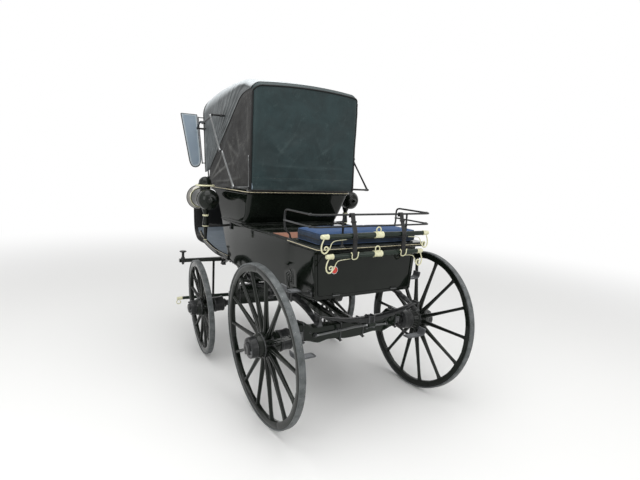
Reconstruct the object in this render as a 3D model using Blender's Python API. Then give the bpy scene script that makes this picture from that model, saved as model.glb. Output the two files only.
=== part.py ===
"""Mail phaeton: a perch carriage with telegraph springs and a folding leather hood.

Metres, +Z up. The carriage faces -Y and its left side is +X. Everything is laid
out from the rear axle, which stands at y = REAR_AXLE_Y, on ground at z = 0.
"""
import math

import bmesh
import bpy
from mathutils import Matrix, Vector

# Driving dimensions of the running gear
REAR_AXLE_Y = 0.825
WHEELBASE = 1.34
REAR_RADIUS = 0.575
FRONT_RADIUS = 0.444
REAR_HALF_TRACK = 0.731
FRONT_HALF_TRACK = 0.700
CAMBER = math.radians(4.4)
REST_STEER = math.radians(-5.6)
REAR_SPOKES = 14
FRONT_SPOKES = 12
REAR_FACETS = 36
FRONT_FACETS = 32
TYRE_WIDTH = 0.046
TYRE_THICKNESS = 0.012
FELLOE_WIDTH = 0.040
FELLOE_DEPTH = 0.048
DISH = 0.030
HUB_OUTER = 0.118
HUB_INNER = -0.210
BORE_RADIUS = 0.0268
ARM_RADIUS = 0.0254
AXLE_BAR = 0.044
GAP = 0.0003

# Driving dimensions of the springs and the top carriage
LEAF_WIDTH = 0.045
LEAF_THICKNESS = 0.008
LEAF_COUNT = 4
REAR_SPRING_X = 0.440
REAR_SPRING_BACK_Y = 0.250
REAR_SPRING_FRONT_Y = -0.470
FRONT_SPRING_X = 0.380
FRONT_SPRING_REACH = 0.340
TRANSOM_BOTTOM = 0.655
TRANSOM_TOP = 0.735
RING_RADIUS = 0.190
KING_PIN_RADIUS = 0.013
SPLINTER_REACH = 0.620
SPLINTER_HALF = 0.790

# Driving dimensions of the body, measured from the rear axle
BOOT_BACK_Y = 0.178
BOOT_FRONT_Y = -1.250
BOOT_BOTTOM = 0.905
BOOT_BELLY = 0.885
BOOT_DECK = 1.275
SEAT_DECK = 1.250
BELT_Z = 1.570
REAR_SEAT_FRONT_Y = -0.156
REAR_SEAT_BACK_Y = 0.262
REAR_SEAT_HALF = 0.482
RAIL_HALF = 0.516
RAIL_BACK_Y = 0.252
RAIL_TOP = 1.498
RAIL_MIDDLE = 1.418
DASH_Y = -2.190
DASH_TOP = 1.420
FLOOR_HALF = 0.500

# Driving dimensions of the hood: angles are above the level, seen from the left,
# from straight back to straight forward about the hood pin
HOOD_Y = -1.570
HOOD_Z = 1.640
REAR_BOW_HOLD = 1.1
BOWS = {
    "rear": dict(angle=43.5, reach=1.152, half=0.488, corner=0.070, foot=0.549, crown=0.026),
    "main": dict(angle=62.0, reach=0.975, half=0.511, corner=0.125, foot=0.560, crown=0.020),
    "third": dict(angle=81.0, reach=0.908, half=0.524, corner=0.190, foot=0.571, crown=0.052),
    "front": dict(angle=108.0, reach=0.872, half=0.548, corner=0.230, foot=0.582, crown=0.045),
}
LEATHER_THICKNESS = 0.005
MAIN_STUD_REACH = 0.633
FRONT_STUD_REACH = 0.482
STAY_KNUCKLE = (-1.530, 2.140)
PROP_FOOT = (-0.740, 1.606)
PROP_KNUCKLE = (-1.010, 1.8885)
LAYER_FRONT_LINK = 0.649
LAYER_REAR_LINK = 0.666
LAYER_UPPER_PROP = 0.683

WING_X = 0.616
WING_AHEAD = 0.046
WING_LOW = 0.105
WING_LENGTH = 0.535
WING_BARREL = (0.060, 0.500)

# Driving dimensions of the lamps
LAMP_X = 0.740
LAMP_Z = 1.476


def clear_scene():
    """Remove whatever the scene holds."""
    for item in list(bpy.data.objects):
        bpy.data.objects.remove(item, do_unlink=True)


FINISHES = {
    "gloss_black": ((0.012, 0.014, 0.013), 0.12, 0.0),
    "tyre_iron": ((0.16, 0.17, 0.17), 0.55, 0.8),
    "black_iron": ((0.015, 0.016, 0.016), 0.30, 0.6),
    "hood_leather": ((0.035, 0.045, 0.045), 0.50, 0.0),
    "blue_cloth": ((0.045, 0.09, 0.20), 0.80, 0.0),
    "lamp_glass": ((0.75, 0.80, 0.80), 0.05, 0.0),
    "wing_cloth": ((0.20, 0.27, 0.36), 0.70, 0.0),
    "strap_leather": ((0.02, 0.02, 0.02), 0.50, 0.0),
}


def finish(name):
    """A plain Principled material for one finish, made once."""
    found = bpy.data.materials.get(name)
    if found:
        return found
    colour, roughness, metallic = FINISHES[name]
    made = bpy.data.materials.new(name)
    made.use_nodes = True
    shader = made.node_tree.nodes["Principled BSDF"]
    shader.inputs["Base Color"].default_value = (*colour, 1.0)
    shader.inputs["Roughness"].default_value = roughness
    shader.inputs["Metallic"].default_value = metallic
    made.diffuse_color = (*colour, 1.0)
    return made


def empty(name, location, parent=None, rotation=(0.0, 0.0, 0.0)):
    """A named frame that carries pieces."""
    made = bpy.data.objects.new(name, None)
    bpy.context.scene.collection.objects.link(made)
    made.location = location
    made.rotation_euler = rotation
    made.parent = parent
    return made


def place(name, mesh, finish_name, parent, location=(0.0, 0.0, 0.0), rotation=(0.0, 0.0, 0.0)):
    """Make one sub-part's object from a mesh or a solid."""
    if isinstance(mesh, bmesh.types.BMesh):
        mesh = to_mesh(mesh, name)
    if not mesh.materials:
        mesh.materials.append(finish(finish_name))
    made = bpy.data.objects.new(name, mesh)
    bpy.context.scene.collection.objects.link(made)
    made.location = location
    made.rotation_euler = rotation
    made.parent = parent
    return made


def to_mesh(solid, name):
    """Turn a solid into a smooth-shaded mesh whose faces point out."""
    bmesh.ops.remove_doubles(solid, verts=solid.verts, dist=1e-6)
    bmesh.ops.dissolve_degenerate(solid, edges=solid.edges, dist=1e-6)
    bmesh.ops.recalc_face_normals(solid, faces=solid.faces)
    mesh = bpy.data.meshes.new(name)
    solid.to_mesh(mesh)
    solid.free()
    mesh.shade_smooth()
    mesh.set_sharp_from_angle(angle=math.radians(35))
    return mesh


def block(low, high):
    """A box between two corners."""
    solid = bmesh.new()
    size = Vector(high) - Vector(low)
    centre = (Vector(high) + Vector(low)) / 2
    matrix = Matrix.Translation(centre) @ Matrix.Diagonal((*size, 1.0))
    bmesh.ops.create_cube(solid, size=1.0, matrix=matrix)
    return solid


def loft(rings):
    """A closed solid through rings of the same number of points."""
    solid = bmesh.new()
    rows = [[solid.verts.new(point) for point in ring] for ring in rings]
    count = len(rows[0])
    for lower, upper in zip(rows, rows[1:]):
        for i in range(count):
            j = (i + 1) % count
            solid.faces.new((lower[i], lower[j], upper[j], upper[i]))
    solid.faces.new(rows[0][::-1])
    solid.faces.new(rows[-1])
    bmesh.ops.recalc_face_normals(solid, faces=solid.faces)
    return solid


def prism(outline, axis, low, high):
    """An outline of two coordinates, drawn out along the third one."""
    def point(a, b, along):
        return {"x": (along, a, b), "y": (a, along, b), "z": (a, b, along)}[axis]
    return loft([[point(a, b, along) for a, b in outline] for along in (low, high)])


def turned(profile, segments, axis, centre=(0.0, 0.0, 0.0), closed_loop=False, offset=0.0):
    """Turn a profile of (along, radius) points round an axis."""
    solid = bmesh.new()
    rows = []
    for k in range(segments):
        angle = 2 * math.pi * (k / segments) + offset
        row = []
        for along, radius in profile:
            a, b = radius * math.cos(angle), radius * math.sin(angle)
            spot = {"x": (along, a, b), "y": (b, along, a), "z": (a, b, along)}[axis]
            row.append(solid.verts.new(Vector(spot) + Vector(centre)))
        rows.append(row)
    count = len(profile)
    last = count if closed_loop else count - 1
    for k in range(segments):
        here, there = rows[k], rows[(k + 1) % segments]
        for i in range(last):
            j = (i + 1) % count
            solid.faces.new((here[i], there[i], there[j], here[j]))
    if not closed_loop:
        bmesh.ops.remove_doubles(solid, verts=solid.verts, dist=1e-7)
    bmesh.ops.dissolve_degenerate(solid, edges=solid.edges, dist=1e-7)
    bmesh.ops.recalc_face_normals(solid, faces=solid.faces)
    return solid


def frames(path):
    """A direction and two square directions at each point of a path, without twist."""
    points = [Vector(p) for p in path]
    result = []
    side = None
    for i, point in enumerate(points):
        ahead = points[min(i + 1, len(points) - 1)] - points[max(i - 1, 0)]
        ahead.normalize()
        if side is None:
            guide = Vector((0, 0, 1)) if abs(ahead.z) < 0.9 else Vector((1, 0, 0))
            side = ahead.cross(guide).normalized()
        side = (side - ahead * side.dot(ahead)).normalized()
        result.append((point, ahead, side, ahead.cross(side)))
    return result


def tube(path, radius, sides=8):
    """A round bar along a path, of one radius or a list of radii."""
    radii = radius if isinstance(radius, (list, tuple)) else [radius] * len(path)
    rings = []
    for (point, _ahead, side, up), r in zip(frames(path), radii):
        angles = [2 * math.pi * k / sides for k in range(sides)]
        rings.append([point + side * (r * math.cos(t)) + up * (r * math.sin(t)) for t in angles])
    return loft(rings)


def ribbon(path, across, width, thickness):
    """A flat bar along a path, as wide as width in the direction across."""
    across = Vector(across).normalized()
    points = [Vector(p) for p in path]
    rings = []
    for i, point in enumerate(points):
        ahead = points[min(i + 1, len(points) - 1)] - points[max(i - 1, 0)]
        up = across.cross(ahead.normalized()).normalized()
        half, rise = across * (width / 2), up * (thickness / 2)
        rings.append([point - half - rise, point + half - rise, point + half + rise, point - half + rise])
    return loft(rings)


def rod(start, end, radius, sides=10):
    """A straight round bar between two points."""
    return tube([start, end], radius, sides)


def smooth_path(points, steps):
    """A Catmull-Rom curve through the points, with steps spans between each two."""
    spots = [Vector(p) for p in points]
    spots = [2 * spots[0] - spots[1]] + spots + [2 * spots[-1] - spots[-2]]
    result = []
    for a, b, c, d in zip(spots, spots[1:], spots[2:], spots[3:]):
        for k in range(steps):
            t = k / steps
            result.append(0.5 * ((2 * b) + (c - a) * t + (2 * a - 5 * b + 4 * c - d) * t * t
                                 + (3 * b - a - 3 * c + d) * t ** 3))
    result.append(spots[-2])
    return result


def combined(base, tools, operation="UNION"):
    """Join solids, or cut them from the first, into one solid."""
    scratch = [bpy.data.objects.new("scratch", to_mesh(solid, "scratch")) for solid in [base, *tools]]
    for item in scratch:
        bpy.context.scene.collection.objects.link(item)
    for tool in scratch[1:]:
        step = scratch[0].modifiers.new("step", "BOOLEAN")
        step.operation = operation
        step.solver = "EXACT"
        step.object = tool
    graph = bpy.context.evaluated_depsgraph_get()
    mesh = bpy.data.meshes.new_from_object(scratch[0].evaluated_get(graph))
    solid = bmesh.new()
    solid.from_mesh(mesh)
    bpy.data.meshes.remove(mesh)
    for item in scratch:
        old = item.data
        bpy.data.objects.remove(item, do_unlink=True)
        bpy.data.meshes.remove(old)
    bmesh.ops.remove_doubles(solid, verts=solid.verts, dist=1e-5)
    bmesh.ops.dissolve_degenerate(solid, edges=solid.edges, dist=1e-5)
    bmesh.ops.dissolve_limit(solid, angle_limit=math.radians(0.5), verts=solid.verts, edges=solid.edges)
    return solid


def mirrored(points):
    """The same points on the other side of the carriage."""
    return [(-x, y, z) for x, y, z in points]


def on_side(points, side):
    """Points given for the left side, moved to the side wanted (+1 left, -1 right)."""
    return [(side * x, y, z) for x, y, z in points]


def hood_point(reach, degrees, x=0.0):
    """A place at a distance and an angle from the hood pin."""
    angle = math.radians(degrees)
    return Vector((x, HOOD_Y + reach * math.cos(angle), HOOD_Z + reach * math.sin(angle)))


# Wheels

def rolling_height(radius, facets):
    """How high the centre of a leaning faceted wheel stands."""
    flat = radius * math.cos(math.pi / facets)
    return flat * math.cos(CAMBER) + TYRE_WIDTH / 2 * math.sin(CAMBER)


REAR_HUB_Z = rolling_height(REAR_RADIUS, REAR_FACETS)
FRONT_HUB_Z = rolling_height(FRONT_RADIUS, FRONT_FACETS)


def nave_profile(scale):
    """The turned nave with its mail box: (along the axle outwards, radius)."""
    return [
        (HUB_OUTER, 0.0), (HUB_OUTER, 0.042 * scale), (0.104, 0.046 * scale), (0.104, 0.066 * scale),
        (0.048, 0.064 * scale), (0.012, 0.087 * scale), (-0.064, 0.087 * scale), (-0.072, 0.079 * scale),
        (-0.116, 0.070 * scale), (-0.120, 0.076 * scale), (HUB_INNER, 0.076 * scale), (HUB_INNER, 0.0),
    ]


def spoke(angle, root, tip, facets=6):
    """One oval spoke, set out by the dish and thinning to the felloe."""
    out = Vector((0.0, math.cos(angle), math.sin(angle)))
    round_way = Vector((0.0, -math.sin(angle), math.cos(angle)))
    along = Vector((1.0, 0.0, 0.0))
    rings = []
    for share, wide, deep in ((0.0, 0.0165, 0.021), (1.0, 0.0125, 0.0145)):
        centre = out * (root + (tip - root) * share) + along * (-DISH * (1 - share))
        angles = [2 * math.pi * (k + 0.5) / facets for k in range(facets)]
        rings.append([centre + round_way * (wide * math.cos(t)) + along * (deep * math.sin(t))
                      for t in angles])
    return loft(rings)


def wheel_mesh(radius, spokes, facets, scale):
    """Nave, spokes and felloes, built up into one wheel round local X."""
    outer = radius - TYRE_THICKNESS - GAP
    inner = outer - FELLOE_DEPTH
    half = FELLOE_WIDTH / 2
    chamfer = 0.005
    loop = [(-half, outer), (-half, inner + chamfer), (-half + chamfer, inner),
            (half - chamfer, inner), (half, inner + chamfer), (half, outer)]
    shift = math.pi / facets
    felloes = turned(loop, facets, "x", closed_loop=True, offset=shift)
    nave = turned(nave_profile(scale), 12, "x")
    arms = [spoke(2 * math.pi * (k + 0.5) / spokes, 0.060 * scale, inner + 0.020) for k in range(spokes)]
    whole = combined(nave, [felloes, *arms])
    bore = rod((HUB_INNER - 0.02, 0, 0), (0.088, 0, 0), BORE_RADIUS, 12)
    return to_mesh(combined(whole, [bore], "DIFFERENCE"), "wheel")


def tyre_mesh(radius, facets):
    """The iron tyre shrunk on the felloes."""
    half = TYRE_WIDTH / 2
    loop = [(-half, radius), (-half, radius - TYRE_THICKNESS), (half, radius - TYRE_THICKNESS), (half, radius)]
    return to_mesh(turned(loop, facets, "x", closed_loop=True, offset=math.pi / facets), "tyre")


def build_wheel_pair(end, radius, spokes, facets, half_track, height, scale, parent):
    """A left and a right wheel on one axle, leaning out at the top."""
    wheel = wheel_mesh(radius, spokes, facets, scale)
    tyre = tyre_mesh(radius, facets)
    for side, label, turn in ((1, "left", 0.0), (-1, "right", math.pi)):
        centre = (side * half_track, 0.0, height)
        hub = empty(f"{end}_hub_{label}", centre, parent, (0.0, CAMBER, turn))
        place(f"{end}_wheel_{label}", wheel, "gloss_black", hub)
        place(f"{end}_tyre_{label}", tyre, "tyre_iron", hub)


# Axles and the perch

def axle_solid(half_track, height):
    """An iron axle: a square bar with round arms that lean down outwards."""
    lean = Vector((math.cos(CAMBER), 0.0, -math.sin(CAMBER)))
    centre = Vector((half_track, 0.0, height))
    shoulder = centre + lean * (HUB_INNER - 0.026)
    bar_z = shoulder.z
    half = AXLE_BAR / 2
    bar = block((-shoulder.x, -half, bar_z - half), (shoulder.x, half, bar_z + half))
    pieces = []
    for side in (1, -1):
        flip = Vector((side, 1.0, 1.0))
        collar = [(shoulder - lean * 0.004) * flip, (centre + lean * (HUB_INNER - 0.0015)) * flip]
        arm = [(shoulder - lean * 0.010) * flip, (centre + lean * 0.084) * flip]
        pieces.append(rod(*collar, 0.040, 14))
        pieces.append(rod(*arm, ARM_RADIUS, 12))
    return combined(bar, pieces), bar_z


def build_rear_axle(parent):
    """Rear axle, its shaped wooden bed and the lower steps that the bed carries."""
    axle, bar_z = axle_solid(REAR_HALF_TRACK, REAR_HUB_Z)
    place("rear_axle", axle, "black_iron", parent)
    top, shoulder_top = 0.655, 0.690
    right_half = [(0.0, top), (0.33, top), (0.37, 0.668), (0.40, shoulder_top), (0.480, shoulder_top),
                  (0.480, 0.566), (0.40, 0.563), (0.34, 0.545), (0.30, 0.535), (0.22, 0.548),
                  (0.12, 0.540), (0.06, 0.532)]
    outline = right_half + [(-x, z) for x, z in reversed(right_half[1:])]
    bed = prism(outline, "y", -0.045, 0.045)
    half = AXLE_BAR / 2 + GAP
    groove = block((-0.6, -half, 0.45), (0.6, half, bar_z + half))
    bed = combined(bed, [groove], "DIFFERENCE")
    steps = []
    for side in (1, -1):
        iron = on_side([(0.455, 0.036, 0.600), (0.460, 0.062, 0.565), (0.475, 0.100, 0.532),
                        (0.490, 0.145, 0.516), (0.500, 0.190, 0.513)], side)
        steps.append(tube(iron, 0.010, 6))
        steps.append(step_tread(side, 0.530, 0.190, 0.520))
    place("rear_axle_bed", combined(bed, steps), "gloss_black", parent)


def step_tread(side, x, y, z):
    """A narrow tread with its outer end turned up."""
    path = smooth_path(on_side([(x - 0.060, y, z), (x + 0.030, y, z), (x + 0.058, y, z + 0.012),
                                (x + 0.066, y, z + 0.050)], side), 2)
    return ribbon(path, (0, 1, 0), 0.075, 0.008)


def build_perch(parent):
    """The central pole that joins the rear axle bed to the top carriage."""
    front_y = -WHEELBASE + FRONT_SPRING_REACH + 0.045
    stations = [(-0.0455, 0.600, 0.070), (-0.30, 0.602, 0.066), (-0.65, 0.640, 0.064), (front_y, 0.695, 0.074)]
    rings = []
    for y, z, deep in stations:
        wide = 0.032
        cut = 0.008
        corners = [(-wide, -deep / 2 + cut), (-wide + cut, -deep / 2), (wide - cut, -deep / 2),
                   (wide, -deep / 2 + cut), (wide, deep / 2 - cut), (wide - cut, deep / 2),
                   (-wide + cut, deep / 2), (-wide, deep / 2 - cut)]
        rings.append([(x, y, z + h) for x, h in corners])
    place("perch", loft(rings), "gloss_black", parent)


# Springs

def leaf_outline(half_length, rise):
    """Side view of a stepped leaf spring that curves up at its ends: (along, height)."""
    def curve(a):
        return rise * (a / half_length) ** 2
    top = [(half_length * k / 4, curve(half_length * k / 4)) for k in range(4, -5, -1)]
    under = []
    for leaf in range(LEAF_COUNT):
        reach = half_length * (1 - leaf / LEAF_COUNT)
        inner = half_length * (1 - (leaf + 1) / LEAF_COUNT)
        drop = LEAF_THICKNESS * (leaf + 1)
        under.append((reach, curve(reach) - drop))
        if leaf < LEAF_COUNT - 1:
            under.append((inner, curve(inner) - drop))
    left = [(-a, h) for a, h in under]
    return top + left + under[::-1]


def spring_solid(half_length, rise, axis, eye=0.0, clamp_up=False):
    """One leaf spring along X or Y with its middle at the origin, clamp and eyes."""
    sign = -1.0 if clamp_up else 1.0
    outline = [(a, sign * h) for a, h in leaf_outline(half_length, rise)]
    half = LEAF_WIDTH / 2
    other = {"x": "y", "y": "x"}[axis]
    base = prism(outline, other, -half, half)
    low, high = -LEAF_THICKNESS * LEAF_COUNT - 0.008, 0.010
    corner = (0.035, half + 0.006)
    if axis == "y":
        corner = corner[::-1]
    bottom, top = (-high, -low) if clamp_up else (low, high)
    tools = [block((-corner[0], -corner[1], bottom), (corner[0], corner[1], top))]
    if eye:
        for side in (1, -1):
            spot = sign * (rise - LEAF_THICKNESS / 2)
            ends = [(side * half_length, -half, spot), (side * half_length, half, spot)]
            if axis == "y":
                ends = [(y, x, z) for x, y, z in ends]
            tools.append(rod(*ends, eye, 6))
    return combined(base, tools)


def side_spring_solid(half_length, rise, shackle_top):
    """A body side spring: ends down, each end carrying the cheeks of its shackle."""
    base = spring_solid(half_length, rise, "y", clamp_up=True)
    tools = []
    half = LEAF_WIDTH / 2
    end_z = -rise
    for side in (1, -1):
        y = side * half_length
        tools.append(block((-0.020, y - half - 0.008, end_z - 0.010), (0.020, y + half + 0.008, end_z + 0.012)))
        for cheek in (-1, 1):
            inner = y + cheek * (half + 0.001)
            outer = y + cheek * (half + 0.008)
            low, high = sorted((inner, outer))
            tools.append(block((-0.015, low, end_z), (0.015, high, shackle_top)))
    return combined(base, tools)


CROSS_RISE = 0.062
SIDE_RISE = 0.086
SHACKLE_RISE = 0.030


def build_spring_set(end, x, back_y, front_y, body_z, parent):
    """Two cross springs below, ends up, and two side springs above, ends down."""
    cross_z = body_z - SIDE_RISE + SHACKLE_RISE - CROSS_RISE - 0.010
    middle = (back_y + front_y) / 2
    half = (back_y - front_y) / 2
    cross = to_mesh(spring_solid(x, CROSS_RISE, "x", eye=0.013), "cross_spring")
    place(f"{end}_cross_spring_back", cross, "black_iron", parent, (0, back_y, cross_z))
    place(f"{end}_cross_spring_front", cross, "black_iron", parent, (0, front_y, cross_z))
    shackle_top = cross_z + CROSS_RISE + 0.012 - body_z
    side = to_mesh(side_spring_solid(half, SIDE_RISE, shackle_top), "side_spring")
    top = body_z - 0.040 - GAP
    for sign, label in ((1, "left"), (-1, "right")):
        place(f"{end}_side_spring_{label}", side, "black_iron", parent, (sign * x, middle, top))
    return cross_z - LEAF_THICKNESS * LEAF_COUNT - 0.008


def build_rear_spring_stay(seat_z, parent):
    """The iron bearer over the rear axle bed that holds both cross springs, with its stays."""
    z = seat_z - 0.0125 - GAP
    low = 0.655 + 0.0125 + GAP
    path = [(0, REAR_SPRING_FRONT_Y - 0.035, z), (0, REAR_SPRING_FRONT_Y + 0.060, z), (0, -0.28, z - 0.012),
            (0, -0.14, low + 0.006), (0, -0.060, low), (0, 0.060, low), (0, 0.110, low + 0.006),
            (0, 0.170, z - 0.008), (0, REAR_SPRING_BACK_Y - 0.045, z), (0, REAR_SPRING_BACK_Y + 0.035, z)]
    beam = ribbon(path, (1, 0, 0), 0.060, 0.025)
    stays = []
    for side in (1, -1):
        line = on_side([(0.015, 0.245, z), (0.060, 0.160, 0.645), (0.095, 0.095, 0.618), (0.140, 0.0550, 0.608),
                        (0.330, 0.0550, 0.598)], side)
        stays.append(tube(line, 0.0085, 6))
    place("rear_spring_stay", combined(beam, stays), "black_iron", parent)


# Fore-carriage and top carriage

def build_top_carriage(seat_z, parent):
    """The fixed transom with its wheel plate, spring bearer and king pin."""
    y = -WHEELBASE
    reach = FRONT_SPRING_REACH + 0.045
    transom = block((-0.345, y - 0.045, TRANSOM_BOTTOM), (0.345, y + 0.045, TRANSOM_TOP))
    bearer = block((-0.035, y - reach, TRANSOM_BOTTOM + 0.004), (0.035, y + reach, TRANSOM_TOP - 0.004))
    rise = seat_z - GAP
    pads = [block((-0.040, y + s * FRONT_SPRING_REACH - 0.035, TRANSOM_TOP - 0.02),
                  (0.040, y + s * FRONT_SPRING_REACH + 0.035, rise)) for s in (1, -1)]
    low, high = TRANSOM_BOTTOM - 0.014, TRANSOM_BOTTOM + 0.002
    near, far = RING_RADIUS - 0.022, RING_RADIUS + 0.022
    plate = turned([(low, near), (low, far), (high, far), (high, near)], 24, "z", centre=(0, y, 0),
                   closed_loop=True)
    pin = turned([(0.448, 0.0), (0.448, KING_PIN_RADIUS), (TRANSOM_TOP, KING_PIN_RADIUS), (TRANSOM_TOP, 0.024),
                  (TRANSOM_TOP + 0.012, 0.024), (TRANSOM_TOP + 0.018, 0.0)], 12, "z", centre=(0, y, 0))
    place("top_carriage", combined(transom, [bearer, *pads, plate, pin]), "gloss_black", parent)


def build_fore_carriage(parent):
    """Everything that turns about the king pin, apart from the wheels."""
    axle, bar_z = axle_solid(FRONT_HALF_TRACK, FRONT_HUB_Z)
    place("front_axle", cut_king_pin(axle, 0.40, 0.50), "black_iron", parent)
    ring_top = TRANSOM_BOTTOM - 0.014 - GAP
    ring_low = ring_top - 0.016
    ring = turned([(ring_low, RING_RADIUS - 0.026), (ring_low, RING_RADIUS + 0.026),
                   (ring_top, RING_RADIUS + 0.026), (ring_top, RING_RADIUS - 0.026)], 24, "z", closed_loop=True)
    bed_top = ring_low + 0.003
    half_outline = [(0.0, bed_top), (0.30, bed_top), (0.36, 0.585), (0.425, 0.560),
                    (0.425, bar_z - 0.012), (0.30, bar_z - 0.015), (0.20, bar_z - 0.004)]
    outline = half_outline + [(-x, z) for x, z in reversed(half_outline[1:])]
    half = AXLE_BAR / 2 + GAP
    groove = block((-0.6, -half, 0.35), (0.6, half, bar_z + half))
    bed = combined(prism(outline, "y", -0.046, 0.046), [groove], "DIFFERENCE")
    bed = combined(bed, [ring])
    place("front_axle_bed", cut_king_pin(bed, 0.40, 0.70), "gloss_black", parent)
    build_futchells(parent)


def cut_king_pin(solid, low, high):
    """Bore a solid for the king pin."""
    return combined(solid, [rod((0, 0, low), (0, 0, high), KING_PIN_RADIUS + 0.0009, 12)], "DIFFERENCE")


def build_futchells(parent):
    """Two futchells and their footing plate, splinter bar with roller bolts, and the low bar."""
    start_y = -0.0470
    bar_low, bar_high = 0.742, 0.782
    arms = []
    for side in (1, -1):
        seat = bar_low - 0.020 - GAP
        path = on_side([(0.145, start_y, 0.578), (0.146, -0.120, 0.579), (0.152, -0.230, 0.592),
                        (0.160, -0.340, 0.610), (0.166, -0.420, 0.638), (0.176, -0.490, 0.684),
                        (0.185, -0.550, seat - 0.004), (0.190, -0.582, seat), (0.198, -0.655, seat)], side)
        arms.append(ribbon(path, (1, 0, 0), 0.040, 0.040))
    tie = block((-0.163, -0.365, 0.602), (0.163, -0.315, 0.626))
    place("futchells", combined(arms[0], [arms[1], tie]), "gloss_black", parent)
    rings = []
    for x, wide, deep in ((-SPLINTER_HALF, 0.034, 0.030), (-0.35, 0.055, 0.040), (0.35, 0.055, 0.040),
                          (SPLINTER_HALF, 0.034, 0.030)):
        middle = (bar_low + bar_high) / 2
        cut = 0.006
        wy, wz = wide / 2, deep / 2
        corners = [(-wy, -wz + cut), (-wy + cut, -wz), (wy - cut, -wz), (wy, -wz + cut),
                   (wy, wz - cut), (wy - cut, wz), (-wy + cut, wz), (-wy, wz - cut)]
        rings.append([(x, -SPLINTER_REACH + a, middle + b) for a, b in corners])
    bar = loft(rings)
    bolt = [(bar_low - 0.022, 0.0), (bar_low - 0.022, 0.012), (bar_high + 0.055, 0.013),
            (bar_high + 0.070, 0.036), (bar_high + 0.082, 0.034), (bar_high + 0.084, 0.0)]
    bolts = [turned(bolt, 8, "z", centre=(x, -SPLINTER_REACH, 0)) for x in (-0.752, -0.245, 0.245, 0.752)]
    place("splinter_bar", combined(bar, bolts), "gloss_black", parent)
    build_low_bar(parent, bar_low)


def build_low_bar(parent, hang_z):
    """The spare swingle bar that hangs in two straps under the splinter bar."""
    length, drop = 0.772, 0.385
    stations = [(-length, 0.016), (-0.40, 0.019), (0.40, 0.019), (length, 0.016)]
    bar = tube([(x, 0, -drop) for x, _r in stations], [r for _x, r in stations], 8)
    parts = [ribbon([(side * 0.430, 0, -GAP), (side * 0.430, 0, -drop)], (1, 0, 0), 0.024, 0.006)
             for side in (1, -1)]
    parts += [curl((side * (length - 0.016), 0.0, -drop - 0.010), side, 0.0035) for side in (1, -1)]
    place("low_bar", combined(bar, parts), "gloss_black", parent, (0, -SPLINTER_REACH, hang_z))


def curl(start, side, radius, turns=0.85, size=0.030):
    """A small scrolled hook that drops from a bar end and rolls outwards and up."""
    origin = Vector(start)
    points = []
    count = 6
    for k in range(count + 1):
        share = k / count
        angle = math.pi * 0.5 - side * 2 * math.pi * turns * share
        reach = size * (1 - 0.55 * share)
        centre = origin + Vector((0, 0, -size))
        points.append(centre + Vector((math.cos(angle) * reach, 0, math.sin(angle) * reach)))
    return tube(points, radius, 5)


# Body

def body_half_width(y, z):
    """Half the boot's width: wide under the front seat, drawn in behind and below."""
    share = min(max((y + 0.90) / (BOOT_BACK_Y + 0.90), 0.0), 1.0)
    share = share * share * (3 - 2 * share)
    lower = min(max((BOOT_DECK - z) / 0.37, 0.0), 1.0)
    return 0.500 - 0.045 * share - 0.032 * lower * (0.35 + 0.65 * share)


def build_boot(parent):
    """The wooden boot under both seats, its rear quarter deck lower than the front."""
    ledge = REAR_SEAT_FRONT_Y - 0.001
    stations = [(BOOT_BACK_Y, BOOT_BACK_Y, BOOT_BOTTOM, SEAT_DECK), (0.08, 0.08, 0.888, SEAT_DECK),
                (0.02, 0.02, BOOT_BELLY, SEAT_DECK), (ledge, ledge, BOOT_BELLY, SEAT_DECK),
                (ledge, ledge, BOOT_BELLY, BOOT_DECK), (-0.24, -0.24, BOOT_BELLY, BOOT_DECK),
                (-0.55, -0.55, 0.872, BOOT_DECK), (-0.90, -0.90, 0.876, BOOT_DECK),
                (BOOT_FRONT_Y, -1.420, BOOT_BOTTOM, BOOT_DECK)]
    rings = []
    for y_low, y_high, low, high in stations:
        waist = (y_low + y_high) / 2
        middle = (low + high) / 2
        row = [(y_low, low), (waist, middle), (y_high, high)]
        left = [(body_half_width(y, z), y, z) for y, z in row]
        rings.append(left + mirrored(left[::-1]))
    solid = loft(rings)
    place("boot", solid, "gloss_black", parent)


def seat_rows():
    """Rows of the front seat's flared wall, bottom to top: height and plan sizes."""
    rows = []
    for share in (0.0, 0.30, 0.70, 1.0):
        z = BOOT_DECK + GAP + (BELT_Z - BOOT_DECK) * share
        back = -0.955 + 0.160 * share ** 0.8
        half_back = 0.470 + 0.035 * share
        half_front = 0.500 + 0.085 * share ** 0.8
        tip = max(share - 0.75, 0.0) / 0.25
        front = -1.400 + 0.045 * share - 0.255 * tip * tip
        rows.append((z, back, half_back, half_front, front))
    return rows


def seat_plan(back, half_back, half_front, front, corner):
    """Plan path of the seat wall from the left arm round the back to the right arm."""
    left = [(half_front, front), (half_front * 0.6 + half_back * 0.4, front * 0.6 + back * 0.4)]
    for k in range(3):
        angle = math.pi / 2 * k / 2
        left.append((half_back - corner + corner * math.cos(angle), back - corner + corner * math.sin(angle)))
    return left + [(-x, y) for x, y in reversed(left)]


def wall_ring(points, thickness):
    """Outer and inner points of a plan path, the inner side drawn in by a thickness."""
    spots = [Vector((x, y)) for x, y in points]
    inner = []
    for i, spot in enumerate(spots):
        ahead = spots[min(i + 1, len(spots) - 1)] - spots[max(i - 1, 0)]
        inner.append(spot + Vector((-ahead.y, ahead.x)).normalized() * thickness)
    return [tuple(p) for p in spots], [tuple(p) for p in inner]


def wall_solid(levels, thickness):
    """A U-shaped wall through plan paths at rising heights."""
    rings = []
    for z, path in levels:
        outer, inner = wall_ring(path, thickness)
        rings.append([(x, y, z) for x, y in outer] + [(x, y, z) for x, y in reversed(inner)])
    return loft(rings)


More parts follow.
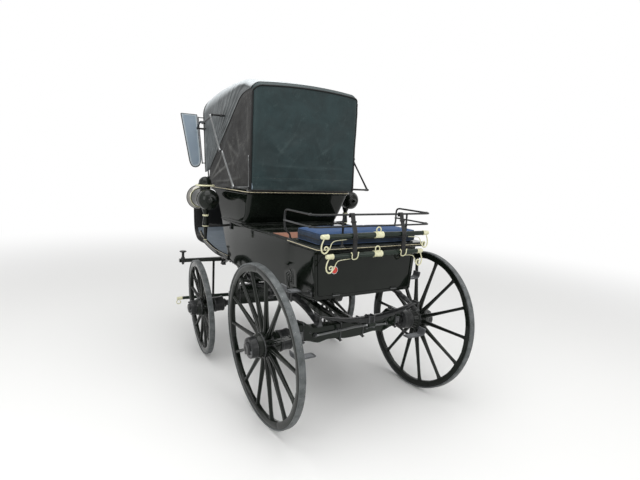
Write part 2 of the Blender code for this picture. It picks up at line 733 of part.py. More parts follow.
def build_seat_body(parent):
    """The front seat's flared wall with its belt rail, foot moulding and hood irons."""
    rows = seat_rows()
    levels = [(z, seat_plan(back, hb, hf, front, 0.055)) for z, back, hb, hf, front in rows]
    wall = wall_solid(levels, 0.022)
    z, back, hb, hf, front = rows[-1]
    rail = wall_solid([(h, seat_plan(back + 0.010, hb + 0.010, hf + 0.010, front - 0.006, 0.062))
                       for h in (z - 0.016, z + 0.014)], 0.040)
    z0, back, hb, hf, front = rows[0]
    foot = wall_solid([(h, seat_plan(back + 0.012, hb + 0.012, hf + 0.012, front, 0.062))
                       for h in (z0, z0 + 0.018)], 0.030)
    parts = [rail, foot]
    for side in (1, -1):
        x_low, x_high = sorted((side * 0.5885, side * 0.5955))
        parts.append(block((x_low, HOOD_Y - 0.020, z - 0.010), (x_high, HOOD_Y + 0.020, HOOD_Z + 0.016)))
        parts.append(rod((side * 0.592, HOOD_Y, HOOD_Z), (side * 0.540, HOOD_Y, HOOD_Z), 0.0080, 8))
        y, pin_z = PROP_FOOT
        arm = on_side([(0.488, -0.812, 1.569), (0.522, -0.791, 1.573), (0.548, -0.776, 1.592),
                       (0.590, -0.757, 1.604), (0.650, y, pin_z)], side)
        parts.append(tube(arm, 0.0075, 6))
        parts.append(rod((side * 0.645, y, pin_z), (side * (LAYER_REAR_LINK - 0.0080), y, pin_z), 0.0095, 8))
        parts.append(rod((side * 0.650, y, pin_z), (side * 0.6735, y, pin_z), 0.0048, 8))
    place("seat_body", combined(wall, parts), "gloss_black", parent)


def build_toe_board(parent):
    """The floor that rises into the toe-board, with its rocker rails."""
    under = [(BOOT_FRONT_Y - 0.0006, 0.9053), (-1.56, 0.9053), (-1.80, 0.932), (-1.98, 0.972), (-2.085, 1.030)]
    over = [(-2.068, 1.052), (-1.965, 1.000), (-1.79, 0.962), (-1.565, 0.9353), (-1.2649, 0.9353)]
    floor = prism(under + over, "x", -FLOOR_HALF + 0.012, FLOOR_HALF - 0.012)
    rails = []
    for side in (1, -1):
        low, high = sorted((side * (FLOOR_HALF - 0.020), side * FLOOR_HALF))
        crest = [(y, z + 0.016) for y, z in over]
        crest[-1] = (-1.2728, 0.9513)
        rails.append(prism(under + crest, "x", low, high))
    place("toe_board", combined(floor, rails), "gloss_black", parent)


def build_dash(parent):
    """The leather dash that curves up from the toe-board."""
    half = 0.520
    spots = [(-2.0685, 1.0525), (-2.104, 1.080), (-2.140, 1.112), (-2.168, 1.148), (DASH_Y, 1.200),
             (DASH_Y - 0.012, 1.290), (DASH_Y - 0.016, 1.360), (DASH_Y - 0.017, DASH_TOP)]
    path = [Vector((0, y, z)) for y, z in spots]
    rings = []
    thickness = 0.016
    for i, point in enumerate(path):
        ahead = path[min(i + 1, len(path) - 1)] - path[max(i - 1, 0)]
        out = Vector((0, ahead.z, -ahead.y)).normalized() * thickness
        share = i / (len(path) - 1)
        inset = 0.10 * max(0.25 - share, 0.0) ** 1.5 * 4 + 0.35 * max(share - 0.85, 0.0)
        reach = half - inset
        rings.append([(-reach, point.y, point.z), (reach, point.y, point.z),
                      (reach, point.y - out.y, point.z - out.z), (-reach, point.y - out.y, point.z - out.z)])
    place("dash", loft(rings), "gloss_black", parent)


# Cushions

def cushion_solid(low, high, crown, pull, columns=8, rows=6, channels=0):
    """A stuffed cushion: crowned top, sides drawn in between the corners, flat foot."""
    low, high = Vector(low), Vector(high)
    middle, half = (low + high) / 2, (high - low) / 2

    def spot(u, v, level):
        edge_u = 1 - abs(v) ** 2
        edge_v = 1 - abs(u) ** 2
        x = middle.x + half.x * u - pull * edge_u * u ** 3
        y = middle.y + half.y * v - pull * edge_v * v ** 3
        return x, y, level
    grid = [(-1 + 2 * i / columns) for i in range(columns + 1)]
    lines = [(-1 + 2 * j / rows) for j in range(rows + 1)]
    solid = bmesh.new()
    side_top = high.z - crown

    def top_height(u, v):
        bulge = crown * (1 - abs(u) ** 4) * (1 - abs(v) ** 3)
        if channels:
            wave = 0.5 + 0.5 * math.cos(2 * math.pi * channels * (u + 1) / 2)
            bulge -= 0.25 * crown * wave * (1 - abs(u) ** 6)
        return side_top + max(bulge, 0.0)
    top = [[solid.verts.new(spot(u, v, top_height(u, v))) for u in grid] for v in lines]
    foot = [[solid.verts.new(spot(u * 0.985, v * 0.975, low.z)) for u in grid] for v in lines]
    for j in range(rows):
        for i in range(columns):
            solid.faces.new((top[j][i], top[j][i + 1], top[j + 1][i + 1], top[j + 1][i]))
            solid.faces.new((foot[j][i], foot[j + 1][i], foot[j + 1][i + 1], foot[j][i + 1]))
    loop = [(0, i) for i in range(columns)] + [(j, columns) for j in range(rows)]
    loop += [(rows, i) for i in range(columns, 0, -1)] + [(j, 0) for j in range(rows, 0, -1)]
    belly = []
    for j, i in loop:
        u, v = grid[i], lines[j]
        x, y, _z = spot(u * 1.012, v * 1.03, 0)
        belly.append(solid.verts.new((x, y, (low.z + side_top) / 2)))
    for k, (j, i) in enumerate(loop):
        n = (k + 1) % len(loop)
        jn, i_n = loop[n]
        solid.faces.new((belly[k], belly[n], top[jn][i_n], top[j][i]))
        solid.faces.new((foot[j][i], foot[jn][i_n], belly[n], belly[k]))
    return solid


def build_cushions(parent):
    """The driving seat's cushion and the groom's blue cushion."""
    front = cushion_solid((-0.432, -1.440, BOOT_DECK + GAP), (0.432, -1.012, 1.405), 0.040, 0.012, channels=4)
    place("front_cushion", front, "blue_cloth", parent)
    rear = cushion_solid((-0.446, -0.142, 1.2838), (0.446, 0.224, 1.372), 0.030, 0.012, channels=3)
    place("rear_cushion", rear, "blue_cloth", parent)


# Groom's seat

def build_rear_seat(parent):
    """Seat board with its moulded edge, and the iron rail round it."""
    half, front, back = REAR_SEAT_HALF, REAR_SEAT_FRONT_Y, REAR_SEAT_BACK_Y
    low = SEAT_DECK + GAP

    def ring(inset, z):
        return [(-half + inset, front, z), (half - inset, front, z), (half - inset, back - inset - 0.02, z),
                (half - inset - 0.02, back - inset, z), (-half + inset + 0.02, back - inset, z),
                (-half + inset, back - inset - 0.02, z)]
    board = loft([ring(0.016, low), ring(0.003, low + 0.009), ring(0.0, low + 0.013), ring(0.0, low + 0.026),
                  ring(0.006, low + 0.033)])
    place("rear_seat_board", board, "gloss_black", parent)
    build_rail(low + 0.033 + GAP, parent)


def build_rail(board_z, parent):
    """Two round rails on posts, open to the front."""
    half, back = RAIL_HALF, RAIL_BACK_Y
    front = -0.139
    corner = 0.045

    def turn(x_sign, z):
        spots = [(x_sign * (half - corner + corner * math.cos(t)), back - corner + corner * math.sin(t), z)
                 for t in (0.0, math.pi / 4, math.pi / 2)]
        return spots if x_sign > 0 else spots[::-1]
    foot = [(0.467, front, board_z), (0.467, front, board_z + 0.012), (0.474, front, board_z + 0.034),
            (half - 0.012, front, board_z + 0.065), (half, front, board_z + 0.110)]
    left_up = foot + [(half, front, RAIL_TOP - 0.035), (half, front + 0.012, RAIL_TOP - 0.008),
                      (half, front + 0.040, RAIL_TOP)]
    top = left_up + turn(1, RAIL_TOP) + turn(-1, RAIL_TOP) + mirrored(left_up[::-1])
    middle = [(half, front - 0.001, RAIL_MIDDLE)] + turn(1, RAIL_MIDDLE) + turn(-1, RAIL_MIDDLE)
    middle.append((-half, front - 0.001, RAIL_MIDDLE))
    parts = [tube(middle, 0.0065, 6)]
    for x in (-0.280, 0.280):
        parts.append(rod((x, back, board_z), (x, back, RAIL_TOP), 0.0070, 6))
        parts.append(rod((x, back - 0.008, board_z), (x, back - 0.008, board_z + 0.008), 0.0160, 8))
    place("seat_rail", combined(tube(top, 0.0070, 6), parts), "black_iron", parent)


SPARE_BAR_Y = 0.283
SPARE_BAR_RADIUS = 0.0195


def build_spare_bars(parent):
    """Two spare lead bars strapped across the back, with scrolled hooks and centre eyes."""
    for name, z, half in (("spare_bar_upper", 1.359, 0.470), ("spare_bar_lower", 1.226, 0.425)):
        stations = [(-half, 0.014), (-half + 0.03, 0.0165), (-0.12, SPARE_BAR_RADIUS), (0.12, SPARE_BAR_RADIUS),
                    (half - 0.03, 0.0165), (half, 0.014)]
        bar = tube([(x, 0, 0) for x, _r in stations], [r for _x, r in stations], 8)
        parts = [curl((side * (half - 0.028), 0.010, -0.012), side, 0.0038) for side in (1, -1)]
        ring = turned([(-0.0035, 0.015), (-0.0035, 0.024), (0.0035, 0.024), (0.0035, 0.015)], 7, "y",
                      centre=(0, 0, 0.034), closed_loop=True)
        parts.append(ring)
        place(name, combined(bar, parts), "gloss_black", parent, (0, SPARE_BAR_Y, z))


def build_bar_straps(parent):
    """Leather straps over the rail, down behind both bars and under the lower one."""
    y, r = SPARE_BAR_Y, SPARE_BAR_RADIUS + 0.0040
    under = 1.226
    over = 0.0103
    wrap = [(0, RAIL_BACK_Y - over * math.cos(math.pi * k / 4), RAIL_TOP + over * math.sin(math.pi * k / 4))
            for k in range(5)]
    hook = [(0, y + r * math.cos(math.pi * k / 4), under - r * math.sin(math.pi * k / 4)) for k in range(5)]
    path = [(0, RAIL_BACK_Y - over, RAIL_TOP - 0.020)] + wrap
    path += [(0, 0.2830, 1.430), (0, y + r, 1.376)] + hook
    mesh = to_mesh(ribbon(path, (1, 0, 0), 0.024, 0.004), "strap")
    for side, label in ((1, "left"), (-1, "right")):
        place(f"bar_strap_{label}", mesh, "strap_leather", parent, (side * 0.215, 0, 0))


def build_upper_steps(parent):
    """The groom's upper steps, each an iron with an upturned tread."""
    for side, label in ((1, "left"), (-1, "right")):
        wall = body_half_width(0.11, 0.935)
        arm = smooth_path(on_side([(wall + 0.004, 0.110, 0.935), (wall + 0.034, 0.095, 0.937),
                                   (wall + 0.079, 0.065, 0.948)], side), 3)
        corners = [(0.082, 0.915), (0.145, 0.915), (0.145, 0.955), (0.082, 0.955)]
        palm = loft([on_side([(body_half_width(y, z) + lift, y, z) for y, z in corners], side)
                     for lift in (0.0014, 0.009)])
        tread = step_tread(side, 0.545, 0.060, 0.955)
        step = combined(ribbon(arm, (0, 1, 0), 0.034, 0.012), [palm, tread])
        place(f"upper_step_{label}", step, "black_iron", parent)


# Lamps

def build_lamps(parent):
    """Carriage lamps: a drum with a round front glass, chimney, tail socket and bracket."""
    drum = [(-1.388, 0.0), (-1.388, 0.078), (-1.396, 0.100), (-1.378, 0.106), (-1.358, 0.100), (-1.350, 0.084),
            (-1.210, 0.078), (-1.160, 0.086), (-1.115, 0.090), (-1.075, 0.079), (-1.045, 0.052),
            (-1.040, 0.026), (-1.012, 0.0)]
    chimney = [(1.530, 0.0), (1.530, 0.046), (1.585, 0.046), (1.588, 0.082), (1.597, 0.082), (1.600, 0.056),
               (1.632, 0.052), (1.655, 0.034), (1.668, 0.0)]
    tail = [(1.410, 0.0), (1.410, 0.036), (1.352, 0.020), (1.345, 0.028), (1.333, 0.028), (1.326, 0.019),
            (1.262, 0.027), (1.238, 0.027), (1.230, 0.018), (1.125, 0.012), (1.110, 0.0)]
    for side, label in ((1, "left"), (-1, "right")):
        x = side * LAMP_X
        parts = [turned(chimney, 8, "z", centre=(x, -1.205, 0)), turned(tail, 8, "z", centre=(x, -1.180, 0))]
        arm = [(side * 0.5135, -1.190, 1.240), (side * 0.570, -1.184, 1.226), (side * 0.640, -1.180, 1.230),
               (side * 0.695, -1.180, 1.243), (x, -1.180, 1.250)]
        parts.append(tube(arm, 0.010, 6))
        parts.append(block((min(side * 0.5022, side * 0.5150), -1.215, 1.205),
                           (max(side * 0.5022, side * 0.5150), -1.165, 1.268)))
        body = turned(drum, 12, "y", centre=(x, 0, LAMP_Z))
        place(f"lamp_{label}", combined(body, parts), "gloss_black", parent)
        lens = [(-1.3885, 0.0), (-1.3885, 0.0765), (-1.3915, 0.0765), (-1.400, 0.050), (-1.404, 0.0)]
        glass = turned(lens, 12, "y", centre=(x, 0, LAMP_Z))
        place(f"lamp_glass_{label}", glass, "lamp_glass", parent)


# Hood

def bow_shape(reach, half, corner, foot, crown, rounds=4):
    """Half of a bow in its own plane, foot to crown: (x, distance from the pin)."""
    shoulder = reach - crown
    points = [(foot, 0.0), (foot, 0.070), (foot + (half - foot) * 0.5, (shoulder - corner) * 0.55)]
    for k in range(rounds + 1):
        angle = math.pi / 2 * k / rounds
        points.append((half - corner + corner * math.cos(angle), shoulder - corner + corner * math.sin(angle)))
    flat = half - corner
    for share in (0.5, 0.0):
        points.append((flat * share, reach - crown * share * share))
    return points


def bow_solid(spec):
    """One hoop of the hood, with eyes on the hood pin."""
    half_path = bow_shape(spec["reach"], spec["half"], spec["corner"], spec["foot"], spec["crown"])
    plane = half_path + [(-x, r) for x, r in reversed(half_path[:-1])]
    angle = math.radians(spec["angle"])
    out = Vector((0, math.cos(angle), math.sin(angle)))
    across = Vector((0, -math.sin(angle), math.cos(angle)))
    rings = []
    for i, (x, r) in enumerate(plane):
        ahead = Vector(plane[min(i + 1, len(plane) - 1)]) - Vector(plane[max(i - 1, 0)])
        ahead.normalize()
        normal = Vector((ahead.y, 0, 0)) + out * (-ahead.x)
        centre = Vector((x, 0, 0)) + out * r
        wide, deep = across * 0.010, normal * 0.004
        rings.append([centre - wide - deep, centre + wide - deep, centre + wide + deep, centre - wide + deep])
    hoop = loft(rings)
    eyes, holes = [], []
    for side in (1, -1):
        foot = side * spec["foot"]
        eyes.append(rod((foot - 0.0045, 0, 0), (foot + 0.0045, 0, 0), 0.017, 8))
        holes.append(rod((foot - 0.02, 0, 0), (foot + 0.02, 0, 0), 0.0092, 8))
    return combined(combined(hoop, eyes), holes, "DIFFERENCE")


def leg_x(spec, reach):
    """Where a bow's leg stands, side to side, at a distance from the pin."""
    share = min(reach / (spec["reach"] - spec["crown"] - spec["corner"]), 1.0)
    return spec["foot"] + (spec["half"] - spec["foot"]) * share


def stud_points(spec, reach):
    """Centre of a bow stud at its leg, relative to the hood pin."""
    angle = math.radians(spec["angle"])
    return reach * math.cos(angle), reach * math.sin(angle)


def build_bows(parent):
    """The four hoops, the main and front ones with the studs that take the irons."""
    for name, spec in BOWS.items():
        solid = bow_solid(spec)
        studs = []
        if name == "main":
            y, z = stud_points(spec, MAIN_STUD_REACH)
            for side in (1, -1):
                root = side * (leg_x(spec, MAIN_STUD_REACH) - 0.002)
                studs.append(rod((root, y, z), (side * (LAYER_REAR_LINK - 0.0080), y, z), 0.0080, 8))
                studs.append(rod((root, y, z), (side * 0.6740, y, z), 0.0048, 8))
        if name == "front":
            y, z = stud_points(spec, FRONT_STUD_REACH)
            for side in (1, -1):
                root = side * (leg_x(spec, FRONT_STUD_REACH) - 0.002)
                studs.append(rod((root, y, z), (side * (LAYER_FRONT_LINK - 0.0085), y, z), 0.0080, 8))
            studs += wing_hinges(spec)
        if studs:
            solid = combined(solid, studs)
        pivot = empty(f"{name}_bow_pin", (0, HOOD_Y, HOOD_Z), parent)
        place(f"{name}_bow", solid, "gloss_black", pivot)


def wing_hinges(spec):
    """Irons from the front bow's legs to the ends of each wing's hinge barrel."""
    angle = math.radians(spec["angle"])
    out = Vector((0, math.cos(angle), math.sin(angle)))
    ahead = Vector((0, -math.sin(angle), math.cos(angle)))
    irons = []
    for reach, way in ((WING_LOW + WING_BARREL[0], -1), (WING_LOW + WING_BARREL[1], 1)):
        for side in (1, -1):
            level = out * (reach + way * 0.006)
            leg = Vector((side * leg_x(spec, reach), 0, 0)) + level
            pin = Vector((side * WING_X, 0, 0)) + ahead * WING_AHEAD
            irons.append(ribbon([leg, leg + ahead * WING_AHEAD, pin + level], out, 0.008, 0.003))
            pin += out * (reach + way * GAP)
            irons.append(rod(pin, pin + out * (way * 0.012), 0.0058, 8))
    return irons


def between(angle, key):
    """A bow size at any angle between the bows: the rear bow's holds a little past it."""
    specs = list(BOWS.values())
    start = specs[0]["angle"] + REAR_BOW_HOLD
    if angle <= start:
        return specs[0][key]
    for low, high in zip(specs, specs[1:]):
        if angle <= high["angle"]:
            share = (angle - start) / (high["angle"] - start)
            return low[key] + (high[key] - low[key]) * share
        start = high["angle"]
    return specs[-1][key]


def leather_line(angle, lift, sag=0.0):
    """Half of the leather's line at one angle, foot to crown: (x, reach)."""
    reach = between(angle, "reach") + lift - sag
    half = between(angle, "half") + lift - sag * 0.3
    corner = between(angle, "corner")
    crown = between(angle, "crown")
    shoulder = reach - crown
    low_x = 0.5905 + lift
    points = []
    for share in (0.10, 0.35, 0.68):
        r = (shoulder - corner) * share
        points.append((low_x + (half - low_x) * share, max(r, 0.062)))
    for k in range(5):
        t = math.pi / 2 * k / 4
        points.append((half - corner + corner * math.cos(t), shoulder - corner + corner * math.sin(t)))
    flat = half - corner
    for share in (0.55, 0.0):
        points.append((flat * share, reach - crown * share * share))
    return points


def shell(outer, inner):
    """A closed thin solid between two grids of points with the same layout."""
    solid = bmesh.new()
    skins = [[[solid.verts.new(p) for p in row] for row in grid] for grid in (outer, inner)]
    rows, columns = len(outer), len(outer[0])
    for skin, flip in zip(skins, (False, True)):
        for j in range(rows - 1):
            for i in range(columns - 1):
                face = [skin[j][i], skin[j][i + 1], skin[j + 1][i + 1], skin[j + 1][i]]
                solid.faces.new(face[::-1] if flip else face)
    edge = [(0, i) for i in range(columns - 1)] + [(j, columns - 1) for j in range(rows - 1)]
    edge += [(rows - 1, i) for i in range(columns - 1, 0, -1)] + [(j, 0) for j in range(rows - 1, 0, -1)]
    for k, (j, i) in enumerate(edge):
        jn, i_n = edge[(k + 1) % len(edge)]
        solid.faces.new((skins[0][jn][i_n], skins[0][j][i], skins[1][j][i], skins[1][jn][i_n]))
    return solid


def hood_top_grid(lift):
    """The leather over the bows, from just ahead of the rear bow to past the front bow."""
    grid = []
    angles = [(45.1, 0.0), (53.5, 0.008), (62.0, 0.0), (71.5, 0.009), (81.0, 0.0), (90.0, 0.009),
              (99.0, 0.009), (108.0, 0.0), (110.5, 0.0)]
    for angle, sag in angles:
        half_line = leather_line(angle, lift, sag)
        line = half_line + [(-x, r) for x, r in reversed(half_line[:-1])]
        row = []
        for x, r in line:
            ahead = 0.006 * max(angle - 108.0, 0.0) / 2.5
            spot = hood_point(r, angle, x)
            row.append((spot.x, spot.y - ahead, spot.z))
        grid.append(row)
    return grid


def hood_back_grid(lift):
    """The back curtain and its quarters: from the belt rail up to the rear bow."""
    edge_angle, ridge_angle = 44.6, 42.7
    belt_back, belt_half = -0.772, 0.4855

    def across(angle):
        half_line = leather_line(angle, lift)
        return half_line + [(-x, r) for x, r in reversed(half_line[:-1])]
    rows = []
    for level in (0.0, 0.15, 0.40, 0.70, 1.0):
        row = []
        for i, (x, r) in enumerate(across(ridge_angle)):
            top = hood_point(r, ridge_angle, x)
            side = 1 if x >= 0 else -1
            top_y = top.y
            foot_y = min(max(top_y, HOOD_Y + 0.042), belt_back + lift)
            share_back = (foot_y - HOOD_Y) / (belt_back - HOOD_Y)
            foot_x = x
            if abs(x) > between(ridge_angle, "half") - between(ridge_angle, "corner"):
                foot_x = side * (0.5905 + lift + (belt_half - 0.5905) * share_back)
            bottom = Vector((foot_x, foot_y, BELT_Z + 0.0162))
            spot = bottom.lerp(top, level)
            wave = 0.005 * math.sin(i * 1.9 + level * 5.0) * math.sin(math.pi * level)
            spot.x += side * wave if abs(x) > 0.40 else 0.0
            spot.y += wave if abs(x) <= 0.40 else 0.0
            row.append(tuple(spot))
        rows.append(row)
    rows.append([tuple(hood_point(r, edge_angle, x)) for x, r in across(edge_angle)])
    return rows


def build_leather(parent):
    """Hood leather: the part over the bows, and the back curtain with the quarters."""
    clear = 0.011
    top = shell(hood_top_grid(clear + LEATHER_THICKNESS), hood_top_grid(clear))
    holes = []
    for name, reach in (("main", MAIN_STUD_REACH), ("front", FRONT_STUD_REACH)):
        y, z = stud_points(BOWS[name], reach)
        for side in (1, -1):
            near, far = ((side * x, HOOD_Y + y, HOOD_Z + z) for x in (0.50, 0.64))
            holes.append(rod(near, far, 0.012, 8))
    place("hood_top", combined(top, holes, "DIFFERENCE"), "hood_leather", parent)
    back = shell(hood_back_grid(clear + LEATHER_THICKNESS), hood_back_grid(clear))
    place("hood_back", back, "hood_leather", parent)


# Hood irons

def link_solid(path, layer, eye_radius, start_hole, end_hole, side):
    """A bar between two points of the side view, with an eye or a boss at each end."""
    half = 0.0070
    points = [(side * layer, y, z) for y, z in path]
    bar = tube(points, 0.0055, 6)
    bosses, holes = [], []
    for (x, y, z), hole in ((points[0], start_hole), (points[-1], end_hole)):
        bosses.append(rod((x - half, y, z), (x + half, y, z), eye_radius, 8))
        if hole:
            holes.append(rod((x - half - 0.01, y, z), (x + half + 0.01, y, z), 0.0058, 8))
    solid = combined(bar, bosses)
    return combined(solid, holes, "DIFFERENCE") if holes else solid


def shifted(path, origin):
    """A side-view path measured from an origin."""
    return [(y - origin[0], z - origin[1]) for y, z in path]


def build_hood_irons(parent):
    """On each side a two-part prop to the main stud and a two-part stay to the front stud."""
    main_y, main_z = stud_points(BOWS["main"], MAIN_STUD_REACH)
    main_stud = (HOOD_Y + main_y, HOOD_Z + main_z)
    front_y, front_z = stud_points(BOWS["front"], FRONT_STUD_REACH)
    front_stud = (HOOD_Y + front_y, HOOD_Z + front_z)
    half = 0.0070
    for side, label in ((1, "left"), (-1, "right")):
        pin = empty(f"prop_foot_{label}", (0, *PROP_FOOT), parent)
        path = shifted([PROP_FOOT, PROP_KNUCKLE], PROP_FOOT)
        lower = link_solid(path, LAYER_REAR_LINK, 0.011, True, False, side)
        y, z = PROP_KNUCKLE[0] - PROP_FOOT[0], PROP_KNUCKLE[1] - PROP_FOOT[1]
        peg = rod((side * LAYER_REAR_LINK, y, z), (side * (LAYER_UPPER_PROP + half), y, z), 0.0048, 8)
        place(f"prop_lower_{label}", combined(lower, [peg]), "black_iron", pin)
        knuckle = empty(f"prop_knuckle_{label}", (0, *PROP_KNUCKLE), parent)
        path = shifted([PROP_KNUCKLE, main_stud], PROP_KNUCKLE)
        upper = link_solid(path, LAYER_UPPER_PROP, 0.011, True, False, side)
        place(f"prop_upper_{label}", upper, "black_iron", knuckle)
        stud = empty(f"stay_root_{label}", (0, *main_stud), parent)
        bend = (main_stud[0] - 0.120, main_stud[1] - 0.036)
        path = shifted([main_stud, bend, STAY_KNUCKLE], main_stud)
        rear = link_solid(path, LAYER_REAR_LINK, 0.011, True, False, side)
        y, z = STAY_KNUCKLE[0] - main_stud[0], STAY_KNUCKLE[1] - main_stud[1]
        peg = rod((side * LAYER_REAR_LINK, y, z), (side * (LAYER_FRONT_LINK - half), y, z), 0.0048, 8)
        place(f"stay_rear_{label}", combined(rear, [peg]), "black_iron", stud)
        joint = empty(f"stay_knuckle_{label}", (0, *STAY_KNUCKLE), parent)
        bend = (STAY_KNUCKLE[0] - 0.110, STAY_KNUCKLE[1] + 0.012)
        path = shifted([STAY_KNUCKLE, bend, front_stud], STAY_KNUCKLE)
        front = link_solid(path, LAYER_FRONT_LINK, 0.011, True, False, side)
        place(f"stay_front_{label}", front, "black_iron", joint)


# Hood wings

def wing_point(reach):
    """A point of the wing's hinge line, ahead of the front bow's leg."""
    angle = math.radians(BOWS["front"]["angle"])
    return (HOOD_Y + reach * math.cos(angle) - WING_AHEAD * math.sin(angle),
            HOOD_Z + reach * math.sin(angle) + WING_AHEAD * math.cos(angle))


def build_wings(parent):
    """The hinged side wings, swung straight out as photographed."""
    tilt = math.radians(BOWS["front"]["angle"] - 90)
    length = WING_LENGTH
    outline = [(0.004, 0.070), (0.0085, 0.064), (0.0085, 0.056), (0.028, 0.024), (0.065, 0.006),
               (0.100, 0.016), (0.120, 0.050), (0.168, length), (0.0085, length),
               (0.0085, length - 0.042), (0.004, length - 0.045)]
    for side, label in ((1, "left"), (-1, "right")):
        panel = prism([(side * x, z) for x, z in outline], "y", -0.005, 0.005)
        barrel = rod((0, 0, WING_BARREL[0]), (0, 0, WING_BARREL[1]), 0.0058, 8)
        y, z = wing_point(WING_LOW)
        hinge = empty(f"wing_hinge_{label}", (side * WING_X, y, z), parent, (tilt, 0, 0))
        place(f"hood_wing_{label}", combined(panel, [barrel]), "wing_cloth", hinge)


def main():
    """Build the whole carriage."""
    clear_scene()
    chassis = empty("chassis", (0, REAR_AXLE_Y, 0))
    king_pin = empty("king_pin", (0, -WHEELBASE, 0), chassis, (0, 0, REST_STEER))
    build_wheel_pair("rear", REAR_RADIUS, REAR_SPOKES, REAR_FACETS, REAR_HALF_TRACK, REAR_HUB_Z, 1.0, chassis)
    build_wheel_pair("front", FRONT_RADIUS, FRONT_SPOKES, FRONT_FACETS, FRONT_HALF_TRACK, FRONT_HUB_Z, 0.94,
                     king_pin)
    build_rear_axle(chassis)
    build_perch(chassis)
    rear_seat_z = build_spring_set("rear", REAR_SPRING_X, REAR_SPRING_BACK_Y, REAR_SPRING_FRONT_Y,
                                   BOOT_BELLY, chassis)
    build_rear_spring_stay(rear_seat_z, chassis)
    front_back_y = -WHEELBASE + FRONT_SPRING_REACH
    front_front_y = -WHEELBASE - FRONT_SPRING_REACH
    front_seat_z = build_spring_set("front", FRONT_SPRING_X, front_back_y, front_front_y, 0.9053, chassis)
    build_top_carriage(front_seat_z, chassis)
    build_fore_carriage(king_pin)
    build_boot(chassis)
    build_seat_body(chassis)
    build_toe_board(chassis)
    build_dash(chassis)
    build_cushions(chassis)
    build_rear_seat(chassis)
    build_spare_bars(chassis)
    build_bar_straps(chassis)
    build_upper_steps(chassis)
    build_lamps(chassis)
    build_bows(chassis)
    build_leather(chassis)
    build_hood_irons(chassis)
    build_wings(chassis)


if __name__ == "__main__":
    main()
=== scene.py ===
"""Mail phaeton: the detailed model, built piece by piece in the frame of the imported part.

Metres, +Z up. The carriage faces -Y and its left side is +X. Sizes are laid out from the
rear axle, which stands at y = AXLE_Y, and each piece puts its place into its mesh.
"""
import logging
import math
from collections.abc import Callable, Sequence
from dataclasses import dataclass
from enum import Enum

import bmesh
import bpy
import numpy as np
from mathutils import Matrix, Vector


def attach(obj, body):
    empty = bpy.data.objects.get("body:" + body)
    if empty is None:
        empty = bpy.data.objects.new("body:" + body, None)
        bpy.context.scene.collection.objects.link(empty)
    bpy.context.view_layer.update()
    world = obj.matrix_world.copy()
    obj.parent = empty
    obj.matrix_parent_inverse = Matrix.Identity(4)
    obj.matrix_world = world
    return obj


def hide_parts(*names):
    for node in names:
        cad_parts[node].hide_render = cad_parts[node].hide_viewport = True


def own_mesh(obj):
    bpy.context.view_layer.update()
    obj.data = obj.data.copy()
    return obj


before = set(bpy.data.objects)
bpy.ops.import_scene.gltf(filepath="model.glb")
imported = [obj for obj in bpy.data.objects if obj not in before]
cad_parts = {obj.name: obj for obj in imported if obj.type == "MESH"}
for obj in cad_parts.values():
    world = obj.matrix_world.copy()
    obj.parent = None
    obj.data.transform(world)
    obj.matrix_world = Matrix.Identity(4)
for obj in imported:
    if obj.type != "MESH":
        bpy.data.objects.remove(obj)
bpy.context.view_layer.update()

LOG = logging.getLogger("phaeton")

AXLE_Y = 0.825
WHEELBASE = 1.34
CAMBER = math.radians(4.4)
REST_STEER = math.radians(-5.6)
CHASSIS = Matrix.Translation((0.0, AXLE_Y, 0.0))
KING_PIN = CHASSIS @ Matrix.Translation((0.0, -WHEELBASE, 0.0)) @ Matrix.Rotation(REST_STEER, 4, "Z")

Spot = Sequence[float]
Colour = tuple[float, float, float]


# Shaders

class Tone:
    """A socket's value, used in plain Python sums."""

    def __init__(self, graph: "Graph", socket: bpy.types.NodeSocket) -> None:
        """Keep the socket and the graph that it belongs to."""
        self.graph = graph
        self.socket = socket

    def __add__(self, other: "Tone | float") -> "Tone":
        """This value plus another."""
        return self.graph.sum_of("ADD", self, other)

    def __sub__(self, other: "Tone | float") -> "Tone":
        """This value less another."""
        return self.graph.sum_of("SUBTRACT", self, other)

    def __rsub__(self, other: float) -> "Tone":
        """A number less this value."""
        return self.graph.sum_of("SUBTRACT", other, self)

    def __mul__(self, other: "Tone | float") -> "Tone":
        """This value times another."""
        return self.graph.sum_of("MULTIPLY", self, other)

    __radd__ = __add__
    __rmul__ = __mul__


class Graph:
    """A node tree, with the one method that adds a node to it."""

    def __init__(self, tree: bpy.types.NodeTree) -> None:
        """Keep the tree."""
        self.tree = tree

    def node(self, kind: str, settings: dict | None = None,
             sockets: dict | None = None) -> bpy.types.Node:
        """Add one node.

        Args:
            kind: the node's type.
            settings: its own properties; "stops" holds a ramp's places and colours.
            sockets: values or Tones for its inputs, by name or number.

        Returns:
            The node.
        """
        made = self.tree.nodes.new(kind)
        for key, value in (settings or {}).items():
            if key == "stops":
                for extra in value[2:]:
                    made.color_ramp.elements.new(extra[0])
                for element, (place, colour) in zip(made.color_ramp.elements, value):
                    element.position = place
                    element.color = (*colour, 1.0)
            else:
                setattr(made, key, value)
        for key, value in (sockets or {}).items():
            self.feed(made.inputs[key], value)
        return made

    def feed(self, socket: bpy.types.NodeSocket, value: object) -> None:
        """Link a Tone into a socket, or set the socket's own value.

        Args:
            socket: the input.
            value: a Tone, a number, or a tuple.
        """
        if isinstance(value, Tone):
            self.tree.links.new(value.socket, socket)
        elif socket.type == "RGBA":
            socket.default_value = (*value[:3], 1.0)
        else:
            socket.default_value = value

    def out(self, node: bpy.types.Node, key: str | int = 0) -> Tone:
        """One output of a node."""
        return Tone(self, node.outputs[key])

    def sum_of(self, operation: str, a: Tone | float, b: Tone | float) -> Tone:
        """One Math node on two values."""
        return self.out(self.node("ShaderNodeMath", {"operation": operation}, {0: a, 1: b}))


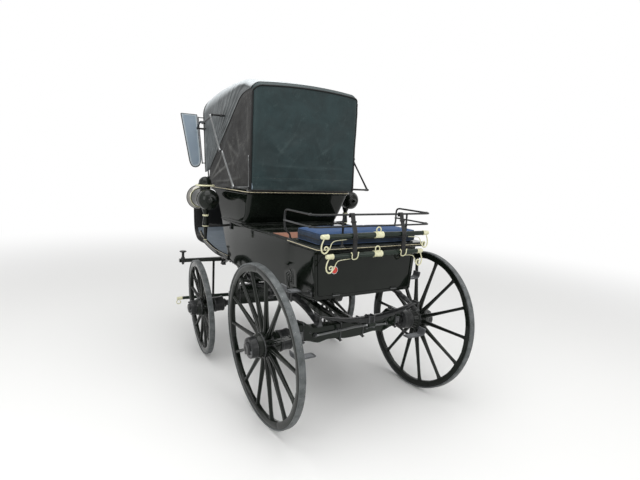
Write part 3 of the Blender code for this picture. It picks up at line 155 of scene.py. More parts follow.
class Recipe(Graph):
    """One material's shader tree."""

    def __init__(self, name: str) -> None:
        """Make the material.

        Args:
            name: name of the material.
        """
        self.material = bpy.data.materials.new(name)
        self.material.use_nodes = True
        super().__init__(self.material.node_tree)
        self.shader = self.tree.nodes["Principled BSDF"]
        self.place = self.out(self.node("ShaderNodeTexCoord"), "Object")

    def stretched(self, scale: Spot, turn: Spot = (0.0, 0.0, 0.0)) -> Tone:
        """The place on the piece, stretched and turned by a Mapping node."""
        return self.out(self.node("ShaderNodeMapping", None,
                                  {"Vector": self.place, "Scale": scale, "Rotation": turn}))

    def noise(self, scale: float, detail: float = 3.0, rough: float = 0.5, at: Tone | None = None,
              drift: float = 0.0) -> Tone:
        """Cloudy noise.

        Args:
            scale: clouds in a metre.
            detail: how many finer octaves.
            rough: how strong the finer ones are.
            at: the place, or None for the piece's own.
            drift: how far the noise is bent by itself.

        Returns:
            A value from 0 to 1.
        """
        sockets = {"Vector": at or self.place, "Scale": scale, "Detail": detail, "Roughness": rough,
                   "Distortion": drift}
        return self.out(self.node("ShaderNodeTexNoise", None, sockets))

    def cells(self, scale: float, feature: str = "F1", at: Tone | None = None) -> Tone:
        """Distance in a pattern of cells, for grain and specks."""
        return self.out(self.node("ShaderNodeTexVoronoi", {"feature": feature},
                                  {"Vector": at or self.place, "Scale": scale}))

    def window(self, value: Tone, low: float, high: float, start: float = 0.0,
               end: float = 1.0) -> Tone:
        """A soft step: start below low, end above high."""
        return self.out(self.node("ShaderNodeMapRange", {"interpolation_type": "SMOOTHSTEP"}, {
            "Value": value, "From Min": low, "From Max": high, "To Min": start, "To Max": end}))

    def blend(self, share: Tone | float, a: "Tone | Colour", b: "Tone | Colour",
              way: str = "MIX") -> Tone:
        """Two colours mixed by a share.

        Args:
            share: share of the second colour.
            a: first colour.
            b: second colour.
            way: how the second one is laid over the first.

        Returns:
            The mixed colour.
        """
        made = self.node("ShaderNodeMix", {"data_type": "RGBA", "blend_type": way},
                         {0: share, 6: a, 7: b})
        return self.out(made, 2)

    def part(self, axis: str, of: Tone | None = None) -> Tone:
        """One coordinate of the place on the piece, or of another vector."""
        return self.out(self.node("ShaderNodeSeparateXYZ", None, {0: of or self.place}), axis)

    def upward(self) -> Tone:
        """How far the surface faces up, from -1 to 1."""
        return self.part("Z", self.out(self.node("ShaderNodeNewGeometry"), "Normal"))

    def relief(self, height: Tone, depth: float, strength: float = 1.0,
               over: Tone | None = None) -> Tone:
        """A bump of a height in metres.

        Args:
            height: height of the surface, 0 to 1.
            depth: what a height of 1 measures, in metres.
            strength: share of the slope that shows.
            over: a normal that this one lies over.

        Returns:
            The bent normal.
        """
        sockets = {"Height": height, "Distance": depth, "Strength": strength}
        if over:
            sockets["Normal"] = over
        return self.out(self.node("ShaderNodeBump", None, sockets))

    def set(self, **sockets: object) -> None:
        """Feed the shader: words joined by _ are the sockets' names."""
        for key, value in sockets.items():
            self.feed(self.shader.inputs[key.replace("_", " ")], value)


@dataclass(frozen=True)
class Finish:
    """A surface finish; its material is made once."""

    name: str
    slot: str

    def material(self) -> bpy.types.Material:
        """The finish's material.

        Returns:
            The one material of this finish, made at the first call.
        """
        found = bpy.data.materials.get(self.name)
        if found:
            return found
        recipe = Recipe(self.name)
        self.compose(recipe)
        return recipe.material

    def compose(self, recipe: Recipe) -> None:
        """Build the shader."""
        raise NotImplementedError


@dataclass(frozen=True)
class Lacquer(Finish):
    """Varnished coach paint, with a breath of dust on what faces up."""

    # The faint green in this black is a painted reflection of grass.
    colour: Colour = (0.0060, 0.0088, 0.0062)
    rough: float = 0.06
    dust: float = 0.07

    def compose(self, recipe: Recipe) -> None:
        """Deep paint under varnish: soft colour change, faint ripple, dust and fine marks.

        Args:
            recipe: the material under construction.
        """
        r = recipe
        clouds = r.noise(6.0, 4.0, 0.6)
        fine = r.noise(260.0, 2.0)
        film = r.window(r.upward(), 0.25, 1.0) * r.window(clouds, 0.35, 0.75) * self.dust
        marks = r.window(r.noise(90.0, 2.0, 0.7, r.stretched((1.0, 1.0, 0.12))), 0.68, 0.78) * 0.03
        deep = tuple(c * 0.6 for c in self.colour)
        paint = r.blend(r.window(clouds, 0.3, 0.7), deep, self.colour)
        paint = r.blend(film + marks, paint, (0.30, 0.31, 0.28))
        r.set(Base_Color=paint, Roughness=self.rough + 0.05 * fine + film * 1.6,
              Specular_IOR_Level=0.16,
              Coat_Weight=0.18, Coat_Roughness=0.04,
              Normal=r.relief(r.noise(55.0, 2.0) + fine * 0.15, 0.0006, 0.25))


@dataclass(frozen=True)
class Iron(Finish):
    """Painted or bare ironwork."""

    colour: Colour = (0.012, 0.013, 0.013)
    rub_and_glint: Colour = (0.34, 0.35, 0.36)
    wear: float = 0.17
    rough: float = 0.22
    metal: float = 0.0

    def compose(self, recipe: Recipe) -> None:
        """Brushed-on black over forged metal, rubbed through in patches and at sharp edges, where the
        pale is partly a painted highlight.

        Args:
            recipe: the material under construction.
        """
        r = recipe
        forged = r.noise(70.0, 3.0, 0.6)
        patch = r.window(r.noise(28.0, 4.0, 0.65), 0.56, 0.72) * self.wear
        # Sharp edges lightened: partly wear, partly a painted highlight.
        edge = self.edge_wear_and_glint(r) * self.wear * 2.0
        bare = r.window(patch + edge, 0.0, 1.0)
        r.set(Base_Color=r.blend(bare, self.colour, self.rub_and_glint), Metallic=bare * 0.8 + self.metal,
              Roughness=self.rough + forged * 0.16 + bare * 0.2, Specular_IOR_Level=0.28,
              Coat_Weight=0.10, Coat_Roughness=0.12,
              Normal=r.relief(forged + r.noise(400.0, 1.0) * 0.2, 0.0012, 0.35))

    @staticmethod
    def edge_wear_and_glint(r: Recipe) -> Tone:
        """Where the surface is convex and sharp, from its pointiness; it lightens edges as wear and as
        a painted highlight.
        """
        return r.window(r.out(r.node("ShaderNodeNewGeometry"), "Pointiness"), 0.53, 0.62)


@dataclass(frozen=True)
class TyreIron(Finish):
    """Iron tyre, greyed by the road, with chips and white specks."""

    def compose(self, recipe: Recipe) -> None:
        """Grey scale, streaks round the tread, pits and pale specks.

        Args:
            recipe: the material under construction.
        """
        r = recipe
        clouds = r.noise(22.0, 5.0, 0.65)
        fine = r.noise(180.0, 3.0, 0.7)
        specks = 1.0 - r.window(r.cells(95.0), 0.10, 0.17)
        specks = specks * r.window(r.noise(35.0, 2.0), 0.50, 0.60)
        grey = r.blend(r.window(clouds, 0.3, 0.7), (0.055, 0.062, 0.062), (0.135, 0.145, 0.148))
        grey = r.blend(r.window(fine, 0.45, 0.75) * 0.45, grey, (0.07, 0.073, 0.070))
        grey = r.blend(specks * 0.8, grey, (0.70, 0.70, 0.66))
        r.set(Base_Color=grey, Metallic=0.30, Specular_IOR_Level=0.35,
              Roughness=0.40 + 0.25 * clouds + specks * 0.2,
              Normal=r.relief(fine + clouds, 0.0014, 0.5))


@dataclass(frozen=True)
class Leather(Finish):
    """Hood leather: grained, scuffed pale along its folds, lighter where it faces up as a painted sky
    sheen.
    """

    colour: Colour = (0.030, 0.036, 0.036)
    scuff: Colour = (0.17, 0.18, 0.17)
    # Next two: the pale tint and strength of a painted sky sheen on upward faces.
    sheen_tint: Colour = (0.22, 0.235, 0.24)
    fade: float = 0.6
    scuffs: float = 0.5
    rough: float = 0.42
    grain: float = 700.0

    def compose(self, recipe: Recipe) -> None:
        """Two sizes of grain, cloudy dye, scuff lines that wander, painted sky sheen on the crown.

        Args:
            recipe: the material under construction.
        """
        r = recipe
        clouds = r.noise(5.0, 5.0, 0.62, drift=0.8)
        lines = r.noise(9.0, 7.0, 0.62, r.stretched((1.0, 1.0, 0.45), (0.3, 0.5, 0.2)), 2.2)
        thread = 1.0 - r.window(r.sum_of("ABSOLUTE", lines - 0.5, 0.0), 0.0, 0.016)
        thread = thread * r.window(r.noise(7.0, 2.0), 0.46, 0.62)
        rub = r.window(r.noise(16.0, 6.0, 0.7, drift=1.2), 0.54, 0.76) * 0.45
        fold = r.out(r.node("ShaderNodeAttribute", {"attribute_name": "fold"}), "Fac")
        pale = r.window((thread * 0.65 + rub) * self.scuffs + fold * 0.75, 0.0, 1.0)
        dye_and_sheen = r.blend(r.window(clouds, 0.3, 0.72), tuple(c * 0.62 for c in self.colour), self.colour)
        # Painted sky sheen: upward faces lightened towards a pale tint.
        painted_sheen = r.window(r.upward(), -0.05, 0.80) * self.fade
        dye_and_sheen = r.blend(painted_sheen * r.window(clouds, 0.15, 0.6, 0.65, 1.0), dye_and_sheen, self.sheen_tint)
        shade = r.blend(pale * 0.8, dye_and_sheen, self.scuff)
        grain = r.cells(self.grain) * 0.7 + r.cells(self.grain * 0.37) * 0.3
        height = r.relief(clouds, 0.010, 0.25)
        r.set(Base_Color=shade, Roughness=self.rough + clouds * 0.16 + pale * 0.12,
              Specular_IOR_Level=0.25,
              Coat_Weight=0.03, Coat_Roughness=0.30,
              Normal=r.relief(grain + lines * 0.6, 0.0011, 0.55, height))


@dataclass(frozen=True)
class Cloth(Finish):
    """Woven box cloth: crossed threads, nap and dust."""

    colour: Colour = (0.042, 0.090, 0.205)
    # Colour of faces that don't face up: painted shade.
    shade: Colour = (0.027, 0.036, 0.048)
    pale: Colour = (0.20, 0.27, 0.42)
    thread: float = 520.0
    top_lit_share: float = 1.0

    def compose(self, recipe: Recipe) -> None:
        """Threads from three crossed waves, painted shade on the sides, pale in patches.

        Args:
            recipe: the material under construction.
        """
        r = recipe
        turned = r.stretched((1.0, 1.0, 1.0), (0.0, 0.0, 0.02))
        waves = [r.sum_of("SINE", r.part(axis, turned) * (self.thread * math.tau / 2), 0.0)
                 for axis in "XYZ"]
        weave = waves[0] * waves[1] * 0.5 + waves[2] * 0.3 + 0.5
        clouds = r.noise(9.0, 5.0, 0.65)
        nap = r.noise(420.0, 2.0, 0.6)
        # Painted shade: faces that don't face up take the darker colour.
        body = r.blend(r.window(r.upward(), 0.1, 0.75) * self.top_lit_share, self.shade, self.colour)
        body = r.blend(r.window(clouds, 0.42, 0.80) * 0.22, body, self.pale)
        body = r.blend(weave * 0.25 + nap * 0.2, body, tuple(c * 0.35 for c in self.colour))
        r.set(Base_Color=body, Roughness=0.82 + 0.12 * nap, Sheen_Weight=0.06, Sheen_Roughness=0.5,
              Specular_IOR_Level=0.2,
              Normal=r.relief(weave + nap, 0.0007, 0.6))


@dataclass(frozen=True)
class Cream(Finish):
    """Cream enamel over brass fittings and coach lines, yellowed and chipped a little."""

    colour: Colour = (0.70, 0.69, 0.47)
    rough: float = 0.25

    def compose(self, recipe: Recipe) -> None:
        """Yellow tide marks and fine dirt under a gloss.

        Args:
            recipe: the material under construction.
        """
        r = recipe
        clouds = r.noise(60.0, 4.0, 0.6)
        dirt = r.window(r.noise(180.0, 5.0, 0.7), 0.62, 0.78)
        paint = r.blend(r.window(clouds, 0.35, 0.7), self.colour,
                        tuple(c * k for c, k in zip(self.colour, (0.8, 0.78, 0.7))))
        paint = r.blend(dirt * 0.35, paint, (0.16, 0.14, 0.08))
        r.set(Base_Color=paint, Roughness=self.rough + 0.15 * clouds + dirt * 0.2, Coat_Weight=0.3,
              Coat_Roughness=0.1, Normal=r.relief(clouds + dirt, 0.0006, 0.3))


@dataclass(frozen=True)
class Polished(Finish):
    """Bright metal: reflector rims, lamp silver."""

    colour: Colour = (0.72, 0.73, 0.72)

    def compose(self, recipe: Recipe) -> None:
        """Bright metal with wipe marks.

        Args:
            recipe: the material under construction.
        """
        r = recipe
        wiped = r.noise(140.0, 3.0, 0.6, r.stretched((1.0, 0.2, 1.0)))
        r.set(Base_Color=r.blend(wiped * 0.5, self.colour, tuple(c * 0.7 for c in self.colour)),
              Metallic=1.0,
              Roughness=0.08 + 0.16 * wiped)


@dataclass(frozen=True)
class Glass(Finish):
    """Clear or coloured lamp glass."""

    colour: Colour = (0.95, 0.97, 0.96)
    clear: float = 1.0

    def compose(self, recipe: Recipe) -> None:
        """Slightly waved old glass.

        Args:
            recipe: the material under construction.
        """
        r = recipe
        waves = r.noise(30.0, 2.0)
        r.set(Base_Color=r.blend(waves * 0.3, self.colour, tuple(c * 0.9 for c in self.colour)),
              Roughness=0.02 + 0.03 * waves,
              Transmission_Weight=self.clear, IOR=1.48, Normal=r.relief(waves, 0.001, 0.3))


@dataclass(frozen=True)
class Facets(Finish):
    """Red moulded reflector, with prisms behind its face."""

    colour: Colour = (0.52, 0.016, 0.003)

    def compose(self, recipe: Recipe) -> None:
        """Hexagonal prisms read through a smooth red face.

        Args:
            recipe: the material under construction.
        """
        r = recipe
        prisms = r.cells(330.0)
        r.set(Base_Color=r.blend(r.window(prisms, 0.1, 0.6), (0.85, 0.045, 0.018), self.colour),
              Roughness=0.12 + 0.1 * prisms,
              Coat_Weight=0.3, Coat_Roughness=0.03, Normal=r.relief(prisms, 0.002, 0.7))


COACH = Lacquer("coach_black", "coach_black_wood")
# Running-gear black, greener still: a painted reflection of the grass below.
GEAR_BLACK_GRASS_REFLECTION = Lacquer("coach_black_gear_grass_reflection", "coach_black_wood", (0.0060, 0.0110, 0.0065), 0.08, 0.10)
# Black bars tinted green: a painted reflection of grass.
SPARE_BAR_GRASS_REFLECTION = Lacquer("spare_bar_black_grass_reflection", "coach_black_wood", (0.010, 0.020, 0.013), 0.16, 0.12)
IRON = Iron("black_iron", "coach_black_iron")
# Pale grey iron with heavy rubbing: a painted highlight standing in for glints along the rods.
GLINT_IRON = Iron("iron_painted_glint", "coach_black_iron", (0.130, 0.135, 0.135),
                 (0.50, 0.51, 0.52), 0.50, 0.28)
STEP_IRON = Iron("step_iron", "coach_black_iron", (0.085, 0.089, 0.094), (0.34, 0.35, 0.36), 0.35, 0.38)
TYRE = TyreIron("tyre_iron_road", "tyre_iron")
# Roof: the pale tint at full strength paints the sky's sheen on its crown.
ROOF = Leather("hood_leather_roof", "hood_leather", (0.074, 0.082, 0.084), (0.36, 0.38, 0.39),
               (0.60, 0.64, 0.66),
               1.0, 0.6)
QUARTER = Leather("hood_leather_quarter", "hood_leather", (0.026, 0.0255, 0.025), (0.20, 0.20, 0.19),
                  (0.19, 0.195, 0.19),
                  0.55, 0.8, 0.45)
CURTAIN = Leather("hood_leather_curtain", "hood_leather", (0.018, 0.036, 0.038), (0.085, 0.125, 0.125),
                  (0.12, 0.14, 0.14), 0.4, 0.6, 0.50)
BINDING = Leather("binding_leather", "hood_leather", (0.009, 0.010, 0.010), (0.05, 0.05, 0.05),
                  (0.08, 0.08, 0.08),
                  0.3, 0.3, 0.30, 900.0)
PIPING = Leather("piping_leather", "hood_leather", (0.0035, 0.0040, 0.0040), (0.02, 0.02, 0.02),
                 (0.010, 0.010, 0.010),
                 0.3, 0.2, 0.45, 900.0)
HARNESS = Leather("strap_leather_black", "strap_leather", (0.012, 0.012, 0.012), (0.10, 0.10, 0.10),
                  (0.05, 0.05, 0.05),
                  0.4, 0.5, 0.36, 900.0)
PATENT = Leather("patent_leather_black", "patent_leather", (0.010, 0.011, 0.011), (0.06, 0.06, 0.06),
                 (0.04, 0.04, 0.04), 0.3, 0.25, 0.14, 800.0)
TAN = Leather("deck_leather", "strap_leather", (0.26, 0.125, 0.085), (0.40, 0.24, 0.18),
              (0.34, 0.17, 0.12),
              0.5, 0.5, 0.5, 600.0)
BOX_CLOTH = Cloth("blue_box_cloth", "blue_cloth")
LINING = Cloth("wing_lining", "wing_leather", (0.26, 0.32, 0.38), (0.24, 0.30, 0.36),
               (0.42, 0.47, 0.51), 420.0)
WELT = Cloth("wing_welt", "wing_leather", (0.40, 0.46, 0.50), (0.38, 0.44, 0.48),
             (0.52, 0.56, 0.59), 420.0)
CARPET = Cloth("footwell_carpet", "blue_cloth", (0.19, 0.225, 0.26), (0.15, 0.18, 0.215),
               (0.42, 0.44, 0.46), 180.0)
CREAM = Cream("cream_enamel", "coach_black_iron")
LINE = Cream("cream_line", "coach_black_wood", (0.78, 0.70, 0.50), 0.3)
THREAD = Cream("linen_thread", "hood_leather", (0.15, 0.17, 0.16), 0.8)
PALE_THREAD = Cream("pale_thread", "wing_leather", (0.42, 0.48, 0.54), 0.8)
BRIGHT = Polished("bright_metal", "coach_black_iron")
LAMP_SILVER = Polished("lamp_silver", "coach_black_iron", (0.30, 0.29, 0.27))
GLASS = Glass("lamp_pane", "lamp_glass")
RED = Facets("red_reflector", "lamp_glass")


# Solids

def rounded(width: float, height: float, radius: float, steps: int = 3) -> list[tuple[float, float]]:
    """Outline of a rectangle with rounded corners, round its middle.

    Args:
        width: size along the first coordinate.
        height: size along the second.
        radius: the corners' radius.
        steps: spans in each corner.

    Returns:
        The points, anticlockwise.
    """
    radius = min(radius, width * 0.499, height * 0.499)
    points = []
    for corner, (sx, sy) in enumerate(((1, 1), (-1, 1), (-1, -1), (1, -1))):
        for k in range(steps + 1):
            angle = math.pi / 2 * (corner + k / steps)
            points.append((sx * (width / 2 - radius) + radius * math.cos(angle),
                           sy * (height / 2 - radius) + radius * math.sin(angle)))
    return points


def ring_of(radius: float, sides: int = 16) -> list[tuple[float, float]]:
    """Outline of a circle."""
    return [(radius * math.cos(math.tau * k / sides), radius * math.sin(math.tau * k / sides))
            for k in range(sides)]


def loft(rings: Sequence[Sequence[Spot]], loop: bool = False) -> bmesh.types.BMesh:
    """A closed solid through rings of points.

    Args:
        rings: rings with the same number of points.
        loop: whether the last ring joins the first, in place of end faces.

    Returns:
        The solid.
    """
    solid = bmesh.new()
    rows = [[solid.verts.new(point) for point in ring] for ring in rings]
    count = len(rows[0])
    pairs = list(zip(rows, rows[1:])) + ([(rows[-1], rows[0])] if loop else [])
    for lower, upper in pairs:
        for i in range(count):
            j = (i + 1) % count
            solid.faces.new((lower[i], lower[j], upper[j], upper[i]))
    if not loop:
        solid.faces.new(rows[0][::-1])
        solid.faces.new(rows[-1])
    return solid


def turned(profile: Sequence[tuple[float, float]], axis: str = "x", centre: Spot = (0, 0, 0),
           sides: int = 32,
           loop: bool = False) -> bmesh.types.BMesh:
    """A turned solid.

    Args:
        profile: (along, radius) points; it starts and ends on the axis unless it is a loop.
        axis: the axis's letter.
        centre: where the axis's zero is.
        sides: facets round it.
        loop: whether the profile closes on itself.

    Returns:
        The solid.
    """
    solid = bmesh.new()
    rows = []
    for k in range(sides):
        angle = math.tau * k / sides
        row = []
        for along, radius in profile:
            a, b = radius * math.cos(angle), radius * math.sin(angle)
            spot = {"x": (along, a, b), "y": (b, along, a), "z": (a, b, along)}[axis]
            row.append(solid.verts.new(Vector(spot) + Vector(centre)))
        rows.append(row)
    count = len(profile)
    for k in range(sides):
        here, there = rows[k], rows[(k + 1) % sides]
        for i in range(count if loop else count - 1):
            j = (i + 1) % count
            solid.faces.new((here[i], there[i], there[j], here[j]))
    bmesh.ops.remove_doubles(solid, verts=solid.verts, dist=1e-6)
    bmesh.ops.dissolve_degenerate(solid, edges=solid.edges, dist=1e-6)
    return solid


def drum(low: float, high: float, radius: float) -> list[tuple[float, float]]:
    """Profile of a plain cylinder between two places on its axis."""
    return [(low, 0.0), (low, radius), (high, radius), (high, 0.0)]


def soft_profile(profile: Sequence[tuple[float, float]], radius: float) -> list[tuple[float, float]]:
    """A turned profile with its inner corners rounded off.

    Args:
        profile: pairs of (along the axis, out from it).
        radius: radius of the rounding, in metres.

    Returns:
        The profile with more points at its corners.
    """
    points = [Vector(p) for p in profile]
    result = [tuple(points[0])]
    for before, here, after in zip(points, points[1:], points[2:]):
        a, b = before - here, after - here
        cut = min(radius, a.length * 0.45, b.length * 0.45)
        start, end = here + a.normalized() * cut, here + b.normalized() * cut
        result += [tuple(start), tuple((start + end) * 0.25 + here * 0.5), tuple(end)]
    return result + [tuple(points[-1])]


def swept(path: Sequence[Spot], outline: Sequence[tuple[float, float]], across: Spot | None = None,
          sizes: Sequence[float] | None = None, loop: bool = False) -> bmesh.types.BMesh:
    """An outline drawn along a path.

    Args:
        path: the path's points.
        outline: the section, as (across, up) points.
        across: the fixed sideways direction, or None for one that follows without twist.
        sizes: a scale for each point of the path.
        loop: whether the path closes on itself.

    Returns:
        The solid.
    """
    points = [Vector(p) for p in path]
    last = len(points) - 1
    side = None
    rings = []
    for i, point in enumerate(points):
        if loop:
            before, after = points[i - 1], points[(i + 1) % (last + 1)]
        else:
            before, after = points[max(i - 1, 0)], points[min(i + 1, last)]
        ahead = (after - before).normalized()
        if across is not None:
            side = Vector(across)
        elif side is None:
            side = ahead.cross(Vector((0, 0, 1)) if abs(ahead.z) < 0.9 else Vector((1, 0, 0)))
        side = (side - ahead * side.dot(ahead)).normalized()
        up = side.cross(ahead)
        scale = sizes[i] if sizes else 1.0
        rings.append([point + side * (a * scale) + up * (b * scale) for a, b in outline])
    return loft(rings, loop)


def tube(path: Sequence[Spot], radius: float, sides: int = 12, sizes: Sequence[float] | None = None,
         loop: bool = False) -> bmesh.types.BMesh:
    """A round bar along a path."""
    return swept(path, ring_of(radius, sides), None, sizes, loop)


def bar(path: Sequence[Spot], across: Spot, width: float, thick: float, edge: float = 0.0015,
        sizes: Sequence[float] | None = None) -> bmesh.types.BMesh:
    """A flat bar with softened edges along a path."""
    return swept(path, rounded(width, thick, edge, 2), across, sizes)


def block(low: Spot, high: Spot, edge: float = 0.002, steps: int = 2) -> bmesh.types.BMesh:
    """A box between two corners with softened edges.

    Args:
        low: the corner with the smallest coordinates.
        high: the corner with the largest.
        edge: width of the softened edge.
        steps: segments across that edge.

    Returns:
        The closed box.
    """
    solid = bmesh.new()
    size = Vector(high) - Vector(low)
    centre = (Vector(high) + Vector(low)) / 2
    bmesh.ops.create_cube(solid, size=1.0,
                          matrix=Matrix.Translation(centre)
                          @ Matrix.Diagonal((*(abs(c) for c in size), 1.0)))
    return softened(solid, edge, steps)


def softened(solid: bmesh.types.BMesh, edge: float, steps: int = 2,
             angle: float = 25.0) -> bmesh.types.BMesh:
    """Round off a solid's sharp edges.

    Args:
        solid: the solid.
        edge: the width taken off.
        steps: spans in the rounding.
        angle: edges sharper than this, in degrees, are rounded.

    Returns:
        The same solid.
    """
    bmesh.ops.recalc_face_normals(solid, faces=solid.faces)
    sharp = [e for e in solid.edges if len(e.link_faces) == 2
             and e.calc_face_angle(0.0) > math.radians(angle)]
    if edge and sharp:
        bmesh.ops.bevel(solid, geom=sharp, offset=edge, segments=steps, profile=0.6, affect="EDGES",
                        clamp_overlap=True)
    return solid


def drawn(outline: Sequence[tuple[float, float]], axis: str, low: float, high: float,
          edge: float = 0.002) -> bmesh.types.BMesh:
    """An outline drawn out along the third axis, its edges softened.

    Args:
        outline: corners in the plane square to the axis.
        axis: the axis that it is drawn along.
        low: where it starts on that axis.
        high: where it ends.
        edge: width of the softened edge.

    Returns:
        The closed solid.
    """
    def spot(a: float, b: float, along: float) -> Spot:
        """Put two coordinates and the third in order."""
        return {"x": (along, a, b), "y": (a, along, b), "z": (a, b, along)}[axis]
    return softened(loft([[spot(a, b, along) for a, b in outline] for along in (low, high)]), edge)


def curve(points: Sequence[Spot], steps: int = 6) -> list[Vector]:
    """A smooth curve through points.

    Args:
        points: the places it passes through.
        steps: spans between each two.

    Returns:
        The curve's points.
    """
    spots = [Vector(p) for p in points]
    spots = [2 * spots[0] - spots[1], *spots, 2 * spots[-1] - spots[-2]]
    result = []
    for a, b, c, d in zip(spots, spots[1:], spots[2:], spots[3:]):
        for k in range(steps):
            t = k / steps
            result.append(0.5 * (2 * b + (c - a) * t + (2 * a - 5 * b + 4 * c - d) * t * t
                                 + (3 * b - a - 3 * c + d) * t ** 3))
    return [*result, spots[-2]]


def at_sides(points: Sequence[Spot], side: int) -> list[Spot]:
    """Points given for the left side, moved to the side wanted (+1 left, -1 right)."""
    return [(side * p[0], p[1], p[2]) for p in points]


def both(points: Sequence[Spot]) -> list[Spot]:
    """A half path and its mirror image, as one path from left to right."""
    return [*points, *[(-p[0], p[1], p[2]) for p in reversed(points) if abs(p[0]) > 1e-6]]


# Repeats

def evaluated(thing: bpy.types.Object) -> bpy.types.Mesh:
    """The mesh of an object after its modifiers."""
    return bpy.data.meshes.new_from_object(thing.evaluated_get(bpy.context.evaluated_depsgraph_get()))


class Bead(Enum):
    """What a run of small things is made of."""

    STITCH = "stitches"
    STUD = "studs"
    NUT = "nuts"


class Pattern(Graph):
    """A Geometry Nodes tree, run on a mesh to give a plain mesh."""

    def __init__(self, name: str, inputs: dict[str, tuple[str, object]]) -> None:
        """Make the tree with its named inputs.

        Args:
            name: the tree's name.
            inputs: each input's name, with its socket type and default.
        """
        tree = bpy.data.node_groups.new(name, "GeometryNodeTree")
        super().__init__(tree)
        tree.interface.new_socket("Geometry", in_out="INPUT", socket_type="NodeSocketGeometry")
        self.keys = {}
        for label, (kind, default) in inputs.items():
            item = tree.interface.new_socket(label, in_out="INPUT", socket_type=kind)
            if default is not None:
                item.default_value = default
            self.keys[label] = item.identifier
        tree.interface.new_socket("Geometry", in_out="OUTPUT", socket_type="NodeSocketGeometry")
        self.start = self.node("NodeGroupInput")

    def given(self, label: str) -> Tone:
        """One of the tree's inputs."""
        return self.out(self.start, label)

    def close(self, geometry: Tone) -> None:
        """End the tree: real geometry, with its finish.

        Args:
            geometry: the instances that the tree made.
        """
        real = self.out(self.node("GeometryNodeRealizeInstances", None, {0: geometry}))
        dressed = self.node("GeometryNodeSetMaterial", None,
                            {"Geometry": real, "Material": self.given("Finish")})
        self.tree.links.new(dressed.outputs[0], self.node("NodeGroupOutput").inputs[0])

    def run(self, mesh: bpy.types.Mesh, values: dict[str, object]) -> bmesh.types.BMesh:
        """Run the tree on a mesh.

        Args:
            mesh: what goes in; it is removed.
            values: the named inputs' values.

        Returns:
            The result, as a solid.
        """
        holder = bpy.data.objects.new("pattern", mesh)
        bpy.context.scene.collection.objects.link(holder)
        step = holder.modifiers.new("pattern", "NODES")
        step.node_group = self.tree
        for label, value in values.items():
            step[self.keys[label]] = value
        made = evaluated(holder)
        holder.modifiers.clear()
        bpy.data.objects.remove(holder, do_unlink=True)
        bpy.data.meshes.remove(mesh)
        solid = bmesh.new()
        solid.from_mesh(made)
        bpy.data.meshes.remove(made)
        return solid


class RoundPattern(Pattern):
    """A shape repeated round the X axis."""

    def __init__(self) -> None:
        """Points at the axis, each turned a step further."""
        super().__init__("Repeat round the axle",
                         {"Count": ("NodeSocketInt", 12), "Lead": ("NodeSocketFloat", 0.0),
                                                   "Finish": ("NodeSocketMaterial", None)})
        points = self.out(self.node("GeometryNodePoints", None, {"Count": self.given("Count")}))
        place = self.out(self.node("GeometryNodeInputIndex"))
        step = self.sum_of("DIVIDE", math.tau, self.given("Count"))
        turn = self.out(self.node("ShaderNodeCombineXYZ", None,
                                  {"X": place * step + self.given("Lead")}))
        self.close(self.out(self.node("GeometryNodeInstanceOnPoints", None, {
            "Points": points, "Instance": self.given("Geometry"), "Rotation": turn})))


class RunPattern(Pattern):
    """Beads spaced along a line, or set at its points, each lying along the line and facing out."""

    def __init__(self, bead: Bead, spaced: bool) -> None:
        """Line to points, a bead on each, turned to the line and to the surface.

        Args:
            bead: the kind of bead.
            spaced: whether the beads are spaced by Pitch, or set at the line's own points.
        """
        super().__init__(f"Run of {bead.value}, {'spaced' if spaced else 'at points'}", {
            "Pitch": ("NodeSocketFloat", 0.004), "Size": ("NodeSocketVector", (0.001, 0.001, 0.001)),
            "Finish": ("NodeSocketMaterial", None)})
        line = self.given("Geometry")
        if spaced:
            line = self.out(self.node("GeometryNodeMeshToCurve", None, {"Mesh": line}))
            line = self.out(self.node("GeometryNodeResampleCurve", {"mode": "LENGTH"}, {
                "Curve": line, "Length": self.given("Pitch")}))
            along = self.out(self.node("GeometryNodeInputTangent"))
        else:
            along = self.named("along")
        turn = self.out(self.node("FunctionNodeAlignRotationToVector", {"axis": "X"},
                                  {"Vector": along}))
        turn = self.out(self.node("FunctionNodeAlignRotationToVector",
                                  {"axis": "Z", "pivot_axis": "X"}, {
            "Rotation": turn, "Vector": self.named("facing")}))
        if bead is Bead.NUT:
            shape = self.node("GeometryNodeMeshCylinder", None,
                              {"Vertices": 6, "Radius": 1.0, "Depth": 2.0})
        else:
            segments, rings = (6, 4) if bead is Bead.STITCH else (10, 7)
            sockets = {"Segments": segments, "Rings": rings, "Radius": 1.0}
            shape = self.node("GeometryNodeMeshUVSphere", None, sockets)
        sockets = {"Points": line, "Instance": self.out(shape), "Rotation": turn,
                   "Scale": self.given("Size")}
        self.close(self.out(self.node("GeometryNodeInstanceOnPoints", None, sockets)))

    def named(self, label: str) -> Tone:
        """A direction stored on the line.

        Args:
            label: name of the direction.

        Returns:
            The direction at each point.
        """
        made = self.node("GeometryNodeInputNamedAttribute", {"data_type": "FLOAT_VECTOR"},
                         {"Name": label})
        return self.out(made)


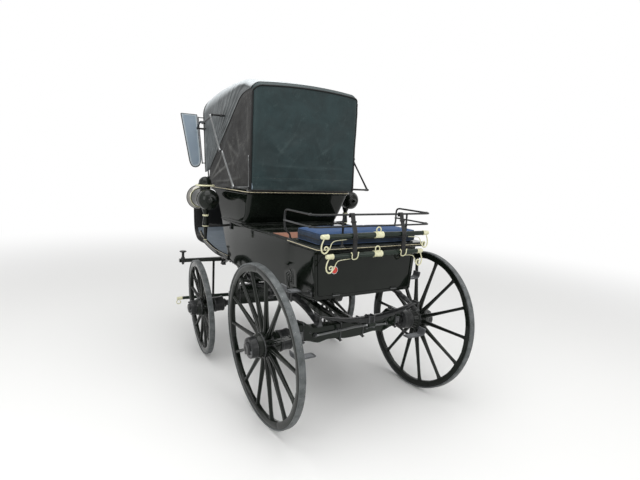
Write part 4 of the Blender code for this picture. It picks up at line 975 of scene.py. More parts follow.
class Workshop:
    """Keeps each pattern once and runs it."""

    patterns: dict[str, Pattern] = {}

    @classmethod
    def pattern(cls, key: str, make: Callable[[], Pattern]) -> Pattern:
        """A pattern, made the first time it is asked for.

        Args:
            key: name that the pattern is kept under.
            make: call that makes it.

        Returns:
            The kept pattern.
        """
        if key not in cls.patterns:
            cls.patterns[key] = make()
        return cls.patterns[key]

    @classmethod
    def round(cls, part: bmesh.types.BMesh, count: int, finish: Finish,
              lead: float = 0.0) -> bmesh.types.BMesh:
        """Repeat a part round the X axis.

        Args:
            part: the part; it is used up.
            count: how many.
            finish: its finish.
            lead: the first one's turn, in radians.

        Returns:
            All of them as one solid.
        """
        bmesh.ops.recalc_face_normals(part, faces=part.faces)
        mesh = bpy.data.meshes.new("part")
        part.to_mesh(mesh)
        part.free()
        return cls.pattern("round",
                           RoundPattern).run(mesh,
                                             {"Count": count, "Lead": lead,
                                              "Finish": finish.material()})

    @classmethod
    def row(cls, bead: Bead, line: Sequence[Spot], facing: Sequence[Spot] | Spot, size: Spot,
            finish: Finish,
            pitch: float = 0.0, along: Spot = (1, 0, 0)) -> bmesh.types.BMesh:
        """Set beads along a line or at its points.

        Args:
            bead: the kind of bead.
            line: the points.
            facing: the way out of the surface, one for all or one for each point.
            size: half sizes along the line, across it and out.
            finish: the beads' finish.
            pitch: their spacing, or 0 to set one at each point.
            along: the beads' direction where they are set at points.

        Returns:
            All of them as one solid.
        """
        mesh = bpy.data.meshes.new("line")
        edges = [(i, i + 1) for i in range(len(line) - 1)] if pitch else []
        mesh.from_pydata([tuple(p) for p in line], edges, [])
        each = facing if hasattr(facing[0], "__len__") else [facing] * len(line)
        for label, rows in (("facing", each), ("along", [along] * len(line))):
            stored = mesh.attributes.new(label, "FLOAT_VECTOR", "POINT")
            stored.data.foreach_set("vector", np.array([tuple(v) for v in rows], np.float32).ravel())
        tree = cls.pattern(f"{bead.value} {bool(pitch)}", lambda: RunPattern(bead, bool(pitch)))
        values = {"Size": tuple(size), "Finish": finish.material()}
        if pitch:
            values["Pitch"] = pitch
        return tree.run(mesh, values)


class Piece:
    """One visible piece: parts with their finishes, joined into one mesh at its place."""

    def __init__(self, name: str, body: str, matrix: Matrix = CHASSIS) -> None:
        """Start a piece.

        Args:
            name: the piece's name.
            body: the body it rides on.
            matrix: the place of its own coordinates in the frame.
        """
        self.name, self.body, self.matrix = name, body, matrix
        self.solid = bmesh.new()
        self.finishes: list[Finish] = []

    def add(self, part: bmesh.types.BMesh, finish: Finish, place: Matrix | None = None,
            tidy: bool = True) -> "Piece":
        """Join a part on.

        Args:
            part: the part; it is used up.
            finish: its finish.
            place: where it goes in the piece's own coordinates.
            tidy: whether its faces are turned outwards first.

        Returns:
            The piece.
        """
        if finish not in self.finishes:
            self.finishes.append(finish)
        if place is not None:
            bmesh.ops.transform(part, matrix=place, verts=part.verts)
        if tidy:
            bmesh.ops.recalc_face_normals(part, faces=part.faces)
        index = self.finishes.index(finish)
        for face in part.faces:
            face.material_index = index
        mesh = bpy.data.meshes.new("part")
        part.to_mesh(mesh)
        part.free()
        self.solid.from_mesh(mesh)
        bpy.data.meshes.remove(mesh)
        return self

    def done(self, *nodes: str, angle: float = 38.0) -> bpy.types.Object:
        """Make the object, let it ride and stand for its CAD nodes.

        Args:
            nodes: the CAD nodes that it stands for.
            angle: edges sharper than this, in degrees, are shaded sharp.

        Returns:
            The object.
        """
        mesh = bpy.data.meshes.new(self.name)
        bmesh.ops.transform(self.solid, matrix=self.matrix, verts=self.solid.verts)
        self.solid.to_mesh(mesh)
        self.solid.free()
        for finish in self.finishes:
            mesh.materials.append(finish.material())
        mesh.shade_smooth()
        mesh.set_sharp_from_angle(angle=math.radians(angle))
        made = bpy.data.objects.new(self.name, mesh)
        bpy.context.scene.collection.objects.link(made)
        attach(made, self.body)
        if nodes:
            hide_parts(*nodes)
        LOG.info("%s: %d faces on %s", self.name, len(mesh.polygons), self.body)
        return made


# Running gear

@dataclass
class Wheel:
    """A wheel: mail box, felloes, spokes and iron tyre, in its own frame with X along the axle."""

    end: str
    side: int
    radius: float
    spokes: int
    height: float
    half_track: float
    scale: float
    base: Matrix
    tyre_wide: float = 0.046
    tyre_thick: float = 0.012
    felloe_wide: float = 0.041
    felloe_deep: float = 0.048
    dish: float = 0.030

    @property
    def label(self) -> str:
        """Left or right."""
        return "left" if self.side > 0 else "right"

    def build(self) -> None:
        """Make the wood and the tyre."""
        turn = Matrix.Rotation(0.0 if self.side > 0 else math.pi, 4, "Z")
        place = self.base @ Matrix.Translation((self.side * self.half_track, 0, self.height)) @ turn
        place = place @ Matrix.Rotation(CAMBER, 4, "Y")
        body = f"{self.end}_{self.label}_wheel"
        wood = Piece(f"{self.end}_wheel_{self.label}_wood", body, place)
        pairs = self.spokes // 2
        lead = math.pi / self.spokes * 2
        wood.add(Workshop.round(self.felloe(pairs), pairs, COACH, lead), COACH)
        wood.add(Workshop.round(self.spoke(), self.spokes, COACH, math.pi / self.spokes), COACH)
        self.add_nave(wood)
        wood.done(f"{self.end}_wheel_{self.label}")
        tyre = Piece(f"{self.end}_tyre_{self.label}_iron", body, place)
        section = [(a, b + self.radius - self.tyre_thick / 2)
                   for a, b in rounded(self.tyre_wide, self.tyre_thick, 0.0045, 4)]
        tyre.add(turned(section, "x", sides=144, loop=True), TYRE)
        tyre.add(Workshop.round(self.tyre_bolt(), self.spokes, TYRE, 0.0), TYRE)
        tyre.done(f"{self.end}_tyre_{self.label}")

    def felloe(self, count: int) -> bmesh.types.BMesh:
        """One felloe: an arc whose inner corners are taken off between the spokes.

        Args:
            count: how many felloes make the rim.

        Returns:
            The felloe that stands at the top of the wheel.
        """
        outer = self.radius - self.tyre_thick - 0.0003
        half = math.pi / count - 0.0011 / outer
        rings = []
        steps = 22
        for k in range(steps + 1):
            angle = half * (2 * k / steps - 1)
            off = abs(math.cos(angle * count)) if abs(angle) < math.pi / count else 0.0
            cut = 0.005 + 0.008 * off
            deep = self.felloe_deep
            if k in (0, steps):
                deep -= 0.0012
            w = self.felloe_wide / 2 - (0.0012 if k in (0, steps) else 0.0)
            low = outer - deep
            shape = [(-w + 0.002, outer), (-w, outer - 0.003), (-w, low + cut),
                     (-w + cut * 0.35, low + cut * 0.30),
                     (-w + cut, low), (0.0, low - 0.0012), (w - cut, low),
                     (w - cut * 0.35, low + cut * 0.30),
                     (w, low + cut), (w, outer - 0.003), (w - 0.002, outer), (0.0, outer)]
            rings.append([(x, -r * math.sin(angle), r * math.cos(angle)) for x, r in shape])
        return loft(rings)

    def spoke(self) -> bmesh.types.BMesh:
        """One spoke: square at the nave, an oval blade, swelling into the felloe.

        Returns:
            The spoke that stands upright.
        """
        root, tip = 0.060 * self.scale, self.radius - self.tyre_thick - self.felloe_deep + 0.014
        stations = [(0.0, 0.0150, 0.0210, 0.35), (0.035, 0.0158, 0.0218, 0.35),
                    (0.085, 0.0168, 0.0225, 0.5),
                    (0.18, 0.0160, 0.0212, 0.8), (0.34, 0.0142, 0.0184, 1.0),
                    (0.60, 0.0124, 0.0152, 1.0),
                    (0.84, 0.0120, 0.0140, 1.0), (0.925, 0.0128, 0.0150, 0.9),
                    (0.965, 0.0150, 0.0168, 0.7),
                    (1.0, 0.0150, 0.0168, 0.6)]
        rings = []
        for share, wide, deep, power in stations:
            reach = root + (tip - root) * share
            ring = []
            for k in range(16):
                t = math.tau * (k + 0.5) / 16
                c, s = math.cos(t), math.sin(t)
                ring.append((-self.dish * (1 - share) + deep * math.copysign(abs(s) ** power, s),
                             wide * math.copysign(abs(c) ** power, c), reach))
            rings.append(ring)
        return loft(rings)

    def add_nave(self, piece: Piece) -> None:
        """The turned nave, its iron bands, mail plate with three nuts, and the cap on the arm.

        Args:
            piece: the wheel that takes the parts.
        """
        s = self.scale
        wood = [(0.048, 0.0500 * s), (0.048, 0.0750 * s), (0.040, 0.0785 * s), (0.028, 0.0830 * s),
                (0.012, 0.0865 * s),
                (-0.064, 0.0865 * s), (-0.072, 0.080 * s), (-0.080, 0.079 * s), (-0.116, 0.0700 * s),
                (-0.119, 0.030)]
        piece.add(turned([(0.048, 0.030)] + wood, "x", sides=48, loop=True), COACH)
        iron = [
            [(0.100, 0.030), (0.100, 0.068 * s), (0.097, 0.0715 * s), (0.058, 0.0755 * s),
             (0.052, 0.0745 * s), (0.046, 0.030)],
            [(-0.060, 0.050), (-0.060, 0.0875 * s), (-0.056, 0.0890 * s), (-0.046, 0.0890 * s),
             (-0.042, 0.0875 * s), (-0.042, 0.050)],
            [(0.004, 0.050), (0.004, 0.0875 * s), (0.007, 0.0888 * s), (0.012, 0.0875 * s),
             (0.013, 0.050)],
            [(-0.121, 0.0272), (-0.121, 0.074 * s), (-0.124, 0.0765 * s), (-0.134, 0.0765 * s),
             (-0.137, 0.074 * s),
             (-0.150, 0.0725 * s), (-0.190, 0.0725 * s), (-0.194, 0.0760 * s), (-0.206, 0.0760 * s),
             (-0.2095, 0.073 * s),
             (-0.2095, 0.0272)],
        ]
        for loop_points in iron:
            piece.add(turned(loop_points, "x", sides=48, loop=True), IRON)
        cap = soft_profile([(0.086, 0.0), (0.086, 0.040 * s), (0.101, 0.0465 * s), (0.112, 0.0455 * s),
                            (0.118, 0.038 * s),
                            (0.118, 0.019), (0.1145, 0.016), (0.1145, 0.0)], 0.002)
        piece.add(turned(cap, "x", sides=40), IRON)
        nut = turned(soft_profile([(0.098, 0.0), (0.098, 0.0088), (0.1085, 0.0088), (0.111, 0.006),
                                   (0.111, 0.0)], 0.001),
                     "x", (0, 0, 0.0580 * s), 6)
        piece.add(Workshop.round(nut, 3, IRON, 0.4), IRON)
        back = turned(soft_profile([(-0.207, 0.0), (-0.207, 0.0085), (-0.2165, 0.0085),
                                    (-0.2190, 0.006), (-0.2190, 0.0)],
                                   0.001), "x", (0, 0, 0.0520 * s), 6)
        piece.add(Workshop.round(back, 3, IRON, 0.4), IRON)

    def tyre_bolt(self) -> bmesh.types.BMesh:
        """The flush head of a tyre bolt, with its nut inside the felloe."""
        return turned([(-0.0, 0.0), (0.0, 0.0060), (0.0009, 0.0052), (0.0011, 0.0)], "z",
                      (0, 0, self.radius - 0.0009), 14)


@dataclass
class Axle:
    """An iron axle: square bar, collars and arms that lean down outwards."""

    end: str
    body: str
    half_track: float
    height: float
    base: Matrix
    bar: float = 0.044
    inner: float = -0.210

    @property
    def bar_z(self) -> float:
        """Height of the bar's middle."""
        lean = Vector((math.cos(CAMBER), 0.0, -math.sin(CAMBER)))
        return (Vector((self.half_track, 0, self.height)) + lean * (self.inner - 0.026)).z

    def build(self) -> None:
        """Make the axle."""
        piece = Piece(f"{self.end}_axle_iron", self.body, self.base)
        lean = Vector((math.cos(CAMBER), 0.0, -math.sin(CAMBER)))
        centre = Vector((self.half_track, 0.0, self.height))
        shoulder = centre + lean * (self.inner - 0.026)
        half = self.bar / 2
        piece.add(block((-shoulder.x, -half, self.bar_z - half), (shoulder.x, half, self.bar_z + half),
                        0.005, 3), IRON)
        for side in (1, -1):
            spin = Matrix.Rotation(0.0 if side > 0 else math.pi, 4, "Z")
            place = Matrix.Translation((side * self.half_track, 0,
                                        self.height)) @ spin @ Matrix.Rotation(CAMBER, 4, "Y")
            arm = [(self.inner - 0.034, 0.0), (self.inner - 0.034, 0.026), (self.inner - 0.028, 0.034),
                   (self.inner - 0.024, 0.040), (self.inner - 0.0125, 0.040),
                   (self.inner - 0.0105, 0.0375),
                   (self.inner - 0.0035, 0.0375), (self.inner - 0.0015, 0.035),
                   (self.inner - 0.0015, 0.0254),
                   (0.082, 0.0254), (0.084, 0.022), (0.084, 0.0)]
            piece.add(turned(soft_profile(arm, 0.0012), "x", sides=32), IRON, place)
        piece.done(f"{self.end}_axle")


def u_clip(x: float, y: float, low: float, high: float, half: float, lie: str = "x",
           wire: float = 0.0052) -> list[bmesh.types.BMesh]:
    """A U-shaped clip round a bed or a spring, with its plate and nuts below.

    Args:
        x: its place.
        y: its place.
        low: height of the plate's underside.
        high: height of the bow's underside.
        half: half its opening.
        lie: the axis along which it opens.
        wire: half its thickness.

    Returns:
        The parts.
    """
    def spot(a: float, z: float) -> Spot:
        """A point of the clip at a distance across and a height."""
        return (x + a, y, z) if lie == "x" else (x, y + a, z)
    bow = [spot(-half, low - 0.014), spot(-half, high - 0.004), spot(-half + 0.004, high + wire),
           spot(half - 0.004, high + wire),
           spot(half, high - 0.004), spot(half, low - 0.014)]
    path = [Vector(bow[0])] + curve(bow[1:5], 3) + [Vector(bow[5])]
    wide = (half + wire * 2.4, 0.011) if lie == "x" else (0.011, half + wire * 2.4)
    parts = [tube(path, wire, 8),
             block((x - wide[0], y - wide[1], low - 0.005), (x + wide[0], y + wide[1], low), 0.001)]
    for a in (-half, half):
        at = spot(a, low - 0.005)
        parts.append(turned(soft_profile([(0.0, 0.0), (0.0, 0.0085), (-0.0075, 0.0085), (-0.009, 0.0)],
                                         0.0008), "z", at, 6))
    return parts


@dataclass
class Bed:
    """A wooden bed over an axle: an outline seen from behind, with a groove for the bar."""

    piece: Piece
    half_deep: float
    bar_z: float

    def wood(self, half_outline: Sequence[tuple[float, float]], edge: float = 0.007) -> None:
        """Draw out the bed from half its outline, chamfered, as two cheeks and a top over the bar."""
        outline = [*half_outline, *[(-x, z) for x, z in reversed(half_outline) if x > 1e-6]]
        self.piece.add(drawn(outline, "y", -self.half_deep, self.half_deep, edge), GEAR_BLACK_GRASS_REFLECTION)

    def studs(self, places: Sequence[tuple[float, float]], y: float, size: float = 0.0075) -> None:
        """Bolt heads on a face of the bed, on both sides of the middle.

        Args:
            places: pairs of (x, z) on the left side.
            y: the face that they stand on.
            size: radius of a head.
        """
        points = [(s * x, y, z) for x, z in places for s in (1, -1)]
        facing = (0, 1 if y > 0 else -1, 0)
        self.piece.add(Workshop.row(Bead.STUD, points, facing, (size, size, size * 0.5), IRON),
                       IRON, tidy=False)


@dataclass
class Spring:
    """A leaf spring of separate leaves, its middle at the origin."""

    half: float
    rise: float
    axis: str
    down: bool = False
    wide: float = 0.045
    thick: float = 0.008
    leaves: int = 4

    def parts(self) -> list[bmesh.types.BMesh]:
        """The leaves, with spear points, and the clamp with its clips.

        Returns:
            The closed parts, about the middle of the main leaf.
        """
        made = []
        sign = -1.0 if self.down else 1.0
        for leaf in range(self.leaves):
            reach = self.half * (1 - leaf / self.leaves) + (0.0 if leaf == 0 else 0.012)
            count = 28
            path = []
            for k in range(count + 1):
                a = reach * (2 * k / count - 1)
                drop = self.thick * (leaf + 0.5) - 0.0004
                z = sign * (self.rise * (a / self.half) ** 2 - drop)
                path.append((a, 0, z) if self.axis == "x" else (0, a, z))
            rings = []
            for k, point in enumerate(path):
                gap = min(k, count - k) / count * 2 * reach
                taper = 1.0 if leaf == 0 else min(1.0, 0.45 + gap / 0.045)
                thin = (self.thick - 0.0008) * (1.0 if leaf == 0 else min(1.0, 0.55 + gap / 0.05))
                section = rounded(self.wide * taper, thin, 0.0016, 2)
                before, after = Vector(path[max(k - 1, 0)]), Vector(path[min(k + 1, count)])
                ahead = (after - before).normalized()
                side = Vector((0, 1, 0)) if self.axis == "x" else Vector((1, 0, 0))
                up = side.cross(ahead)
                rings.append([Vector(point) + side * a + up * b for a, b in section])
            made.append(loft(rings))
        low, high = -self.thick * self.leaves - 0.007, 0.004
        if self.down:
            low, high = -high, -low
        reach = (0.033, self.wide / 2 + 0.004)
        for a, b in (((low - 0.001, low + 0.006), 0), ((high, high + 0.006), 1)):
            x, y = reach if self.axis == "x" else reach[::-1]
            made.append(block((-x, -y, a[0]), (x, y, a[1]), 0.0015))
        for a in (-0.021, 0.021):
            at = (a, 0.0) if self.axis == "x" else (0.0, a)
            made += u_clip(*at, low - 0.001, high + 0.005, self.wide / 2 + 0.0015,
                           "y" if self.axis == "x" else "x", 0.0042)
        return made

    def eye(self, side: int, radius: float) -> list[bmesh.types.BMesh]:
        """The rolled eye at an end, with the bolt through it.

        Args:
            side: 1 or -1 along the spring's axis.
            radius: radius of the eye.

        Returns:
            The eye's closed parts.
        """
        sign = -1.0 if self.down else 1.0
        z = sign * (self.rise - self.thick / 2)
        half = self.wide / 2
        other = "y" if self.axis == "x" else "x"
        at = (side * self.half, 0, z) if self.axis == "x" else (0, side * self.half, z)
        ring = drum(-half, half, radius)
        return [turned(soft_profile(ring, 0.0015), other, at, 20)]


@dataclass
class SpringSet:
    """Two cross springs below and two side springs above, joined by shackles: a telegraph set."""

    end: str
    x: float
    back_y: float
    front_y: float
    body_z: float
    cross_rise: float = 0.062
    side_rise: float = 0.086
    shackle: float = 0.030

    @property
    def cross_z(self) -> float:
        """Height of the cross springs' middles."""
        return self.body_z - self.side_rise + self.shackle - self.cross_rise - 0.010

    def build(self) -> None:
        """Make the four springs."""
        for label, y in (("back", self.back_y), ("front", self.front_y)):
            piece = Piece(f"{self.end}_cross_spring_{label}_leaves", "carriage",
                          CHASSIS @ Matrix.Translation((0, y, self.cross_z)))
            spring = Spring(self.x, self.cross_rise, "x")
            for part in spring.parts():
                piece.add(part, IRON)
            for side in (1, -1):
                for part in spring.eye(side, 0.0125):
                    piece.add(part, IRON)
            piece.done(f"{self.end}_cross_spring_{label}")
        middle, half = (self.back_y + self.front_y) / 2, (self.back_y - self.front_y) / 2
        top = self.body_z - 0.040 - 0.0003
        eye_z = self.cross_z + self.cross_rise - 0.004 - top
        for side, label in ((1, "left"), (-1, "right")):
            piece = Piece(f"{self.end}_side_spring_{label}_leaves", "carriage",
                          CHASSIS @ Matrix.Translation((side * self.x, middle, top)))
            spring = Spring(half, self.side_rise, "y", True)
            for part in spring.parts():
                piece.add(part, IRON)
            for way in (1, -1):
                for part in self.shackle_parts(way * half, eye_z, spring):
                    piece.add(part, IRON)
            piece.done(f"{self.end}_side_spring_{label}")

    def shackle_parts(self, y: float, eye_z: float, spring: Spring) -> list[bmesh.types.BMesh]:
        """The block under a side spring's end, two cheeks up to the cross spring's eye, and bolts.

        Args:
            y: where the cross spring lies.
            eye_z: height of the cross spring's eye.
            spring: the side spring that it carries.

        Returns:
            The closed parts of one shackle.
        """
        low = -spring.rise
        half = spring.wide / 2
        parts = [block((-0.019, y - half - 0.007, low - 0.009),
                       (0.019, y + half + 0.007, low + 0.003), 0.003),
                 turned(soft_profile(drum(y - half - 0.012, y + half + 0.012, 0.0070), 0.001), "y",
                        (0, 0, eye_z), 12)]
        for cheek in (-1, 1):
            at = y + cheek * (half + 0.0045)
            path = [(0, at, low + 0.001), (0, at, (low + eye_z) / 2), (0, at, eye_z)]
            parts.append(bar(path, (1, 0, 0), 0.022, 0.0060, 0.0015, [1.35, 0.80, 1.0]))
            parts.append(turned(soft_profile(drum(-0.0032, 0.0032, 0.0135), 0.001), "y",
                                (0, at, eye_z), 20))
            parts.append(turned(soft_profile([(0.0, 0.0), (0.0, 0.0095), (0.0065, 0.0095),
                                              (0.0085, 0.0)], 0.001), "y",
                                (0, at + cheek * 0.003 - (0.0085 if cheek < 0 else 0.0), eye_z), 6))
        return parts


# Studio

@dataclass
class Studio:
    """Pale floor, white surroundings, soft lamps and the camera of the photograph."""

    lens: float = 26.793
    sensor: float = 36.0
    eye: Spot = (2.0979, 3.6576, 1.8189)
    yaw: float = 0.5656
    pitch: float = 0.1568
    roll: float = 0.0516
    world_light: float = 0.62

    def build(self) -> None:
        """Put up floor, lamps, world and camera."""
        self.add_floor()
        self.add_world()
        self.add_lamp("sky_panel", (0.6, 0.8, 6.0), (0.0, 0.0, 0.8), 6.0, 210.0)
        self.add_lamp("side_panel", (5.5, 2.5, 3.2), (0.0, 0.2, 1.1), 3.5, 95.0)
        self.add_lamp("back_panel", (-2.5, 6.5, 3.4), (0.0, 0.2, 1.1), 3.5, 80.0)
        self.add_camera()
        bpy.context.scene.view_settings.view_transform = "Standard"

    def add_floor(self) -> None:
        """A pale floor that keeps the shadow and fades to white far off."""
        recipe = Recipe("studio_floor")
        r = recipe
        reach = r.out(r.node("ShaderNodeVectorMath", {"operation": "LENGTH"}, {0: r.place}), "Value")
        far = r.window(reach, 3.0, 9.0)
        r.set(Base_Color=(0.86, 0.86, 0.85), Roughness=0.9, Specular_IOR_Level=0.1)
        glow = r.node("ShaderNodeEmission", None, {"Color": (1.0, 1.0, 1.0), "Strength": 1.0})
        mixed = r.node("ShaderNodeMixShader", None, {0: far, 1: r.out(r.shader), 2: r.out(glow)})
        r.tree.links.new(mixed.outputs[0], r.tree.nodes["Material Output"].inputs["Surface"])
        solid = bmesh.new()
        bmesh.ops.create_grid(solid, x_segments=2, y_segments=2, size=30.0)
        mesh = bpy.data.meshes.new("floor")
        solid.to_mesh(mesh)
        solid.free()
        mesh.materials.append(recipe.material)
        floor = bpy.data.objects.new("floor", mesh)
        bpy.context.scene.collection.objects.link(floor)

    def add_world(self) -> None:
        """White where the camera, metal and glass look, plainer where it lights."""
        world = bpy.data.worlds.new("studio_world")
        world.use_nodes = True
        bpy.context.scene.world = world
        graph = Graph(world.node_tree)
        path = graph.node("ShaderNodeLightPath")
        camera, glossy, through = (graph.out(path, f"Is {ray} Ray")
                                   for ray in ("Camera", "Glossy", "Transmission"))
        seen = camera + glossy + through
        seen = graph.sum_of("MINIMUM", seen, 1.0)
        sky = world.node_tree.nodes["Background"]
        graph.feed(sky.inputs["Color"], (1.0, 1.0, 1.0))
        graph.feed(sky.inputs["Strength"], seen * (1.0 - self.world_light) + self.world_light)

    def add_lamp(self, name: str, place: Spot, target: Spot, size: float, power: float) -> None:
        """One soft square lamp that looks at a target.

        Args:
            name: name of the lamp.
            place: where it hangs.
            target: what it looks at.
            size: side of the square, in metres.
            power: power in watts.
        """
        data = bpy.data.lights.new(name, "AREA")
        data.shape = "SQUARE"
        data.size = size
        data.energy = power
        lamp = bpy.data.objects.new(name, data)
        lamp.location = place
        lamp.rotation_mode = "QUATERNION"
        lamp.rotation_quaternion = (Vector(target) - Vector(place)).to_track_quat("-Z", "Y")
        bpy.context.scene.collection.objects.link(lamp)

    def add_camera(self) -> None:
        """The camera, where the photograph's was."""
        data = bpy.data.cameras.new("camera")
        data.lens, data.sensor_width, data.sensor_fit = self.lens, self.sensor, "HORIZONTAL"
        camera = bpy.data.objects.new("camera", data)
        look = Vector((-math.sin(self.yaw) * math.cos(self.pitch),
                       -math.cos(self.yaw) * math.cos(self.pitch),
                       -math.sin(self.pitch)))
        level = look.cross(Vector((0, 0, 1))).normalized()
        above = level.cross(look)
        right = level * math.cos(self.roll) + above * math.sin(self.roll)
        up = above * math.cos(self.roll) - level * math.sin(self.roll)
        turn = Matrix((right, up, -look)).transposed().to_4x4()
        camera.matrix_world = Matrix.Translation(self.eye) @ turn
        bpy.context.scene.collection.objects.link(camera)
        bpy.context.scene.camera = camera


# Hood

HOOD_PIN = Vector((0.0, -1.570, 1.640))
BELT_Z = 1.570


@dataclass(frozen=True)
class Bow:
    """One hoop of the hood: its angle over the level, reach, half width, corner, foot and crown."""

    name: str
    angle: float
    reach: float
    half: float
    corner: float
    foot: float
    crown: float


BOWS = (Bow("rear", 43.5, 1.152, 0.488, 0.070, 0.549, 0.026),
        Bow("main", 62.0, 0.975, 0.511, 0.125, 0.560, 0.020),
        Bow("third", 81.0, 0.908, 0.524, 0.190, 0.571, 0.052),
        Bow("front", 108.0, 0.872, 0.548, 0.230, 0.582, 0.045))
BOW_HOLD = 1.1
STUDS = {"main": 0.633, "front": 0.482}
LAYERS = {"front_link": 0.649, "rear_link": 0.666, "upper_prop": 0.683}
PROP_FOOT = (-0.740, 1.606)
PROP_KNUCKLE = (-1.010, 1.8885)
STAY_KNUCKLE = (-1.530, 2.140)


def about_pin(reach: float, degrees: float, x: float = 0.0) -> Vector:
    """A place at a distance and an angle from the hood pin."""
    angle = math.radians(degrees)
    return HOOD_PIN + Vector((x, reach * math.cos(angle), reach * math.sin(angle)))


def bow_size(angle: float, key: str) -> float:
    """A bow size at any angle between the bows: the rear bow's holds a little past it."""
    angles = [bow.angle + (BOW_HOLD if bow is BOWS[0] else 0.0) for bow in BOWS]
    return float(np.interp(angle, angles, [getattr(bow, key) for bow in BOWS]))


def ripple(u: np.ndarray, v: np.ndarray, seed: int, coarse: float = 4.0, waves: int = 14) -> np.ndarray:
    """Smooth uneven height from a few crossed waves.

    Args:
        u: first coordinate, in metres.
        v: second coordinate.
        seed: picks the waves.
        coarse: the longest waves in a metre.
        waves: how many.

    Returns:
        Heights of about -1 to 1.
    """
    rng = np.random.default_rng(seed)
    total = np.zeros_like(u)
    for _ in range(waves):
        angle = rng.uniform(0, math.tau)
        pitch = coarse * rng.uniform(0.5, 2.6)
        phase = rng.uniform(0, math.tau)
        bend = 0.06 * np.sin(math.tau * 1.7 * (v * math.cos(angle) - u * math.sin(angle)) + phase)
        total += np.sin(math.tau * pitch * (u * math.cos(angle) + v * math.sin(angle) + bend)
                        + phase) / math.sqrt(pitch)
    return total / math.sqrt(waves) * math.sqrt(coarse)


@dataclass(frozen=True)
class Crease:
    """A fold line in a leather sheet, between two points of its flat."""

    start: tuple[float, float]
    end: tuple[float, float]
    wide: float
    deep: float
    bow: float = 0.0

    def over(self, u: np.ndarray, v: np.ndarray) -> np.ndarray:
        """The fold's height at each point, fading towards its ends.

        Args:
            u: place of each point along the sheet.
            v: place of each point across it.

        Returns:
            Height of the fold at each point, in metres.
        """
        ax, ay = self.start
        dx, dy = self.end[0] - ax, self.end[1] - ay
        long = math.hypot(dx, dy)
        share = np.clip(((u - ax) * dx + (v - ay) * dy) / long ** 2, 0, 1)
        off = ((u - ax) * -dy + (v - ay) * dx) / long - self.bow * np.sin(math.pi * share)
        past = np.hypot(u - ax - dx * share, v - ay - dy * share)
        reach = np.where((share > 0) & (share < 1), np.abs(off), past)
        fade = np.sin(math.pi * np.clip(share, 0.02, 0.98)) ** 0.5
        return self.deep * np.exp(-(reach / self.wide) ** 1.5) * fade


@dataclass
class Skin:
    """A leather sheet as a grid of points, sculpted and given a lining."""

    points: np.ndarray
    u: np.ndarray
    v: np.ndarray
    thick: float = 0.005

    def normals(self) -> np.ndarray:
        """The way out of the sheet at each point.

        Returns:
            A unit vector for each row and column.
        """
        du = np.gradient(self.points, axis=1)
        dv = np.gradient(self.points, axis=0)
        n = np.cross(dv, du)
        n /= np.linalg.norm(n, axis=2, keepdims=True) + 1e-12
        middle = self.points.mean(axis=(0, 1)) - np.array((0, 0, 0.15))
        return n if ((self.points - middle) * n).sum() > 0 else -n

    def raise_by(self, height: np.ndarray) -> None:
        """Move each point out by a height."""
        self.points = self.points + self.normals() * height[..., None]

    def solid(self) -> bmesh.types.BMesh:
        """The sheet with its lining as one closed thin solid: outer faces are marked 0, the lining 1.

        Returns:
            The closed sheet.
        """
        inner = self.points - self.normals() * self.thick
        made = bmesh.new()
        skins = [[[made.verts.new(p) for p in row] for row in grid] for grid in (self.points, inner)]
        rows, columns = self.points.shape[:2]
        for index, skin in enumerate(skins):
            for j in range(rows - 1):
                for i in range(columns - 1):
                    face = made.faces.new((skin[j][i], skin[j][i + 1], skin[j + 1][i + 1],
                                           skin[j + 1][i]))
                    face.material_index = index
        edge = [(0, i) for i in range(columns - 1)] + [(j, columns - 1) for j in range(rows - 1)]
        edge += [(rows - 1, i) for i in range(columns - 1, 0,
                                              -1)] + [(j, 0) for j in range(rows - 1, 0, -1)]
        for k, (j, i) in enumerate(edge):
            jn, i_n = edge[(k + 1) % len(edge)]
            made.faces.new((skins[0][jn][i_n], skins[0][j][i], skins[1][j][i], skins[1][jn][i_n]))
        bmesh.ops.recalc_face_normals(made, faces=made.faces)
        return made

    def area(self) -> float:
        """Area of the outer side, in square metres.

        Returns:
            The area in square metres.
        """
        a = self.points[1:, 1:] - self.points[:-1, :-1]
        b = self.points[1:, :-1] - self.points[:-1, 1:]
        return float(np.linalg.norm(np.cross(a, b), axis=2).sum() / 2)


